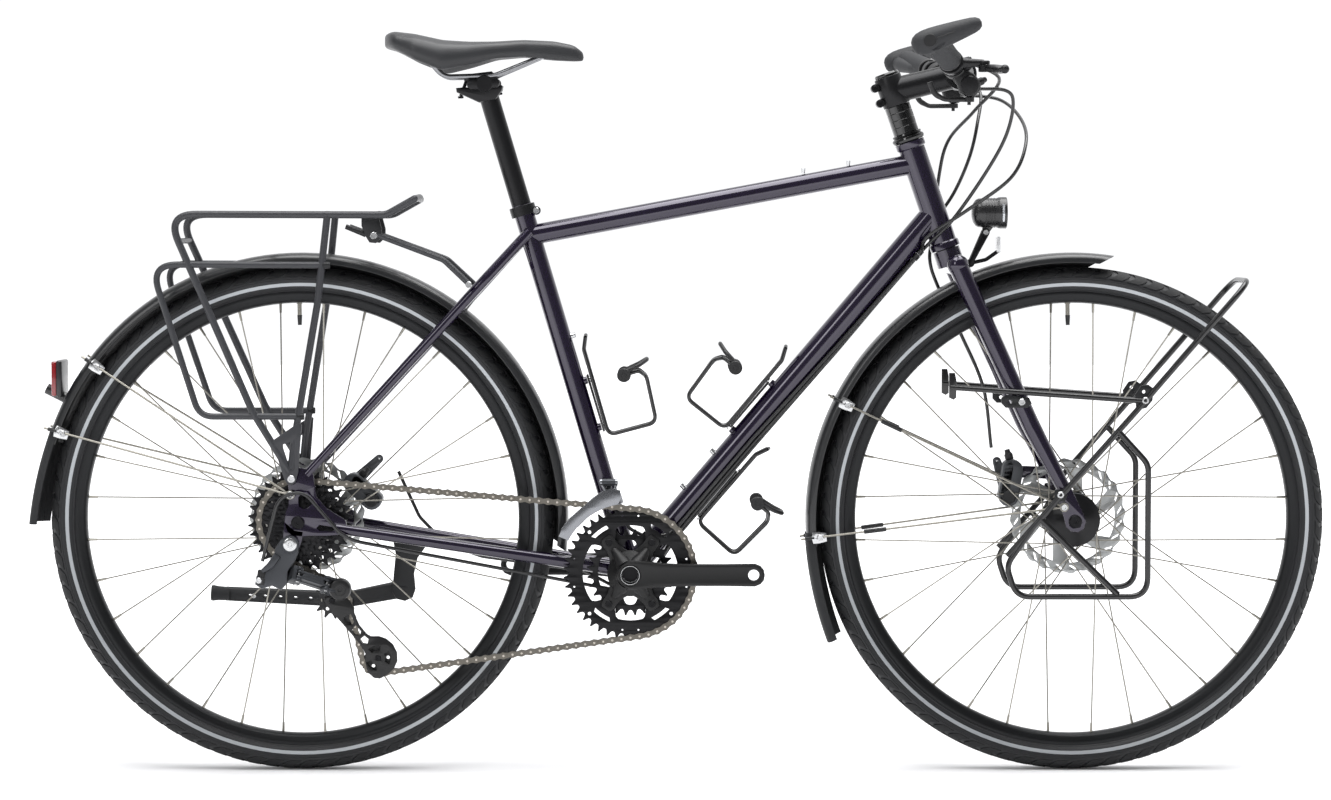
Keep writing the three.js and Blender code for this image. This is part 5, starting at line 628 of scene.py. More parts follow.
def curved_blade(bm, axle, radius, start, end, section, steps, widen=0.0, lift=0.0, slant=0.0):
    """Sweeps a section round part of a wheel; it widens and lifts towards its end, and starts on a slant."""
    part = bmesh.new()
    line = [part.verts.new(((radius + up) / 1000, out / 1000, 0)) for out, up in section]
    face = part.faces.new(line)
    span = math.radians(end - start)
    bmesh.ops.spin(part, geom=[face] + face.edges[:] + line, cent=(0, 0, 0), axis=(0, -1, 0), angle=span,
                   steps=steps)
    for vert in part.verts:
        around = math.atan2(vert.co.z, vert.co.x)
        share = around % (2 * math.pi) / span
        share = share if share < 1.5 else 0
        vert.co.y *= 1 + widen * math.sin(math.pi * min(1, share) * 0.8)
        distance = math.hypot(vert.co.x, vert.co.z)
        grow = distance + lift * share ** 2 / 1000
        hang = max(0.0, radius / 1000 - distance) / 0.023 * max(0.0, 1 - share / 0.25)
        turned = around + math.radians(slant) * hang
        vert.co.x, vert.co.z = grow * math.cos(turned), grow * math.sin(turned)
    put(bm, part, Matrix.Translation(axle) @ Matrix.Rotation(-math.radians(start), 4, "Y"))


guard_radius = 371
for end, axle, start, stop, tail, slant, bridge, gap, body, eyelet, out, angles in (
        ("rear", rear_axle, -7, 163, 181, 2, seat_stay_knee, 6, "frame_body", (-9.3, 39), 83.6, (143, 160)),
        ("front", front_axle, 81, 186, 207, 5.5, crown_foot, 20, "steering", (-16, 20), 59.6, (153, 184))):
    node = f"{end}_mudguard"
    bm = bmesh.new()
    curved_blade(bm, axle, guard_radius, start, stop, guard_section, 60, slant=slant)
    away = (bridge - axle).normalized()
    bar(bm, axle + away * (guard_radius - 2) / 1000, bridge - away * gap / 1000, 10)
    solid(f"{end}_mudguard_blade", bm, guard_black, "satin_black_metal", body, node)
    bm = bmesh.new()
    curved_blade(bm, axle, guard_radius + 1.2, stop - 3, tail, guard_section, 24, 0.14, 9)
    solid(f"{end}_mudguard_flap", bm, flap_rubber, "black_plastic", body, node)

    wires, clips, sleeves = bmesh.new(), bmesh.new(), bmesh.new()
    for side in (1, -1):
        eye = near(axle, *eyelet, side * out)
        rod(wires, eye, (0, side * 1.6, 0), 12.4, 24)
        bolt(clips, eye + Vector((0, side * 0.0016, 0)), (0, side, 0), 9.4, 3)
        for angle in angles:
            tip = at_angle(axle, 361, angle, side * 28.4)
            run = (tip - eye).normalized()
            bar(wires, eye + run * 0.005, tip + run * 0.018, 3.0, sides=12)
            lean = Matrix.Rotation(-math.radians(angle), 4, "Y")
            plate(clips, [[(-9, -6), (-9, 6), (2, 8), (10, 8), (12, 0), (10, -8), (2, -8)],
                          circle(1, 0, 2, 10)], 2.2, at_angle(axle, 352, angle, side * 29.4), 0.5, lean)
            bolt(clips, at_angle(axle, 352, angle, side * 30.2), (0, side, 0), 8.4, 3)
            if end == "front":
                bar(sleeves, eye + run * 0.247, eye + run * 0.278, 6.2, sides=16)
            bar(sleeves, tip - run * 0.001, tip + run * 0.012, 5.4, sides=12)
    solid(f"{end}_mudguard_stays", wires, spoke_steel, "stainless_steel", body, node)
    solid(f"{end}_mudguard_clips", clips, steel_bright, "stainless_steel", body, node)
    solid(f"{end}_mudguard_sleeves", sleeves, valve_cap, "black_plastic", body, node)


# Rear rack: anthracite powder-coated tube, each side one bent length with a front leg, a pannier rail
# and a foot plate; a bent strut on each side runs forward and down to the seat stay.

# Dark grey with the fine orange peel of powder
rack_coat = surface("anthracite_powder_coat", "343539", 0.5, metallic=0.15, coat=0.15, shade=0.1, grain=0.35,
                    depth=0.02)
rail = [(161, 445), (122, 423), (-180, 424), (-61, 153), (-10, 71)]
front_leg = [(41, 421), (28, 302), (-4, 112), (-8, 74)]
pannier_rail = [(39, 354), (-202, 355), (-134, 146.5), (4, 146.5)]
foot_web = [(-34, 112), (-30, 116), (2, 138), (7, 136), (5, 110), (2, 70), (-2, 56), (-7.5, 52), (-13, 54),
            (-17, 60), (-26, 88)]
web_hole = [(-20, 108), (-8, 112), (-5, 104), (-7, 88), (-10, 80), (-13, 86)]
rack_tubes, rack_bolts, rack_dark = bmesh.new(), bmesh.new(), bmesh.new()


def rack_out(z, side):
    """How far out a rack side stands at a height above the axle."""
    return side * (60 + 23.3 * max(0, 424 - z) / 353)


for side in (1, -1):
    for line, width in ((rail, 10.2), (front_leg, 10), (pannier_rail, 9)):
        tube(rack_tubes, [near(rear_axle, x, z, rack_out(z, side)) for x, z in line], width, 27, 18)
    for x, z in (pannier_rail[0], pannier_rail[-1]):
        end_place = near(rear_axle, x, z, rack_out(z, side))
        bar(rack_dark, end_place + Vector((-0.004, 0, 0)), end_place + Vector((0.006, 0, 0)), 10.6, 9, 18)
    plate(rack_tubes, [foot_web, web_hole], 4, near(rear_axle, 0, 0, side * 83.3), 0.8)
    tube(rack_tubes, [near(rear_axle, 94, 418, side * 30), near(rear_axle, 104, 398, side * 31)], 9, 10, 16)
    tube(rack_tubes, [near(rear_axle, 106, 396, side * 33), near(rear_axle, 200, 361, side * 44),
                      near(rear_axle, 236, 327, side * 50)], 8, 24, 16)
    plate(rack_dark, [[(86, 419), (110, 419), (114, 404), (114, 392), (106, 384), (97, 385), (92, 393),
                       (86, 408)]], 4, near(rear_axle, 0, 0, side * 34.6), 0.8)
    bolt(rack_bolts, near(rear_axle, 103, 394.5, side * 36.6), (0, side, 0), 10, 3)
    bolt(rack_bolts, near(rear_axle, 235, 327, side * 54), (0, side, 0), 9, 3)
    bar(rack_dark, near(rear_axle, 64, 407, side * 31), near(rear_axle, 92, 396, side * 31), 7, 8.4, 14)
for x in (-140, -50, 40, 112):
    bar(rack_tubes, near(rear_axle, x, 424, -60), near(rear_axle, x, 424, 60), 9, sides=18)
tube(rack_tubes, [near(rear_axle, 161, 445, -60), near(rear_axle, 164, 447, 0),
                  near(rear_axle, 161, 445, 60)], 10, 30, 18)
tube(rack_tubes, [near(rear_axle, -164, 387, -62), near(rear_axle, -164, 387, 62)], 8, 0, 16)
for side in (1, -1):
    bmesh.ops.create_uvsphere(rack_tubes, u_segments=16, v_segments=8, radius=0.0051,
                              matrix=Matrix.Translation(near(rear_axle, 161, 445, side * 60)))
solid("rear_rack_tubes", rack_tubes, rack_coat, "anthracite_metal", "frame_body", "rear_rack")
solid("rear_rack_fittings", rack_dark, stand_black, "satin_black_metal", "frame_body", "rear_rack")
solid("rear_rack_bolts", rack_bolts, steel_bright, "stainless_steel", "frame_body", "rear_rack")


# Front rack: gloss black tube, one hoop up both sides and over the tyre, and on each side a loop, a brace
# and a top rail; black plates bolt it to the fork blades and the dropouts.

# Deep black with wet-looking highlights
rack_gloss = surface("gloss_black_lacquer", "0e0e10", 0.3, coat=0.35, shade=0.1, grain=1.2)
diagonal = [(-95, -47), (-49, 5), (80, 151), (178, 265), (236, 332)]
loop = [(-60, -8), (-96, -60), (-82, -103), (99, -103), (99, 80), (56, 127)]
top_rail = [(-174, 186), (96, 167)]
brace = [(-49, 4), (58, -100)]
half_rack = 67


def rack_side(line, side):
    """A line of the front rack's side view, stood out on one side of the wheel."""
    return [near(front_axle, x, z, side * half_rack) for x, z in line]


bm, fittings, bolts = bmesh.new(), bmesh.new(), bmesh.new()
tube(bm, rack_side(diagonal, -1) + rack_side(diagonal[::-1], 1), 8.4, 34, 18)
for side in (1, -1):
    for line, width, bend, sides in ((loop, 8.4, 26, 18), (brace, 8.4, 0, 18), (top_rail, 7.6, 0, 16)):
        tube(bm, rack_side(line, side), width, bend, sides)
    plate(bm, [[(-176, 206), (-168, 206), (-166, 196), (-166, 172), (-170, 169), (-176, 172)]], 5,
          near(front_axle, 0, 0, side * half_rack), 0.8)
    plate(fittings, [[(-98, 158), (-104, 164), (-104, 172), (-96, 176), (-66, 172), (-62, 164), (-68, 158)],
                     circle(-92, 166, 2.6, 12)], 4, near(front_axle, 0, 0, side * 67.6), 0.8)
    plate(fittings, [[(82, 154), (80, 176), (88, 188), (98, 190), (106, 184), (104, 168), (96, 158)],
                     circle(92, 180, 2.4, 12)], 4, near(front_axle, 0, 0, side * 66), 0.8)
    plate(fittings, [[(-30, 30), (-30, 44), (-20, 46), (-12, 38), (-16, 28)]], 4,
          near(front_axle, 0, 0, side * 66.6), 0.8)
    for x, z, inside in ((-76, 166, 61.4), (-22, 38, 64)):
        bar(bm, near(front_axle, x, z, side * inside), near(front_axle, x, z, side * 68), 10, sides=18)
    for x, z in ((-76, 166), (-22, 38), (94, 168)):
        bolt(bolts, near(front_axle, x, z, side * 69), (0, side, 0), 9.4, 3.2)
solid("front_rack_tubes", bm, rack_gloss, "gloss_black_metal", "steering", "front_rack")
solid("front_rack_plates", fittings, stand_black, "satin_black_metal", "steering", "front_rack")
solid("front_rack_bolts", bolts, steel_bright, "stainless_steel", "steering", "front_rack")


# Bottom bracket: two turned black cups with a stepped collar, screwed into the ends of the frame's
# shell. They hold the bearings in which the crank's spindle runs.

# Dyed black with a soft metal shine
cup_black = surface("black_anodised_cup", "1b1b1d", 0.36, metallic=0.55, shade=0.12, grain=0.4)
bm = bmesh.new()
for side in (1, -1):
    lathe(bm, [(12.4, 30), (15.2, 30), (15.2, 34.2), (17.8, 34.2), (17.8, 35.6), (16.8, 36.2), (13, 36.2),
               (12.4, 35.4)], crank_centre, (0, side, 0), steps=40)
solid("bottom_bracket_cups", bm, cup_black, "black_steel", "frame_body", "bottom_bracket")


# Chain: half-inch links pulled tight over the big chainring, the second largest cog and both pulleys;
# dull nickel side plates on brighter rollers and pins. The loop gives each wheel the place of its teeth.
pitch, link_count, chain_out = 12.7, 116, -47


def pitch_radius(teeth):
    """The radius in millimetres on which the rollers sit."""
    return pitch / 2 / math.sin(math.pi / teeth)


def tangent(start, end):
    """The direction of the straight between two wheels of the loop."""
    run = end[0] - start[0]
    spread = start[1] * start[2] - end[1] * end[2]
    return math.atan2(run.z, run.x) + math.asin(spread / (1000 * run.length))


guide_place, tension_place = landmarks["guide_pulley_spin"], landmarks["tension_pulley_spin"]
loop = [(crank_centre, pitch_radius(44), 1), (rear_axle, pitch_radius(28), 1),
        (guide_place, pitch_radius(11), -1), (tension_place, pitch_radius(11), 1)]
pins, phases, reached = [], [], 0.0
for i, (centre, radius, turn) in enumerate(loop):
    after = loop[(i + 1) % 4]
    arriving, leaving = tangent(loop[i - 1], loop[i]), tangent(loop[i], after)
    sweep_angle = ((leaving - arriving) * turn) % (2 * math.pi)
    start_angle = arriving - turn * math.pi / 2
    links = sweep_angle / (2 * math.asin(pitch / 2 / radius))
    for pin in range(math.ceil(reached), math.ceil(reached + links)):
        angle = math.degrees(start_angle + turn * sweep_angle * (pin - reached) / links)
        pins.append(at_angle(centre, radius, angle))
        if len(phases) == i:
            phases.append(angle)
    reached += links
    start = at_angle(centre, radius, math.degrees(leaving - turn * math.pi / 2))
    end = at_angle(after[0], after[1], math.degrees(leaving - after[2] * math.pi / 2))
    links = (end - start).length * 1000 / pitch
    pins += [start.lerp(end, (pin - reached) / links)
             for pin in range(math.ceil(reached), math.ceil(reached + links)) if pin < link_count]
    reached += links
# Nickel dulled by oil, a brownish grey metal
chain_plate = surface("nickel_plated_side_plate", "75716a", 0.34, metallic=1.0, shade=0.25, grain=0.4,
                      depth=0.01)
# Cleaner nickel, so the rollers and pins show as bright dots
chain_pin = surface("bright_nickel_pin", "b5afa6", 0.25, metallic=1.0, shade=0.1, grain=0.3)
plates, rollers = bmesh.new(), bmesh.new()
link_line = [(-4.9, 0), (-3.5, 3.5), (0, 4.9), (3.4, 3.9), (6.35, 3.2), (9.3, 3.9), (12.7, 4.9), (16.2, 3.5),
             (17.6, 0), (16.2, -3.5), (12.7, -4.9), (9.3, -3.9), (6.35, -3.2), (3.4, -3.9), (0, -4.9),
             (-3.5, -3.5)]
for kind, places in ((0, pins[0::2]), (1, pins[1::2])):
    spots = []
    for place in places:
        here = pins.index(place)
        run = pins[(here + 1) % len(pins)] - place
        spots.append(Matrix.Translation(out_to(place, chain_out))
                     @ Matrix.Rotation(-math.atan2(run.z, run.x), 4, "Y"))
    for side in (1, -1):
        part = bmesh.new()
        plate(part, [link_line], 0.8, Vector((0, side * (0.00155 if kind else 0.0025), 0)))
        put(plates, part, *spots)
for place in pins:
    middle = out_to(place, chain_out)
    rod(rollers, middle, (0, 1.1, 0), 7.7)
    rod(rollers, middle, (0, 3.25, 0), 3.3, 8)
solid("chain_side_plates", plates, chain_plate, "chain_nickel", "frame_body", "chain")
solid("chain_rollers_and_pins", rollers, chain_pin, "chain_nickel", "frame_body", "chain")


# Cassette: seven black cogs with relief holes round one sleeve, and a silvery carrier that shows through
# the largest; a black lockring closes the stack.
def ring_of_holes(radius, angles, size, count):
    """Round outlines at those angles, in degrees, on a circle about the middle of a plate."""
    return [circle(radius * math.cos(math.radians(angle)), radius * math.sin(math.radians(angle)), size,
                   count) for angle in angles]


def toothed(teeth, phase, valley=4.2, tip=3.6):
    """The outline of a sprocket; the phase is the angle in degrees at which one roller sits."""
    radius, points = pitch_radius(teeth), []
    for i in range(teeth):
        for share, rise in ((-0.17, -valley * 0.86), (0, -valley), (0.17, -valley * 0.86), (0.31, -0.6),
                            (0.43, tip), (0.57, tip), (0.69, -0.6)):
            angle = math.radians(phase) + 2 * math.pi * (i + share) / teeth
            points.append(((radius + rise) * math.cos(angle), (radius + rise) * math.sin(angle)))
    return points


# Black chrome, worn lighter in patches
cog_black = surface("black_chromed_cog", "1f1f21", 0.34, metallic=0.7, shade=0.2, grain=0.4, depth=0.01)
# Plain nickel, paler than the cogs in front of it
cog_steel = surface("nickel_cog_carrier", "9a9894", 0.36, metallic=0.9, shade=0.15, grain=0.4, depth=0.01)
cog_step = 4.3
hole_counts = {34: 24, 28: 18, 24: 14, 21: 12, 18: 10}
bm, bright = bmesh.new(), bmesh.new()
for i, teeth in enumerate((34, 28, 24, 21, 18, 15, 12)):
    out = chain_out + (1 - i) * cog_step
    radius = pitch_radius(teeth)
    inner = max(18.4, radius - (22 if i == 0 else 19))
    count = hole_counts.get(teeth, 0)
    holes = ring_of_holes(radius - 10.2, [360 * j / count + 7 * i for j in range(count)], 3.0 if i == 0
                          else 2.6, 10)
    if teeth > 27:
        holes += ring_of_holes(radius - 17, [360 * (j + 0.5) / count + 7 * i for j in range(count)], 1.5, 8)
    phase = phases[1] if teeth == 28 else 4 * i
    plate(bm, [toothed(teeth, phase), circle(0, 0, inner, 40), *holes], 1.8, near(rear_axle, 0, 0, out), 0.25)
arms = [swept(24.5, 36, 60 * arm + 8, 60 * arm + 44, 16, 6) for arm in range(6)]
plate(bright, [circle(0, 0, 48, 60), circle(0, 0, 18, 30), *arms], 2.2, near(rear_axle, 0, 0, -44.6), 0.3)
lathe(bm, [(16.9, -42), (18.9, -42), (18.9, -68), (16.9, -68)], rear_axle, steps=36)
lathe(bm, [(9.6, -67.4), (16, -67.4), (18.4, -68), (18.8, -68.6), (18.2, -69.3), (13.4, -69.3), (12.4, -68.2),
           (9.6, -68.2)], rear_axle, steps=36)
solid("cassette_cogs", bm, cog_black, "black_steel", "cassette_body", "cassette")
solid("cassette_carrier", bright, cog_steel, "black_steel", "cassette_body", "cassette")


# Chainrings: machined black plates with curved windows and pin holes; the 44-tooth ring bolts outside
# the spider's tips, the 28-tooth ring inside.

# Machined and dyed black, with a low even shine
ring_black = surface("black_anodised_chainring", "19191b", 0.36, metallic=0.6, shade=0.15, grain=0.35,
                     depth=0.01)
spider_angles = (55, 125, 235, 305)
outer_bolts, inner_bolts = 52, 32


def ring_eye(open_radius, bolt_circle, reach):
    """The middle opening of a ring, drawn in to a tongue at each spider bolt."""
    points = []
    for step in range(120):
        angle = step * 3
        off = min(abs((angle - spot + 180) % 360 - 180) for spot in spider_angles)
        blend = max(0.0, 1 - max(0.0, off - 5) / reach)
        blend = blend * blend * (3 - 2 * blend)
        radius = open_radius + (bolt_circle - 8 - open_radius) * blend
        points.append((radius * math.cos(math.radians(angle)), radius * math.sin(math.radians(angle))))
    return points


big, small = bmesh.new(), bmesh.new()
windows = [swept(68.6, 73.6, middle - 10, middle + 10, 2, 5) for middle in spider_angles]
pin_holes = ring_of_holes(80, (45, 135, 225, 315), 2.4, 12)
pin_holes += ring_of_holes(80, (82, 98, 14, 166, 262, 278, 194, 346), 1.3, 12)
plate(big, [toothed(44, phases[0]), ring_eye(66, outer_bolts, 15), *windows, *pin_holes,
            *ring_of_holes(outer_bolts, spider_angles, 4.9, 16)], 2, near(crank_centre, 0, 0, chain_out),
      0.35)
plate(small, [toothed(28, 0), ring_eye(45, inner_bolts, 26),
              *ring_of_holes(inner_bolts, spider_angles, 4.9, 16)], 2, near(crank_centre, 0, 0, -39), 0.35)
solid("chainring_outer", big, ring_black, "black_steel", "crankset", "chainring_outer")
solid("chainring_inner", small, ring_black, "black_steel", "crankset", "chainring_inner")


# Crank: two forged arms in matt black, the right one swelling into a four-arm spider; a hollow steel
# spindle shows as a thin bright ring in it, and black bolts hold the rings. The pedal eyes are open.

# Forged and matt, with broad dim highlights
crank_black = surface("matte_black_forged_crank", "161617", 0.48, metallic=0.25, shade=0.15, grain=0.5,
                      depth=0.02)
spider_half = [(8, -21), (22, -18), (33, -12.4), (42, -9.6), (57, -9), (60.4, -6)]
arm_bm, ring_bolts, spindle = bmesh.new(), bmesh.new(), bmesh.new()
half_arm = [(-4, 19.4), (6, 19.8), (26, 18.4), (46, 16.2), (80, 15), (130, 15), (160, 15.6), (172, 15.6),
            (179.6, 12.4), (184, 7), (185.4, 0)]
arm_line = (half_arm + [(x, -z) for x, z in half_arm[-2::-1]]
            + [(-13, -12), (-17.6, -4), (-17.6, 4), (-13, 12)])
plate(arm_bm, [arm_line, circle(170, 0, 7.6, 28), circle(0, 0, 13.4, 36)], 13,
      near(crank_centre, 0, 0, -77.5), 3.2)
lathe(arm_bm, [(12.2, -74), (19, -74), (22, -66), (30, -57), (32, -53.4), (29, -51), (12.2, -51)],
      crank_centre, steps=48)
for angle in spider_angles:
    turn = math.radians(angle)
    line = [(x * math.cos(turn) - z * math.sin(turn), x * math.sin(turn) + z * math.cos(turn))
            for x, z in spider_half + [(x, -z) for x, z in spider_half[::-1]]]
    plate(arm_bm, [line], 5.4, near(crank_centre, 0, 0, -51.1), 1.3)
    bar(arm_bm, at_angle(crank_centre, 14, angle, -66), at_angle(crank_centre, 40, angle, -54), 25, 9, 20)
    bolt(ring_bolts, at_angle(crank_centre, outer_bolts, angle, -53.8), (0, -1, 0), 10, 1.8)
    for radius, start, stop in ((outer_bolts, -53.8, -45.6), (inner_bolts, -50, -37.8)):
        bar(ring_bolts, at_angle(crank_centre, radius, angle, start),
            at_angle(crank_centre, radius, angle, stop), 8.8, sides=16)
lathe(spindle, [(12.1, -83.8), (12.5, -84.4), (13, -84.4), (13.3, -83.8), (13.3, -72), (11.6, -70),
                (11.6, 81.8), (10.2, 81.8), (10.2, -70), (12.1, -72)], crank_centre, steps=48)
lathe(ring_bolts, [(12, -83), (12, -66), (0, -66), (0, -67), (11.6, -67), (11.6, -83)], crank_centre,
      steps=40)
solid("crank_arm_and_spider", arm_bm, crank_black, "satin_black_metal", "crankset", "crank_arm_right")
solid("chainring_bolts", ring_bolts, axle_black, "black_steel", "crankset", "crank_arm_right")
solid("crank_spindle", spindle, steel_bright, "stainless_steel", "crankset", "crank_arm_right")
bm = bmesh.new()
line = [(-x, z) for x, z in arm_line]
plate(bm, [line, circle(-170, 0, 7, 28), circle(0, 0, 12.4, 32)], 13, near(crank_centre, 0, 0, 77.5), 3.2)
solid("crank_arm_left", bm, crank_black, "satin_black_metal", "crankset", "crank_arm_left")


# Disc brakes: cable calipers in grey cast alloy over the rotors, with black adjusters and pad knob;
# a flat arm on each is pulled by the housing's wire.

# Cast grey metal with a slightly rough skin
caliper_grey = surface("grey_cast_alloy", "57595c", 0.42, metallic=0.75, shade=0.2, grain=0.5, depth=0.03)
# Moulded black with a fine matt grain
knob_black = surface("moulded_black_knob", "151517", 0.5, shade=0.15, grain=0.5, depth=0.03)
brakes = [
    ("front", front_axle, [(-78, 66), (-84, 28)], 24.6, 49.7, 60.5, (-84, 28), (-98, 76), "steering", 39.6),
    ("rear", rear_axle, [(66, 46), (92, 22)], 40.7, 70.7, 80, (66, 46), (100, 78), "frame_body", 55.7),
]


def capsule(start, end, radius, end_radius=None, count=8):
    """The outline round two discs of the given radii and the straight sides between them."""
    end_radius = radius if end_radius is None else end_radius
    run = math.atan2(end[1] - start[1], end[0] - start[0])
    lean = math.asin((radius - end_radius) / math.dist(start, end))
    points = []
    for (x, z), size, first, last in ((end, end_radius, lean - math.pi / 2, math.pi / 2 - lean),
                                      (start, radius, math.pi / 2 - lean, 3 * math.pi / 2 + lean)):
        for step in range(count + 1):
            angle = run + first + (last - first) * step / count
            points.append((x + size * math.cos(angle), z + size * math.sin(angle)))
    return points


for end, axle, (high, low), inner, outer, arm_out, pivot, tip, body, rotor in brakes:
    bm, knobs, arm = bmesh.new(), bmesh.new(), bmesh.new()
    for start, stop in ((inner, rotor - 1.9), (rotor + 1.9, outer)):
        plate(bm, [capsule(high, low, 14)], stop - start, near(axle, 0, 0, (start + stop) / 2), 2.2)
    back = [(high[0] * 1.08, high[1] * 1.08), (low[0] * 1.08, low[1] * 1.08)]
    plate(bm, [capsule(*back, 8)], outer - inner, near(axle, 0, 0, (inner + outer) / 2), 1.6)
    for (x, z), size in ((high, 10.5), (low, 12)):
        lathe(bm, [(0, 0), (size, 0), (size, 4), (size - 1.6, 5.6), (size - 4, 5.6), (size - 4.6, 4.6),
                   (0, 4.6)], near(axle, x, z, outer - 2), steps=32, closed=False)
    bar(bm, near(axle, *pivot, outer - 2), near(axle, *pivot, arm_out + 2), 9.6, sides=20)
    barrel = Vector((tip[0] - pivot[0], 0, tip[1] - pivot[1])).normalized()
    lathe(knobs, [(0, 0), (5.4, 0), (6, 1), (6, 8), (5.2, 9), (4, 11), (3.8, 15), (0, 15)],
          near(axle, high[0], high[1], (inner + outer) / 2) + barrel * 0.014, barrel, steps=20, closed=False)
    lathe(knobs, [(0, -1.5), (8.6, -1.5), (9.4, -0.4), (9.4, 2.6), (8, 3.6), (0, 3.6)],
          near(axle, low[0], low[1], inner - 2.4), (0, -1, 0), steps=24, closed=False)
    solid(f"{end}_caliper_body", bm, caliper_grey, "grey_alloy", body, f"{end}_caliper")
    solid(f"{end}_caliper_knobs", knobs, knob_black, "black_plastic", body, f"{end}_caliper")
    plate(arm, [capsule(pivot, tip, 9, 6), circle(*pivot, 5.4, 20), circle(*tip, 1.6, 10)], 4,
          near(axle, 0, 0, arm_out), 0.7)
    solid(f"{end}_caliper_lever_arm", arm, caliper_grey, "grey_alloy", f"{end}_caliper_arm_body",
          f"{end}_caliper_arm")
    bm = bmesh.new()
    bolt(bm, near(axle, *tip, arm_out + 2), (0, 1, 0), 6.4, 2)
    solid(f"{end}_caliper_wire_bolt", bm, steel_bright, "stainless_steel", f"{end}_caliper_arm_body",
          f"{end}_caliper_arm")


# Rear derailleur: a knuckle on the hanger bolt, two parallel links leaning back to the cage knuckle, and a
# long sprung cage with cut-outs that carries the guide and tension pulleys. Satin charcoal and black.

# Charcoal metal, between the black cage and the bright bolts
changer_grey = surface("satin_charcoal_alloy", "46484c", 0.42, metallic=0.65, shade=0.15, grain=0.5,
                       depth=0.01)
# Thin black paint on steel, slightly glossy
changer_black = surface("black_painted_steel_cage", "151516", 0.4, metallic=0.3, coat=0.2, shade=0.15,
                        grain=0.5)
# Hard nylon, dull with a faint grain
pulley_black = surface("black_nylon_pulley", "18181a", 0.55, shade=0.15, grain=0.5, depth=0.02)
link_along = Vector((0.8671, 0.3749, -0.3281))
link_across = Vector((-0.4776, 0.8123, -0.3347))
link_axis = link_along.cross(link_across).normalized()
inner_pin = near(rear_axle, -1, -75, -80)
link_length = Vector((37, 16, -14)).length
hanger_bolt, cage_pivot = landmarks["rear_derailleur_hanger_turn"], landmarks["rear_derailleur_cage_swing"]
across_outer, along_outer = -11.7, -2.5


def in_linkage(along, across, up=0.0):
    """A place in the plane of the parallel links, in millimetres from the inner pin."""
    return inner_pin + (link_along * along + link_across * across + link_axis * up) / 1000


def link_plate(bm, outlines, thickness, up, bevel=0.0):
    """A plate that lies in the plane of the parallel links."""
    frame_of_links = Matrix((link_along, link_across, link_axis)).transposed().to_4x4()
    upright = Matrix.Rotation(-math.pi / 2, 4, "X")
    plate(bm, outlines, thickness, in_linkage(0, 0, up), bevel, frame_of_links @ upright)


def pin_at(bm, along, across, half, width=4.4):
    """A round pin square to the parallel links."""
    bar(bm, in_linkage(along, across, -half), in_linkage(along, across, half), width, sides=16)


bm, bright, dark = bmesh.new(), bmesh.new(), bmesh.new()
lathe(bm, [(0, -78), (9.6, -78), (10.4, -80), (11.5, -84), (12.4, -90), (11.6, -92.4), (0, -92.4)],
      hanger_bolt, steps=40, closed=False)
lathe(bright, [(5, -92.2), (9.2, -92.2), (9.2, -93.4), (8.2, -94), (5, -94)], hanger_bolt, steps=32)
lathe(bright, [(0, -92.8), (4.9, -92.8), (4.9, -94.2), (3, -94.2), (2.4, -93.4), (0, -93.4)], hanger_bolt,
      steps=24, closed=False)
neck = [(-9, -18), (-22, -22), (-29, -32), (-34, -50), (-44, -62), (-56, -72), (-58, -84), (-49, -90),
        (-34, -86), (-22, -92), (-13, -82), (-12, -66), (-4, -54), (2, -40), (3, -30), (-1, -20)]
plate(bm, [neck], 12, near(rear_axle, 0, 0, -84.6), 3)
plate(bm, [[(-30, -40), (-40, -54), (-50, -64), (-46, -68), (-32, -60), (-22, -46)]], 5,
      near(rear_axle, 0, 0, -91.4), 2)
for up in (8.3, -8.3):
    link_plate(bm, [capsule((0, 0), (along_outer, across_outer), 5.6)], 4, up, 0.8)
    link_plate(bm, [[(-13, 5), (-5, 5.6), (0, 4), (-6, -6), (-3, -16), (-13, -17)]], 4, up, 0.8)
link_plate(bm, [[(-13, 5), (-7.4, 5), (-7.4, -17), (-13, -17)]], 20, 0, 1.4)
for along, across in ((0, 0), (along_outer, across_outer)):
    pin_at(bright, along, across, 10.6)
lathe(dark, [(0, 0), (6, 0), (6.4, 1), (6.4, 8), (5.6, 9), (5.6, 11), (6.4, 12), (6.4, 18), (5.4, 20),
             (0, 20)], near(rear_axle, -50, -84, -87), Vector((2, 0, 17)), steps=24, closed=False)
bolt(bright, near(rear_axle, -52, -78, -93), (0, -1, 0), 8, 2.6)
solid("changer_hanger_knuckle", bm, changer_grey, "satin_black_metal", "rear_derailleur_hanger_body",
      "rear_derailleur_hanger_knuckle")
solid("changer_hanger_bolts", bright, steel_bright, "stainless_steel", "rear_derailleur_hanger_body",
      "rear_derailleur_hanger_knuckle")
solid("changer_barrel_adjuster", dark, knob_black, "black_plastic", "rear_derailleur_hanger_body",
      "rear_derailleur_hanger_knuckle")

for name, across, start in (("outer", across_outer, along_outer), ("inner", 0, 0)):
    bm = bmesh.new()
    for up in (4.2, -4.2):
        link_plate(bm, [capsule((start, across), (start + link_length, across), 4.5),
                        circle(start, across, 2.6, 16), circle(start + link_length, across, 2.6, 16)], 3.4,
                   up, 0.6)
    link_plate(bm, [capsule((start + 8, across), (start + link_length - 8, across), 4)], 8, 0, 1)
    solid(f"changer_{name}_link", bm, changer_grey, "grey_alloy", f"rear_derailleur_{name}_link_body",
          f"rear_derailleur_{name}_link")

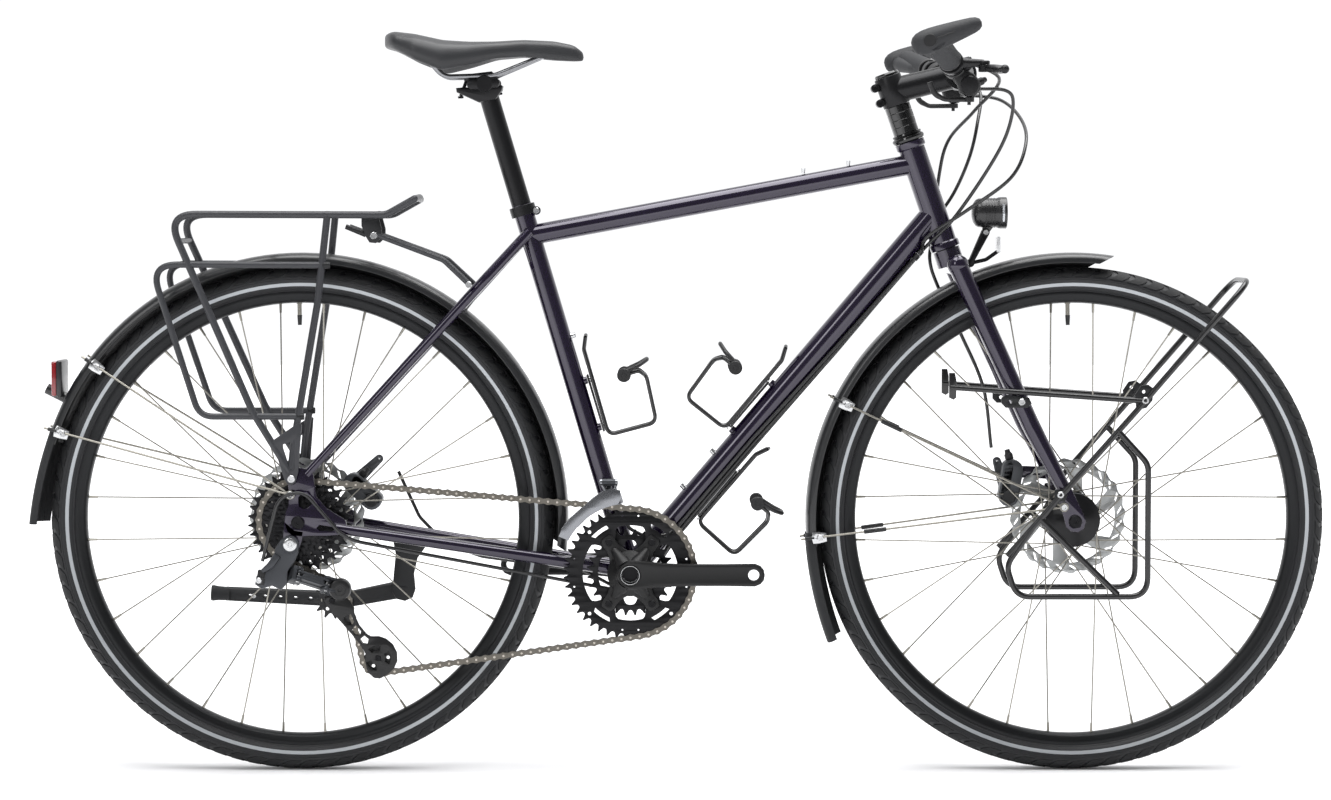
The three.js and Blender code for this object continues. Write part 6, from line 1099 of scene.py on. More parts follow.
bm, bright, dark = bmesh.new(), bmesh.new(), bmesh.new()
for up in (8.3, -8.3):
    link_plate(bm, [capsule((link_length, 0), (link_length + along_outer, across_outer), 5.6)], 4, up, 0.8)
    link_plate(bm, [[(link_length + 11, 5), (link_length + 2, 5.6), (link_length - 2, 2),
                     (link_length + 3, -6), (link_length, -16), (link_length + 11, -17)]], 4, up, 0.8)
link_plate(bm, [[(link_length + 11.6, 5), (link_length + 7, 5), (link_length + 7, -17),
                 (link_length + 11.6, -17)]], 20, 0, 1.2)
for along, across in ((link_length, 0), (link_length + along_outer, across_outer)):
    pin_at(bright, along, across, 10.6)
lathe(dark, [(5.8, -58.4), (14.2, -58.4), (14.8, -60), (14.8, -75.6), (13.6, -77.6), (11, -78.6),
             (8.4, -78.6), (7.8, -77.8), (5.8, -77.8)], cage_pivot, steps=48)
lathe(dark, [(0, -74), (5.8, -74), (5.8, -78), (3, -78), (2.6, -76.6), (0, -76.6)], cage_pivot, steps=24,
      closed=False)
solid("changer_cage_knuckle", bm, changer_grey, "satin_black_metal", "rear_derailleur_knuckle_body",
      "rear_derailleur_cage_knuckle")
solid("changer_knuckle_pins", bright, steel_bright, "stainless_steel", "rear_derailleur_knuckle_body",
      "rear_derailleur_cage_knuckle")
solid("changer_spring_housing", dark, changer_black, "satin_black_metal", "rear_derailleur_knuckle_body",
      "rear_derailleur_cage_knuckle")


# Cage plates: two pressed steel plates, drawn on the line between the pulleys: u runs along it from the
# guide pulley and v across it.
pulley_run = tension_place - guide_place
pulley_reach = pulley_run.length * 1000
run_line = pulley_run.normalized()
run_side = Vector((-run_line.z, 0, run_line.x))


def on_cage(u, v):
    """A place in millimetres on the cage, as the plate's own ahead and up."""
    place = (run_line * u + run_side * v)
    return (place.x, place.z)


outer_line = [(-9, -4), (-8, 5), (-3, 12), (6, 17), (16, 19), (26, 17), (36, 12), (50, 8.5), (64, 8),
              (72, 11), (79, 20), (88, 25.6), (100, 28), (112, 25.4), (122, 18), (127, 8), (128, -4),
              (126, -16), (120, -22), (108, -24), (94, -17), (86, -10), (72, -8), (58, -8), (44, -8.6),
              (30, -9), (14, -10), (0, -10.4), (-6, -8.6)]
inner_line = [(-9, -4), (-8, 5), (-2, 9.6), (8, 9), (22, 7.4), (50, 7), (78, 7.4), (88, 10), (96, 12.4),
              (106, 11), (111, 4), (111, -5), (106, -11.4), (96, -12.6), (88, -10.4), (78, -7.4), (50, -7),
              (22, -7.4), (8, -9.4), (0, -10)]
cut_outs = [[(31, 8.6), (42, 5), (44, 1), (38, -5.4), (31, -5.8), (28, 0)],
            [(47, 4.6), (58, 4.6), (62, 0), (56, -5), (49, -5)],
            [(66, 4.6), (73, 6), (78, 0), (73, -4.6), (66, -5)]]
shield = [[(u + pulley_reach, v) for u, v in swept(10.5, 17.6, start, start + 62, 0, 6)]
          for start in (22, 128, 252)]
bm = bmesh.new()
plate(bm, [[on_cage(u, v) for u, v in outer_line],
           *[[on_cage(u, v) for u, v in hole] for hole in cut_outs + shield],
           circle(*on_cage(0, 0), 2.9, 16), circle(*on_cage(pulley_reach, 0), 2.9, 16)], 2.2,
      out_to(guide_place, -52.6), 0.5)
plate(bm, [[on_cage(u, v) for u, v in inner_line],
           *[[on_cage(u, v) for u, v in hole] for hole in cut_outs[1:]]], 2,
      out_to(guide_place, -41.8), 0.4)
lathe(bm, [(0, -53), (11.6, -53), (12.2, -54), (12.2, -57.6), (0, -57.6)], cage_pivot, steps=36, closed=False)
bar(bm, out_to(cage_pivot, -57), out_to(cage_pivot, -67.8), 9.8, sides=20)
solid("changer_cage_plates", bm, changer_black, "black_steel", "rear_derailleur_cage_body",
      "rear_derailleur_cage")
bm = bmesh.new()
for place in (guide_place, tension_place):
    bar(bm, out_to(place, -41.4), out_to(place, -52.8), 5.8, sides=16)
    bolt(bm, out_to(place, -53.6), (0, -1, 0), 7.6, 1.8)
solid("changer_pulley_bolts", bm, axle_black, "black_steel", "rear_derailleur_cage_body",
      "rear_derailleur_cage")
for name, place, phase in (("guide", guide_place, phases[2]), ("tension", tension_place, phases[3])):
    bm = bmesh.new()
    holes = ring_of_holes(13.6, range(0, 360, 60), 2.4, 12)
    plate(bm, [toothed(11, phase), circle(0, 0, 7.4, 24), *holes], 2, out_to(place, chain_out), 0.3)
    lathe(bm, [(3.6, -3.4), (7.8, -3.4), (7.8, 3.4), (3.6, 3.4)], out_to(place, chain_out), steps=28)
    solid(f"{name}_pulley_wheel", bm, pulley_black, "black_plastic", f"{name}_pulley_body", f"{name}_pulley")


# Front derailleur: a bright band on the seat tube, a link on lengthwise pins, and a polished cage whose
# two plates are joined fore and aft round the chain.

# Polished steel that mirrors the studio
cage_silver = surface("polished_cage_steel", "8e9094", 0.26, metallic=1.0, shade=0.12, grain=0.4)
low_pin = near(crank_centre, -30, 105, -25)
high_pin = near(crank_centre, -30, 125, -38)
bm, bright = bmesh.new(), bmesh.new()
lathe(bright, [(14.5, -7), (17, -7), (17.6, -6.4), (17.6, 6.4), (17, 7), (14.5, 7)], up_seat(100), seat_line,
      steps=36)
for end in (1, -1):
    ear_place = low_pin + Vector((end * 0.0108, 0, 0))
    rod(bm, ear_place, (1.5, 0, 0), 10, 20)
    tube(bm, [ear_place, up_seat(103) + Vector((-0.012 + end * 0.006, -0.012, 0))], 6, 0, 12)
rod(bm, low_pin, (12.8, 0, 0), 5, 16)
solid("changer_band", bright, cage_silver, "stainless_steel", "frame_body", "front_derailleur_clamp")
solid("changer_band_ears", bm, changer_grey, "satin_black_metal", "frame_body", "front_derailleur_clamp")
bm = bmesh.new()
for place in (low_pin, high_pin):
    lathe(bm, [(3.2, -9), (5, -9), (5, 9), (3.2, 9)], place, (1, 0, 0), steps=24)
bar(bm, low_pin.lerp(high_pin, 0.2), low_pin.lerp(high_pin, 0.8), 8, sides=16)
solid("front_changer_link", bm, changer_grey, "grey_alloy", "front_derailleur_link_body",
      "front_derailleur_link")
bm = bmesh.new()
arc = [(97 * math.cos(math.radians(a)), 97 * math.sin(math.radians(a))) for a in range(100, 153, 4)]
cage_side = arc + [(-99, 51), (-95, 62), (-84, 76), (-68, 90), (-52, 104), (-38, 114), (-26, 117), (-14, 114),
                   (-13, 104)]
slots_in_side = [[(-78, 66), (-66, 80), (-50, 94), (-46, 90), (-60, 76), (-72, 64)]]
plate(bm, [cage_side], 1.6, near(crank_centre, 0, 0, -53), 0.4)
plate(bm, [cage_side, *slots_in_side], 1.6, near(crank_centre, 0, 0, -41), 0.4)
for x, z in ((-92, 52), (-28, 108)):
    bar(bm, near(crank_centre, x, z, -40.4), near(crank_centre, x, z, -53.6), 5, sides=16)
for end in (1, -1):
    ear_place = high_pin + Vector((end * 0.0108, 0, 0))
    rod(bm, ear_place, (1.5, 0, 0), 10, 20)
    tube(bm, [ear_place, near(crank_centre, -28 + end * 5, 112, -41)], 4.6, 0, 12)
rod(bm, high_pin, (12.8, 0, 0), 5, 16)
solid("front_changer_cage", bm, cage_silver, "stainless_steel", "front_derailleur_cage_body",
      "front_derailleur_cage")


# Kickstand leg: a black forged knee and a telescopic shank with a row of adjusting holes, a bright
# stop screw and a flared rubber foot; folded up along the chainstay.
leg_lean = Matrix.Rotation(math.radians(25), 4, "X")
leg_middle = stand_pivot + leg_lean @ Vector((0, 0.013, 0))


def on_leg(x, z, out=0.0):
    """A place on the leg, in millimetres ahead of and above its pivot and out from its middle."""
    return leg_middle + leg_lean @ Vector((x, out, z)) / 1000


bm, bright, foot = bmesh.new(), bmesh.new(), bmesh.new()
knee, tip = (-81, -18), (-275, -7)
thigh = capsule((0, 0), knee, 13, 11.5)
holes = [circle(knee[0] + (tip[0] - knee[0]) * share, knee[1] + (tip[1] - knee[1]) * share, 2.8, 12)
         for share in (0.16, 0.27, 0.38, 0.49, 0.6, 0.71)]
plate(bm, [thigh, circle(0, 0, 5.6, 20)], 8, leg_middle, 1.6, leg_lean)
plate(bm, [capsule(knee, (-252, -8.3), 11.5, 10), *holes], 8, leg_middle, 1.4, leg_lean)
lathe(foot, [(0, -2), (9.4, -2), (9.8, 4), (10.2, 14), (11.4, 21), (10.8, 24), (0, 24)], on_leg(-250, -8.4),
      on_leg(*tip) - on_leg(*knee), steps=20, closed=False)
bolt(bright, on_leg(knee[0] - 10, knee[1] + 1, -4), leg_lean @ Vector((0, -1, 0)), 7, 1)
bolt(bright, on_leg(-214, -10, -4), leg_lean @ Vector((0, -1, 0)), 7, 1)
bar(foot, on_leg(0, 0, -4.4), on_leg(0, 0, -6), 15, 14, sides=24)
solid("kickstand_leg_shank", bm, stand_black, "satin_black_metal", "kickstand", "kickstand_leg")
solid("kickstand_stop_screw", bright, steel_bright, "stainless_steel", "kickstand", "kickstand_leg")
solid("kickstand_rubber_foot", foot, flap_rubber, "grip_rubber", "kickstand", "kickstand_leg")


# Stem and headset: a satin black forged stem on gloss spacers, closed by a cap; two clamp bolts at the
# back of it and four on the bar clamp's face plate.

# Satin dyed black with crisp highlights
stem_black = surface("satin_black_anodised_stem", "1a1a1c", 0.34, metallic=0.55, shade=0.12, grain=0.4,
                     depth=0.01)
# Polished black with mirror-like highlights
ring_gloss = surface("gloss_black_headset_ring", "121213", 0.16, metallic=0.3, coat=0.6, shade=0.1)
bar_centre = near(front_axle, -157.32, 617.73)
stem_axis = up_head(629)
bm, gloss, bolts = bmesh.new(), bmesh.new(), bmesh.new()
lathe(gloss, [(14.6, 555.2), (19.6, 555.2), (22, 556.4), (23, 559.2), (22.2, 562), (19.8, 563.6), (20.8, 565),
              (20.2, 567.4), (14.6, 567.4)], head_foot, head_line, steps=48)
stack = [(14.6, 567.6)]
for low in (567.6, 577.6, 587.6, 597.6):
    stack += [(17.6, low), (18, low + 0.5), (18, low + 9.5), (17.6, low + 10)]
lathe(gloss, stack + [(14.6, 607.6)], head_foot, head_line, steps=48)
lathe(bm, [(14.6, 608), (18.4, 608), (19, 609), (19, 649), (18.4, 650), (14.6, 650)], head_foot, head_line,
      steps=44)
lathe(gloss, [(0, 650.3), (16.4, 650.3), (17.4, 651.2), (17.4, 653), (16, 655.2), (5, 656), (4, 654.4),
              (0, 654.4)], head_foot, head_line, steps=40, closed=False)
stem_run = (bar_centre - stem_axis).normalized()
tube(bm, [stem_axis + stem_run * 0.006, stem_axis.lerp(bar_centre, 0.5), bar_centre - stem_run * 0.012],
     [36, 35, 35], 0, 32)
lathe(bm, [(16.2, -21.4), (20.6, -21.4), (21.8, -20), (21.8, 20), (20.6, 21.4), (16.2, 21.4)], bar_centre,
      steps=44)
stem_up = Vector((-stem_run.z, 0, stem_run.x))
for side in (1, -1):
    for away in (17, -17):
        foot_place = bar_centre + stem_run * 0.0135 + stem_up * away / 1000 + Vector((0, side * 0.014, 0))
        bar(bm, foot_place - stem_run * 0.013, foot_place + stem_run * 0.003, 8.4, sides=16)
        bolt(bolts, foot_place + stem_run * 0.003, stem_run, 6.6, 3)
for along in (618, 640):
    back = up_head(along) - Vector((head_line.z, 0, -head_line.x)) * 0.0215
    bar(bm, out_to(back, 11), out_to(back, -11), 11.6, sides=20)
    bolt(bolts, out_to(back, -11), (0, -1, 0), 8, 2.4)
solid("stem_body", bm, stem_black, "satin_black_metal", "steering", "stem")
solid("stem_spacers_and_cap", gloss, ring_gloss, "gloss_black_metal", "steering", "stem")
solid("stem_bolts", bolts, axle_black, "black_steel", "steering", "stem")

# Handlebar: one satin black alloy tube, thick at the clamp, swept back to the grips
bar_knee, bar_end = (-15, 3, 120), (-58, 34, 300)


def on_bar(share, side):
    """A place on the bar's axis: 0 at its bend, 1 at its end."""
    x, z, y = [a + (b - a) * share for a, b in zip(bar_knee, bar_end)]
    return near(bar_centre, x, z, side * y)


bm = bmesh.new()
line = [on_bar(1, -1), on_bar(0, -1), near(bar_centre, 0, 0, -42), near(bar_centre, 0, 0, 42), on_bar(0, 1),
        on_bar(1, 1)]
tube(bm, line, [22.2, 22.2, 31.8, 31.8, 22.2, 22.2], 60, 40)
solid("handlebar_tube", bm, stem_black, "satin_black_metal", "steering", "handlebar")


# Grips: soft grey-black rubber with fine ribs and a palm wing behind, each ended by one rounded horn that
# points ahead, with a black disc and a slot on its outer face; a black clamp ring at the inner end.

# Soft dark grey with a leathery grain and no sharp highlight
grip_rubber = surface("soft_grey_black_rubber", "26272a", 0.66, shade=0.15, grain=1.1, depth=0.12)
for side, hand in ((-1, "right"), (1, "left")):
    bm, rings = bmesh.new(), bmesh.new()
    run = (on_bar(1, side) - on_bar(0, side)).normalized()
    start = on_bar(0.36, side)
    length = (on_bar(1, side) - start).length * 1000
    ribs = [(11.3, 0), (15, 0)]
    for i in range(int(length // 4)):
        ribs += [(15.7, i * 4 + 1), (15.7, i * 4 + 2.6), (15.2, i * 4 + 3.2), (15.2, i * 4 + 3.8)]
    ribs += [(15, length), (11.3, length)]
    lathe(bm, ribs, start, run, steps=36)
    wing = [on_bar(share, side) + Vector((-back, 0, -down)) / 1000
            for share, back, down in ((0.42, 7, 1), (0.56, 12, 2.6), (0.78, 15, 3.6), (0.94, 12, 3))]
    tube(bm, wing, [10, 15, 20, 21], 50, 20)
    end_place = out_to(near(on_bar(1, side), -6, -2), side * 291)
    lathe(bm, [(0, -24), (6, -23.2), (11, -20), (14.6, -14), (16.2, -6), (16.4, 4), (15.4, 18), (13.8, 34),
               (12.2, 48), (10.6, 60), (8.8, 67), (5.4, 71.4), (0, 73)], end_place, (0.94, 0, 0.34), steps=36,
          closed=False)
    lathe(rings, [(0, 14.6), (8, 14.6), (8.6, 15.4), (8, 16.7), (0, 16.7)], end_place, (0, side, 0), steps=28,
          closed=False)
    bar(rings, near(end_place, 9, 3.4, side * 15.6), near(end_place, 32, 11.6, side * 13.6), 1.8, sides=8)
    lathe(rings, [(11.3, -6.4), (15.2, -6.4), (16, -5.4), (16, -1.2), (15.2, -0.2), (11.3, -0.2)], start, run,
          steps=36)
    solid(f"grip_{hand}_rubber", bm, grip_rubber, "grip_rubber", "steering", f"grip_{hand}")
    solid(f"grip_{hand}_end_rings", rings, knob_black, "black_plastic", "steering", f"grip_{hand}")


# Brake levers and shifters: forged clamps round the bar with a screw, a curved two-finger blade on an
# upright pin, a moulded pod inboard of it and a thumb lever under the pod.

# Cast and painted satin black, with a slight skin
lever_black = surface("satin_black_cast_lever", "1c1c1e", 0.38, metallic=0.4, shade=0.15, grain=0.5,
                      depth=0.02)
for side, hand in ((-1, "right"), (1, "left")):
    clamp = on_bar(0.22, side)
    lever_pivot = near(clamp, 44, -8)
    bm, screws = bmesh.new(), bmesh.new()
    run = (on_bar(1, side) - on_bar(0, side)).normalized()
    lathe(bm, [(11.3, -6), (15.6, -6), (16.8, -5), (16.8, 5), (15.6, 6), (11.3, 6)], clamp, run, steps=40)
    lathe(bm, [(0, 5.4), (6, 5.4), (7.8, 6), (7.8, 9.4), (6.6, 10.4), (0, 10.4)], lever_pivot, (0, 0, 1),
          steps=28, closed=False)
    tube(bm, [near(clamp, 13.5, -1), near(lever_pivot, -16, 7), near(lever_pivot, 0, 7.8)], [15, 12, 8], 14,
         20)
    bar(bm, near(lever_pivot, 0, -5), near(lever_pivot, 0, 6), 4.8, sides=16)
    bolt(screws, near(clamp, -4, 15.5), (-0.25, 0, 1), 6.6, 2)
    lathe(screws, [(0, 0), (5.6, 0), (6.2, 1), (6.2, 8), (5, 9.4), (3.6, 13), (0, 13)],
          near(clamp, 18, -4, -side * 7), Vector((0.7, -side * 0.7, -0.1)), steps=20, closed=False)
    solid(f"brake_lever_{hand}_bracket", bm, lever_black, "satin_black_metal", "steering",
          f"brake_lever_body_{hand}")
    solid(f"brake_lever_{hand}_adjuster", screws, axle_black, "black_steel", "steering",
          f"brake_lever_body_{hand}")
    bm = bmesh.new()
    lathe(bm, [(2.9, -4.8), (7, -4.8), (7.8, -4), (7.8, 4), (7, 4.8), (2.9, 4.8)], lever_pivot, (0, 0, 1),
          steps=28)
    blade = [(5, 5, 0), (16, 24, -2), (18.5, 50, -3.5), (17.5, 80, -4.6), (19, 91, -4.8)]
    tube(bm, [near(lever_pivot, x, z, side * y) for x, y, z in blade], [10.6, 12, 11.6, 11, 11.6], 30, 20)
    bmesh.ops.create_uvsphere(bm, u_segments=20, v_segments=10, radius=0.006,
                              matrix=Matrix.Translation(near(lever_pivot, 19.2, -4.8, side * 92)))
    solid(f"brake_lever_{hand}_blade", bm, lever_black, "satin_black_metal", f"brake_lever_{hand}_body",
          f"brake_lever_{hand}")

    bm, caps = bmesh.new(), bmesh.new()
    bar_place = on_bar(0.08, side)
    pod = near(bar_place, 20, -26)
    lathe(bm, [(11.3, -9), (15.4, -9), (16.8, -7.6), (16.8, 7.6), (15.4, 9), (11.3, 9)], bar_place, run,
          steps=40)
    plate(bm, [[(8, -6), (16, -4), (26, -10), (35, -21), (35.4, -32), (28, -40.4), (18, -41.4), (7, -36),
                (4, -26), (-3, -15), (0, -10)]], 19, bar_place, 4.6)
    for face in (side, -side):
        lathe(caps, [(0, 0), (12.4, 0), (13, 1), (12.2, 2.2), (4, 3), (0, 3)], near(pod, 0, 0, face * 9.3),
              (0, face, 0), steps=36, closed=False)
    bar(bm, near(pod, 0, -26), near(pod, 0, -13), 4.8, sides=16)
    lathe(caps, [(0, 0), (4.8, 0), (5.4, 1), (5.4, 7), (4.4, 8.4), (3.4, 13), (0, 13)], near(pod, 12, 4),
          Vector((0.75, -side * 0.35, 0.35)), steps=20, closed=False)
    solid(f"shifter_{hand}_pod", bm, knob_black, "black_plastic", "steering", f"shifter_{hand}")
    solid(f"shifter_{hand}_covers", caps, lever_black, "satin_black_metal", "steering", f"shifter_{hand}")
    bm = bmesh.new()
    top = near(pod, 0, -15.3)
    lathe(bm, [(2.9, -6.6), (6.4, -6.6), (7, -6), (7, -0.8), (6.4, 0), (2.9, 0)], top, (0, 0, 1), steps=24)
    thumb = [(-5, -3.5, 1), (-34, -3.5, 8), (-48, 4, 10.6), (-54, 20, 12)]
    tube(bm, [near(top, x, z, side * y) for x, z, y in thumb], [6.4, 6.4, 7.6, 7.4], 16, 18)
    solid(f"shift_thumb_lever_{hand}_paddle", bm, knob_black, "black_plastic", f"thumb_lever_{hand}_body",
          f"shift_thumb_lever_{hand}")


# Headlight: a black barrel with a clear lens and a pale rim ahead, on a tilting neck; its black bracket
# stands on the fork crown, and a bent wire ahead of it carries a white reflector.
def rounded_box(bm, size, round_off, place, segments=2):
    """A box with rounded edges, in millimetres, set at a place and turn."""
    part = bmesh.new()
    bmesh.ops.create_cube(part, size=1.0)
    bmesh.ops.scale(part, vec=Vector(size) / 1000, verts=part.verts)
    bmesh.ops.bevel(part, geom=part.edges, offset=round_off / 1000, segments=segments, profile=0.5,
                    affect="EDGES", material=-1)
    put(bm, part, place)


# Smooth moulded black with a thin gloss
lamp_black = surface("satin_black_lamp_housing", "18181a", 0.36, coat=0.3, shade=0.12, grain=0.5)
# A pale glassy face broken up by facets, drawn coarser than the real ones
lens_clear = surface("moulded_clear_lens", "c9cdd2", 0.12, metallic=0.5, coat=1.0, shade=0.2, grain=2.2,
                     depth=0.25)
# White prisms under a clear face, drawn coarser than the real ones
reflector_white = surface("white_prism_reflector", "d6d7d8", 0.2, metallic=0.1, coat=1.0, shade=0.1,
                          grain=2.0, depth=0.3)
lamp_pivot = landmarks["headlight_tilt"]
barrel_back = near(lamp_pivot, -15, 27)
bm, lens = bmesh.new(), bmesh.new()
lathe(bm, [(0, -4), (7, -4), (13, -2.4), (18, 1), (20, 5), (20.4, 12), (20.4, 30), (21.6, 33), (22, 36),
           (22, 43.4), (21.2, 44.2), (20, 44.2), (20, 38), (0, 38)], barrel_back, (1, 0, 0), steps=48,
      closed=False)
for hand in (1, -1):
    tube(lens, [near(barrel_back, 38.6, 22.2 * math.sin(a), hand * 22.2 * math.cos(a))
                for a in (-0.55, -0.28, 0, 0.28, 0.55)], 3.6, 0, 12)
for along in (14, 18, 22, 26):
    lathe(bm, [(20.2, along), (20.9, along + 0.5), (20.9, along + 1.6), (20.2, along + 2.1)], barrel_back,
          (1, 0, 0), steps=48)
lathe(lens, [(0, 38.2), (19.8, 38.2), (19.8, 42), (17, 44.6), (9, 46), (0, 46)], barrel_back, (1, 0, 0),
      steps=48, closed=False)
plate(bm, [[(-5, 0), (-4, -4), (0, -5.6), (4, -4), (5.4, 0), (13, 10), (15, 20), (2, 20), (-4, 8)],
           circle(0, 0, 2.7, 16)], 8, lamp_pivot, 1.2)
solid("headlight_housing", bm, lamp_black, "black_plastic", "headlight_body", "headlight")
solid("headlight_lens", lens, lens_clear, "stainless_steel", "headlight_body", "headlight")
bm, screw, plate_bm = bmesh.new(), bmesh.new(), bmesh.new()
wire_knee = near(front_axle, -142, 356)
crown_front = near(front_axle, -168.3, 353.6)
tube(bm, [near(front_axle, -148, 354, -9), near(front_axle, -158, 353.8, -9)], 8, 0, 14)
bar(bm, crown_front + Vector((0.0172, 0, 0)), wire_knee, 11.6, sides=20)
bar(bm, out_to(wire_knee, -7), out_to(wire_knee, 7), 11, sides=20)
for side in (1, -1):
    plate(bm, [capsule((0, 0), (-21, -43), 5.6, 3.4), circle(0, 0, 2.4, 14)], 3,
          out_to(lamp_pivot, side * 5.8), 0.6)
bar(bm, out_to(lamp_pivot, -7), out_to(lamp_pivot, 7), 4.8, sides=16)
tube(bm, [wire_knee, near(front_axle, -120, 361), near(front_axle, -103, 373)], 5.4, 12, 14)
bolt(screw, out_to(lamp_pivot, -7.3), (0, -1, 0), 8, 2.4)
rounded_box(plate_bm, (4.5, 33, 22), 1.2, Matrix.Translation(near(front_axle, -103.6, 382)))
solid("headlight_wire_bracket", bm, axle_black, "black_steel", "steering", "headlight_bracket")
solid("headlight_pivot_screw", screw, steel_bright, "stainless_steel", "steering", "headlight_bracket")
solid("headlight_reflector", plate_bm, reflector_white, "stainless_steel", "steering", "headlight_bracket")


# Rear lamp: a ruby lens with moulded prisms, set in a black plastic housing that stands behind the
# mudguard on a short foot.

# Deep ruby under a clear face, its prisms drawn coarser than the real ones
lens_red = surface("ruby_red_lens", "8e1018", 0.14, coat=1.0, shade=0.35, grain=2.0, depth=0.2)
lamp_centre = near(rear_axle, -338.5, 196)
for name, material, slot, ahead, size, round_off in (
        ("rear_lamp_housing", lamp_black, "black_plastic", 3.4, (8, 59, 51), 3.2),
        ("rear_lamp_lens", lens_red, "lamp_red", -3.6, (7.4, 56, 48), 2.6)):
    bm = bmesh.new()
    rounded_box(bm, size, round_off, Matrix.Translation(near(lamp_centre, ahead, 0)), 4)
    if name == "rear_lamp_housing":
        tube(bm, [at_angle(rear_axle, guard_radius + 0.6, 153), at_angle(rear_axle, 400, 153)], 15, 0, 20)
    solid(name, bm, material, slot, "frame_body", "rear_light")


# Bottle cages: bent gloss black wire on a base plate, each wire closed by a round stop, with a strap
# across the front; two bolts hold each to its tube.
for name, low, high in zip(("seat_tube", "down_tube", "underside"), bosses[0::2], bosses[1::2]):
    run, out, radius = (high[0] - low[0]).normalized(), low[1], low[2]
    middle = low[0].lerp(high[0], 0.5) + out * (radius + 4.3) / 1000
    bm, stops = bmesh.new(), bmesh.new()

    def on_cage_wire(along, away, y):
        """A place in millimetres up the cage, out from the tube and across."""
        return middle + (run * along + out * away) / 1000 + Vector((0, y / 1000, 0))

    for hand in (1, -1):
        tube(bm, [on_cage_wire(*place) for place in (
            (92, 14, hand * 8), (76, 7, hand * 8), (-48, 6, hand * 8), (-50, 75, hand * 11),
            (16, 80, hand * 13), (27, 72, hand * 30), (27, 54, hand * 38))], 5.4, 12, 14)
        lathe(stops, [(0, -3.6), (8.6, -3.6), (9.6, -2.4), (9.6, 2.4), (8.6, 3.6), (4, 3.6), (3.6, 3),
                      (0, 3)], on_cage_wire(27, 51, hand * 39), (0, hand, 0), steps=28, closed=False)
    tube(bm, [on_cage_wire(92, 14, 8), on_cage_wire(95, 15.6, 0), on_cage_wire(92, 14, -8)], 5.4, 8, 14)
    tube(stops, [on_cage_wire(*place) for place in (
        (31, 52, 39), (34, 74, 36), (38, 87, 18), (38, 87, -18), (34, 74, -36), (31, 52, -39))], 6, 14, 12)
    turn = Matrix((out, run.cross(out), run)).transposed().to_4x4()
    rounded_box(bm, (2.8, 21.5, 83), 0.9, Matrix.Translation(on_cage_wire(0, 1.5, 0)) @ turn)
    solid(f"bottle_cage_{name}_wire", bm, rack_gloss, "gloss_black_metal", "frame_body",
          f"bottle_cage_{name}")
    solid(f"bottle_cage_{name}_strap", stops, knob_black, "gloss_black_metal", "frame_body",
          f"bottle_cage_{name}")

# Spare bosses: three bright bolts in unused bosses, and two small cable stops on top of the top tube
spare = bmesh.new()
cage_high, cage_low = bosses[1][0], bosses[2][0]
for place, away, radius in ((cage_high + seat_line * 0.065, ahead_of_seat, seat_radius),
                            (cage_low - down_line * 0.041, up_from_down, down_radius),
                            (cage_low - down_line * 0.105, up_from_down, down_radius)):
    bar(spare, place + away * (radius - 1) / 1000, place + away * (radius + 3) / 1000, 8.6, 7.4, 16)
    bolt(spare, place + away * (radius + 3) / 1000, away, 7.4, 3)
for x, z in ((697.5, 481.6), (760, 492.4)):
    bar(spare, near(rear_axle, x, z - 1), near(rear_axle, x, z + 6), 5, 6.4, 14)
solid("spare_boss_bolts", spare, steel_bright, "stainless_steel", "frame_body", "frame")


# Seat: satin black post with a two-bolt rail clamp, steel rails, and a padded saddle with a textured
# dark grey cover over a moulded black shell.

# Dark grey with a pebbled grain and a soft light on the crown
saddle_cover = surface("dark_grey_textured_cover", "232427", 0.52, coat=0.1, shade=0.2, grain=1.3, depth=0.1)
# Brushed rod, pale with a long highlight
rail_steel = surface("brushed_steel_rail", "8f9093", 0.3, metallic=0.95, shade=0.12, grain=0.4)
seat_head = up_seat(706)
bm, bolts = bmesh.new(), bmesh.new()
tube(bm, [up_seat(423), up_seat(690)], 27.2, 0, 40)
plate(bm, [[(-40, -6), (-39, -12), (-30, -16), (-8, -26), (15, -22), (24, -9), (25, -3), (20, 0), (-4, -5),
            (-30, -5)]], 30, seat_head, 2.6)
plate(bm, [[(-30, 8), (-24, 13), (10, 17), (14, 12), (10, 6), (-28, 3)]], 38, seat_head, 2.4)
tube(bm, [up_seat(682), up_seat(700)], [27.2, 24], 0, 32)
lathe(bm, [(0, -26.6), (10.6, -26.6), (12, -25), (12, -19), (9, -16), (8.4, -10), (9, -4), (9, 4), (8.4, 10),
           (9, 16), (12, 19), (12, 25), (10.6, 26.6), (0, 26.6)], seat_head, (0, 1, 0), steps=32,
      closed=False)
for side in (1, -1):
    plate(bm, [capsule((-17, -1), (14, 1), 7.4)], 9, out_to(seat_head, side * 22), 2)
for x, low, high in ((-34, -17, 10), (20, -12, 12)):
    bar(bolts, near(seat_head, x, low), near(seat_head, x * 0.7, high), 5, sides=14)
    bolt(bolts, near(seat_head, x, low), (0, 0, -1), 8, 3)
solid("seatpost_tube", bm, stem_black, "satin_black_metal", "seat_body", "seatpost")
solid("seatpost_clamp_bolts", bolts, axle_black, "black_steel", "seat_body", "seatpost")
rail_half = [(-84, 40, 36), (-57, 9, 22), (15, 11, 22), (80, 38, 9)]
bm = bmesh.new()
line = rail_half + [(x, z, -y) for x, z, y in reversed(rail_half)]
tube(bm, [near(seat_head, *place) for place in line], 7, 24, 20)
solid("saddle_rails_wire", bm, rail_steel, "stainless_steel", "seat_body", "saddle_rails")

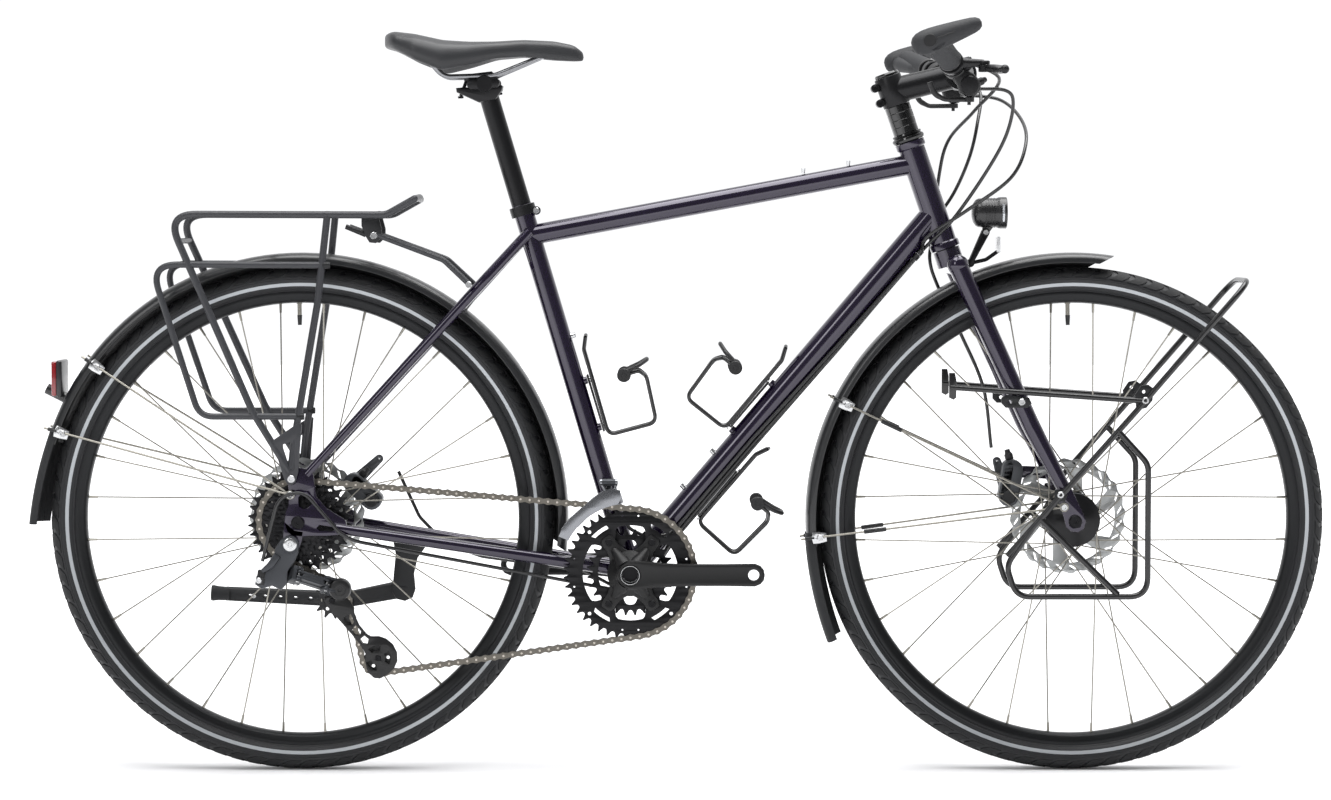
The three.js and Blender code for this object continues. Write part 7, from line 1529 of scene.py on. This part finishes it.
# The saddle at stations along its length: the share of it, then half width, crown, rim and underside
saddle_back, saddle_length, saddle_half_width = -139, 276, 76
saddle_shares = [(0, 0.5, 0.88, 0.62, 0.64), (0.05, 0.78, 0.97, 0.55, 0.58), (0.16, 0.98, 0.92, 0.27, 0.5),
                 (0.3, 1, 0.79, 0.01, 0.46), (0.43, 0.8, 0.75, 0.15, 0.44), (0.56, 0.5, 0.75, 0.33, 0.44),
                 (0.7, 0.31, 0.78, 0.38, 0.46), (0.85, 0.25, 0.75, 0.31, 0.42), (0.95, 0.2, 0.66, 0.29, 0.38),
                 (1, 0.1, 0.48, 0.3, 0.36)]


def saddle_at(along):
    """Half width, crown, rim and underside at a share of the saddle's length, eased between the stations."""
    for (a, *low), (b, *high) in zip(saddle_shares, saddle_shares[1:]):
        if along <= b:
            share = (along - a) / (b - a)
            return [p + (q - p) * share for p, q in zip(low, high)]
    return list(saddle_shares[-1][1:])


def saddle_height(share):
    """The height of a share of the saddle's depth."""
    return 0.969 + share * 0.061


cover, shell = bmesh.new(), bmesh.new()
bmesh.ops.create_grid(cover, x_segments=44, y_segments=28, size=0.5)
bmesh.ops.create_grid(shell, x_segments=44, y_segments=12, size=0.5)
# The cover's section from the rim over the shoulder to the middle, as shares of half width and of height
shoulder = [(0.86, 0), (0.97, 0.14), (1, 0.32), (0.98, 0.55), (0.9, 0.76), (0.74, 0.9), (0.5, 0.965),
            (0.25, 0.99), (0, 1)]
for part, over in ((cover, True), (shell, False)):
    for vert in part.verts:
        along = min(1.0, max(0.0, (vert.co.x + 0.5)))
        across = vert.co.y * 2
        half, crown, rim, under = saddle_at(along)
        end_round = min(1.0, (along + 0.004) / 0.05, (1.004 - along) / 0.04)
        half *= saddle_half_width * math.sqrt(1 - (1 - end_round) ** 2)
        if over:
            spot = (1 - abs(across)) * 8
            low = min(7, int(spot))
            (w0, h0), (w1, h1) = shoulder[low], shoulder[low + 1]
            wide, high = w0 + (w1 - w0) * (spot - low), h0 + (h1 - h0) * (spot - low)
            groove = (0.09 * math.exp(-(across / 0.16) ** 2)
                      * max(0.0, math.sin(math.pi * min(1, along / 0.62))))
            height = rim + (crown - rim) * high - groove * high
        else:
            wide, height = 0.86 * abs(across), under - 0.05 + (rim - under + 0.05) * abs(across) ** 3
        x = seat_head.x + (saddle_back + along * saddle_length) / 1000
        vert.co = (x, math.copysign(half * wide, across) / 1000, saddle_height(max(height, 0.0)))
whole = bpy.data.meshes.new("saddle_shell")
shell.to_mesh(whole)
shell.free()
cover.from_mesh(whole)
bpy.data.meshes.remove(whole)
bmesh.ops.remove_doubles(cover, verts=cover.verts, dist=0.0004)
bmesh.ops.holes_fill(cover, edges=[edge for edge in cover.edges if edge.is_boundary], sides=0)
saddle = solid("saddle_cushion", cover, saddle_cover, "saddle_cover", "seat_body", "saddle", crease=50)
smooth = saddle.modifiers.new("smooth", "SUBSURF")
smooth.levels = smooth.render_levels = 1


# Housings: black outer cable runs from the levers to the brakes and derailleurs, in a bundle beside the
# down tube held by black clips; the three ahead of the head tube ride on no moving part.

# Smooth black jacket with a thin line of gloss
housing_black = surface("black_outer_housing", "161617", 0.34, coat=0.3, shade=0.12, grain=0.4)
housing_width, clip_width, tube_to_housing = 5, 7.4, 21.15
guides = [590, 420, 250, 75]
leans = [[-13, 4, 21], [7, 24, 41], [28, 45, 62], [28, 45, 62]]


def by_down_tube(along, lean):
    """A place beside the down tube: how far up it, and how far round from its underside in degrees."""
    turn = math.radians(lean)
    round_tube = up_from_down * math.cos(turn) + Vector((0, math.sin(turn), 0))
    return crank_centre + (down_line * along - round_tube * tube_to_housing) / 1000


def routed(origin, route):
    """The places of a route of [ahead, out, up] about a landmark, in millimetres."""
    return [near(origin, x, z, y) for x, y, z in route]


below = {
    "rear_brake": [(20, -4, -20), (2, 6, -28), (-24, 22, -26), (-66, 31, -4), (-210, 47, 14),
                   (-262, 66, 30), (-300, 74, 68), (-330, 80, 132)],
    "rear_shift": [(25, -20, -12), (4, -24, -30), (-40, -28, -22), (-380, -68, 46), (-398, -88, 58),
                   (-448, -94, 118), (-482, -94, 108), (-505, -86, 20)],
    "front_shift": [(22, -27, 48), (-6, -27, 62), (-8, -27, 86)],
}
bm, clips = bmesh.new(), bmesh.new()
for i, route in enumerate(below.values()):
    line = [by_down_tube(along, leans[j][i]) for j, along in enumerate(guides)]
    tube(bm, line + routed(crank_centre, route), housing_width, 30, 12)
for spot in (0, 3):
    for lean in leans[spot]:
        bar(clips, by_down_tube(guides[spot] - 4, lean), by_down_tube(guides[spot] + 4, lean), clip_width,
            sides=16)
solid("frame_housings", bm, housing_black, "black_plastic", "frame_body", "frame_cables")
solid("frame_housing_clips", clips, knob_black, "black_plastic", "frame_body", "frame_cables")

cockpit = [
    [(-140, 142, 614), (-120, 104, 596), (-128, 54, 552), (-140, 42, 504), (-162, 37, 454),
     (-190, 30, 414), (-204, 19, 392)],
    [(-147, -118, 594), (-104, -104, 592), (-92, -92, 575), (-100, -78, 532), (-125, -62, 483),
     (-168, -36, 418), (-197, -16, 387)],
    [(-147, 118, 594), (-94, 92, 586), (-70, 20, 556), (-70, -46, 520), (-92, -66, 474),
     (-150, -52, 430), (-202, -28, 394)],
]


def flowing(points, count=10):
    """A smooth line through the points, eased at each of them."""
    padded = [points[0] * 2 - points[1], *points, points[-1] * 2 - points[-2]]
    line = []
    for a, b, c, d in zip(padded, padded[1:], padded[2:], padded[3:]):
        for step in range(count):
            t = step / count
            line.append(0.5 * (b * 2 + (c - a) * t + (a * 2 - b * 5 + c * 4 - d) * t * t
                               + (b * 3 - a - c * 3 + d) * t ** 3))
    return line + [points[-1]]


bm = bmesh.new()
for i, route in enumerate(cockpit):
    places = routed(front_axle, route) + [by_down_tube(along, leans[0][i]) for along in (602.3, 598.3)]
    tube(bm, flowing(places), housing_width, 0, 12)
    bar(bm, by_down_tube(594.6, leans[0][i]), by_down_tube(602, leans[0][i]), clip_width, sides=16)
loose = solid("cockpit_housings", bm, housing_black, "black_plastic", None, "cockpit_cables")
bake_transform(loose)
bm = bmesh.new()
route = [(-153, -150.8, 627), (-112, -104, 606), (-140, -30, 566), (-170, 30, 528), (-182, 46, 480),
         (-190, 47, 400), (-195, 43, 360), (-182, 46, 320), (-150, 50, 255), (-118, 55, 180), (-106, 60, 95)]
tube(bm, flowing(routed(front_axle, route)), housing_width, 0, 12)
solid("front_brake_housing", bm, housing_black, "black_plastic", "steering", "front_brake_cable")
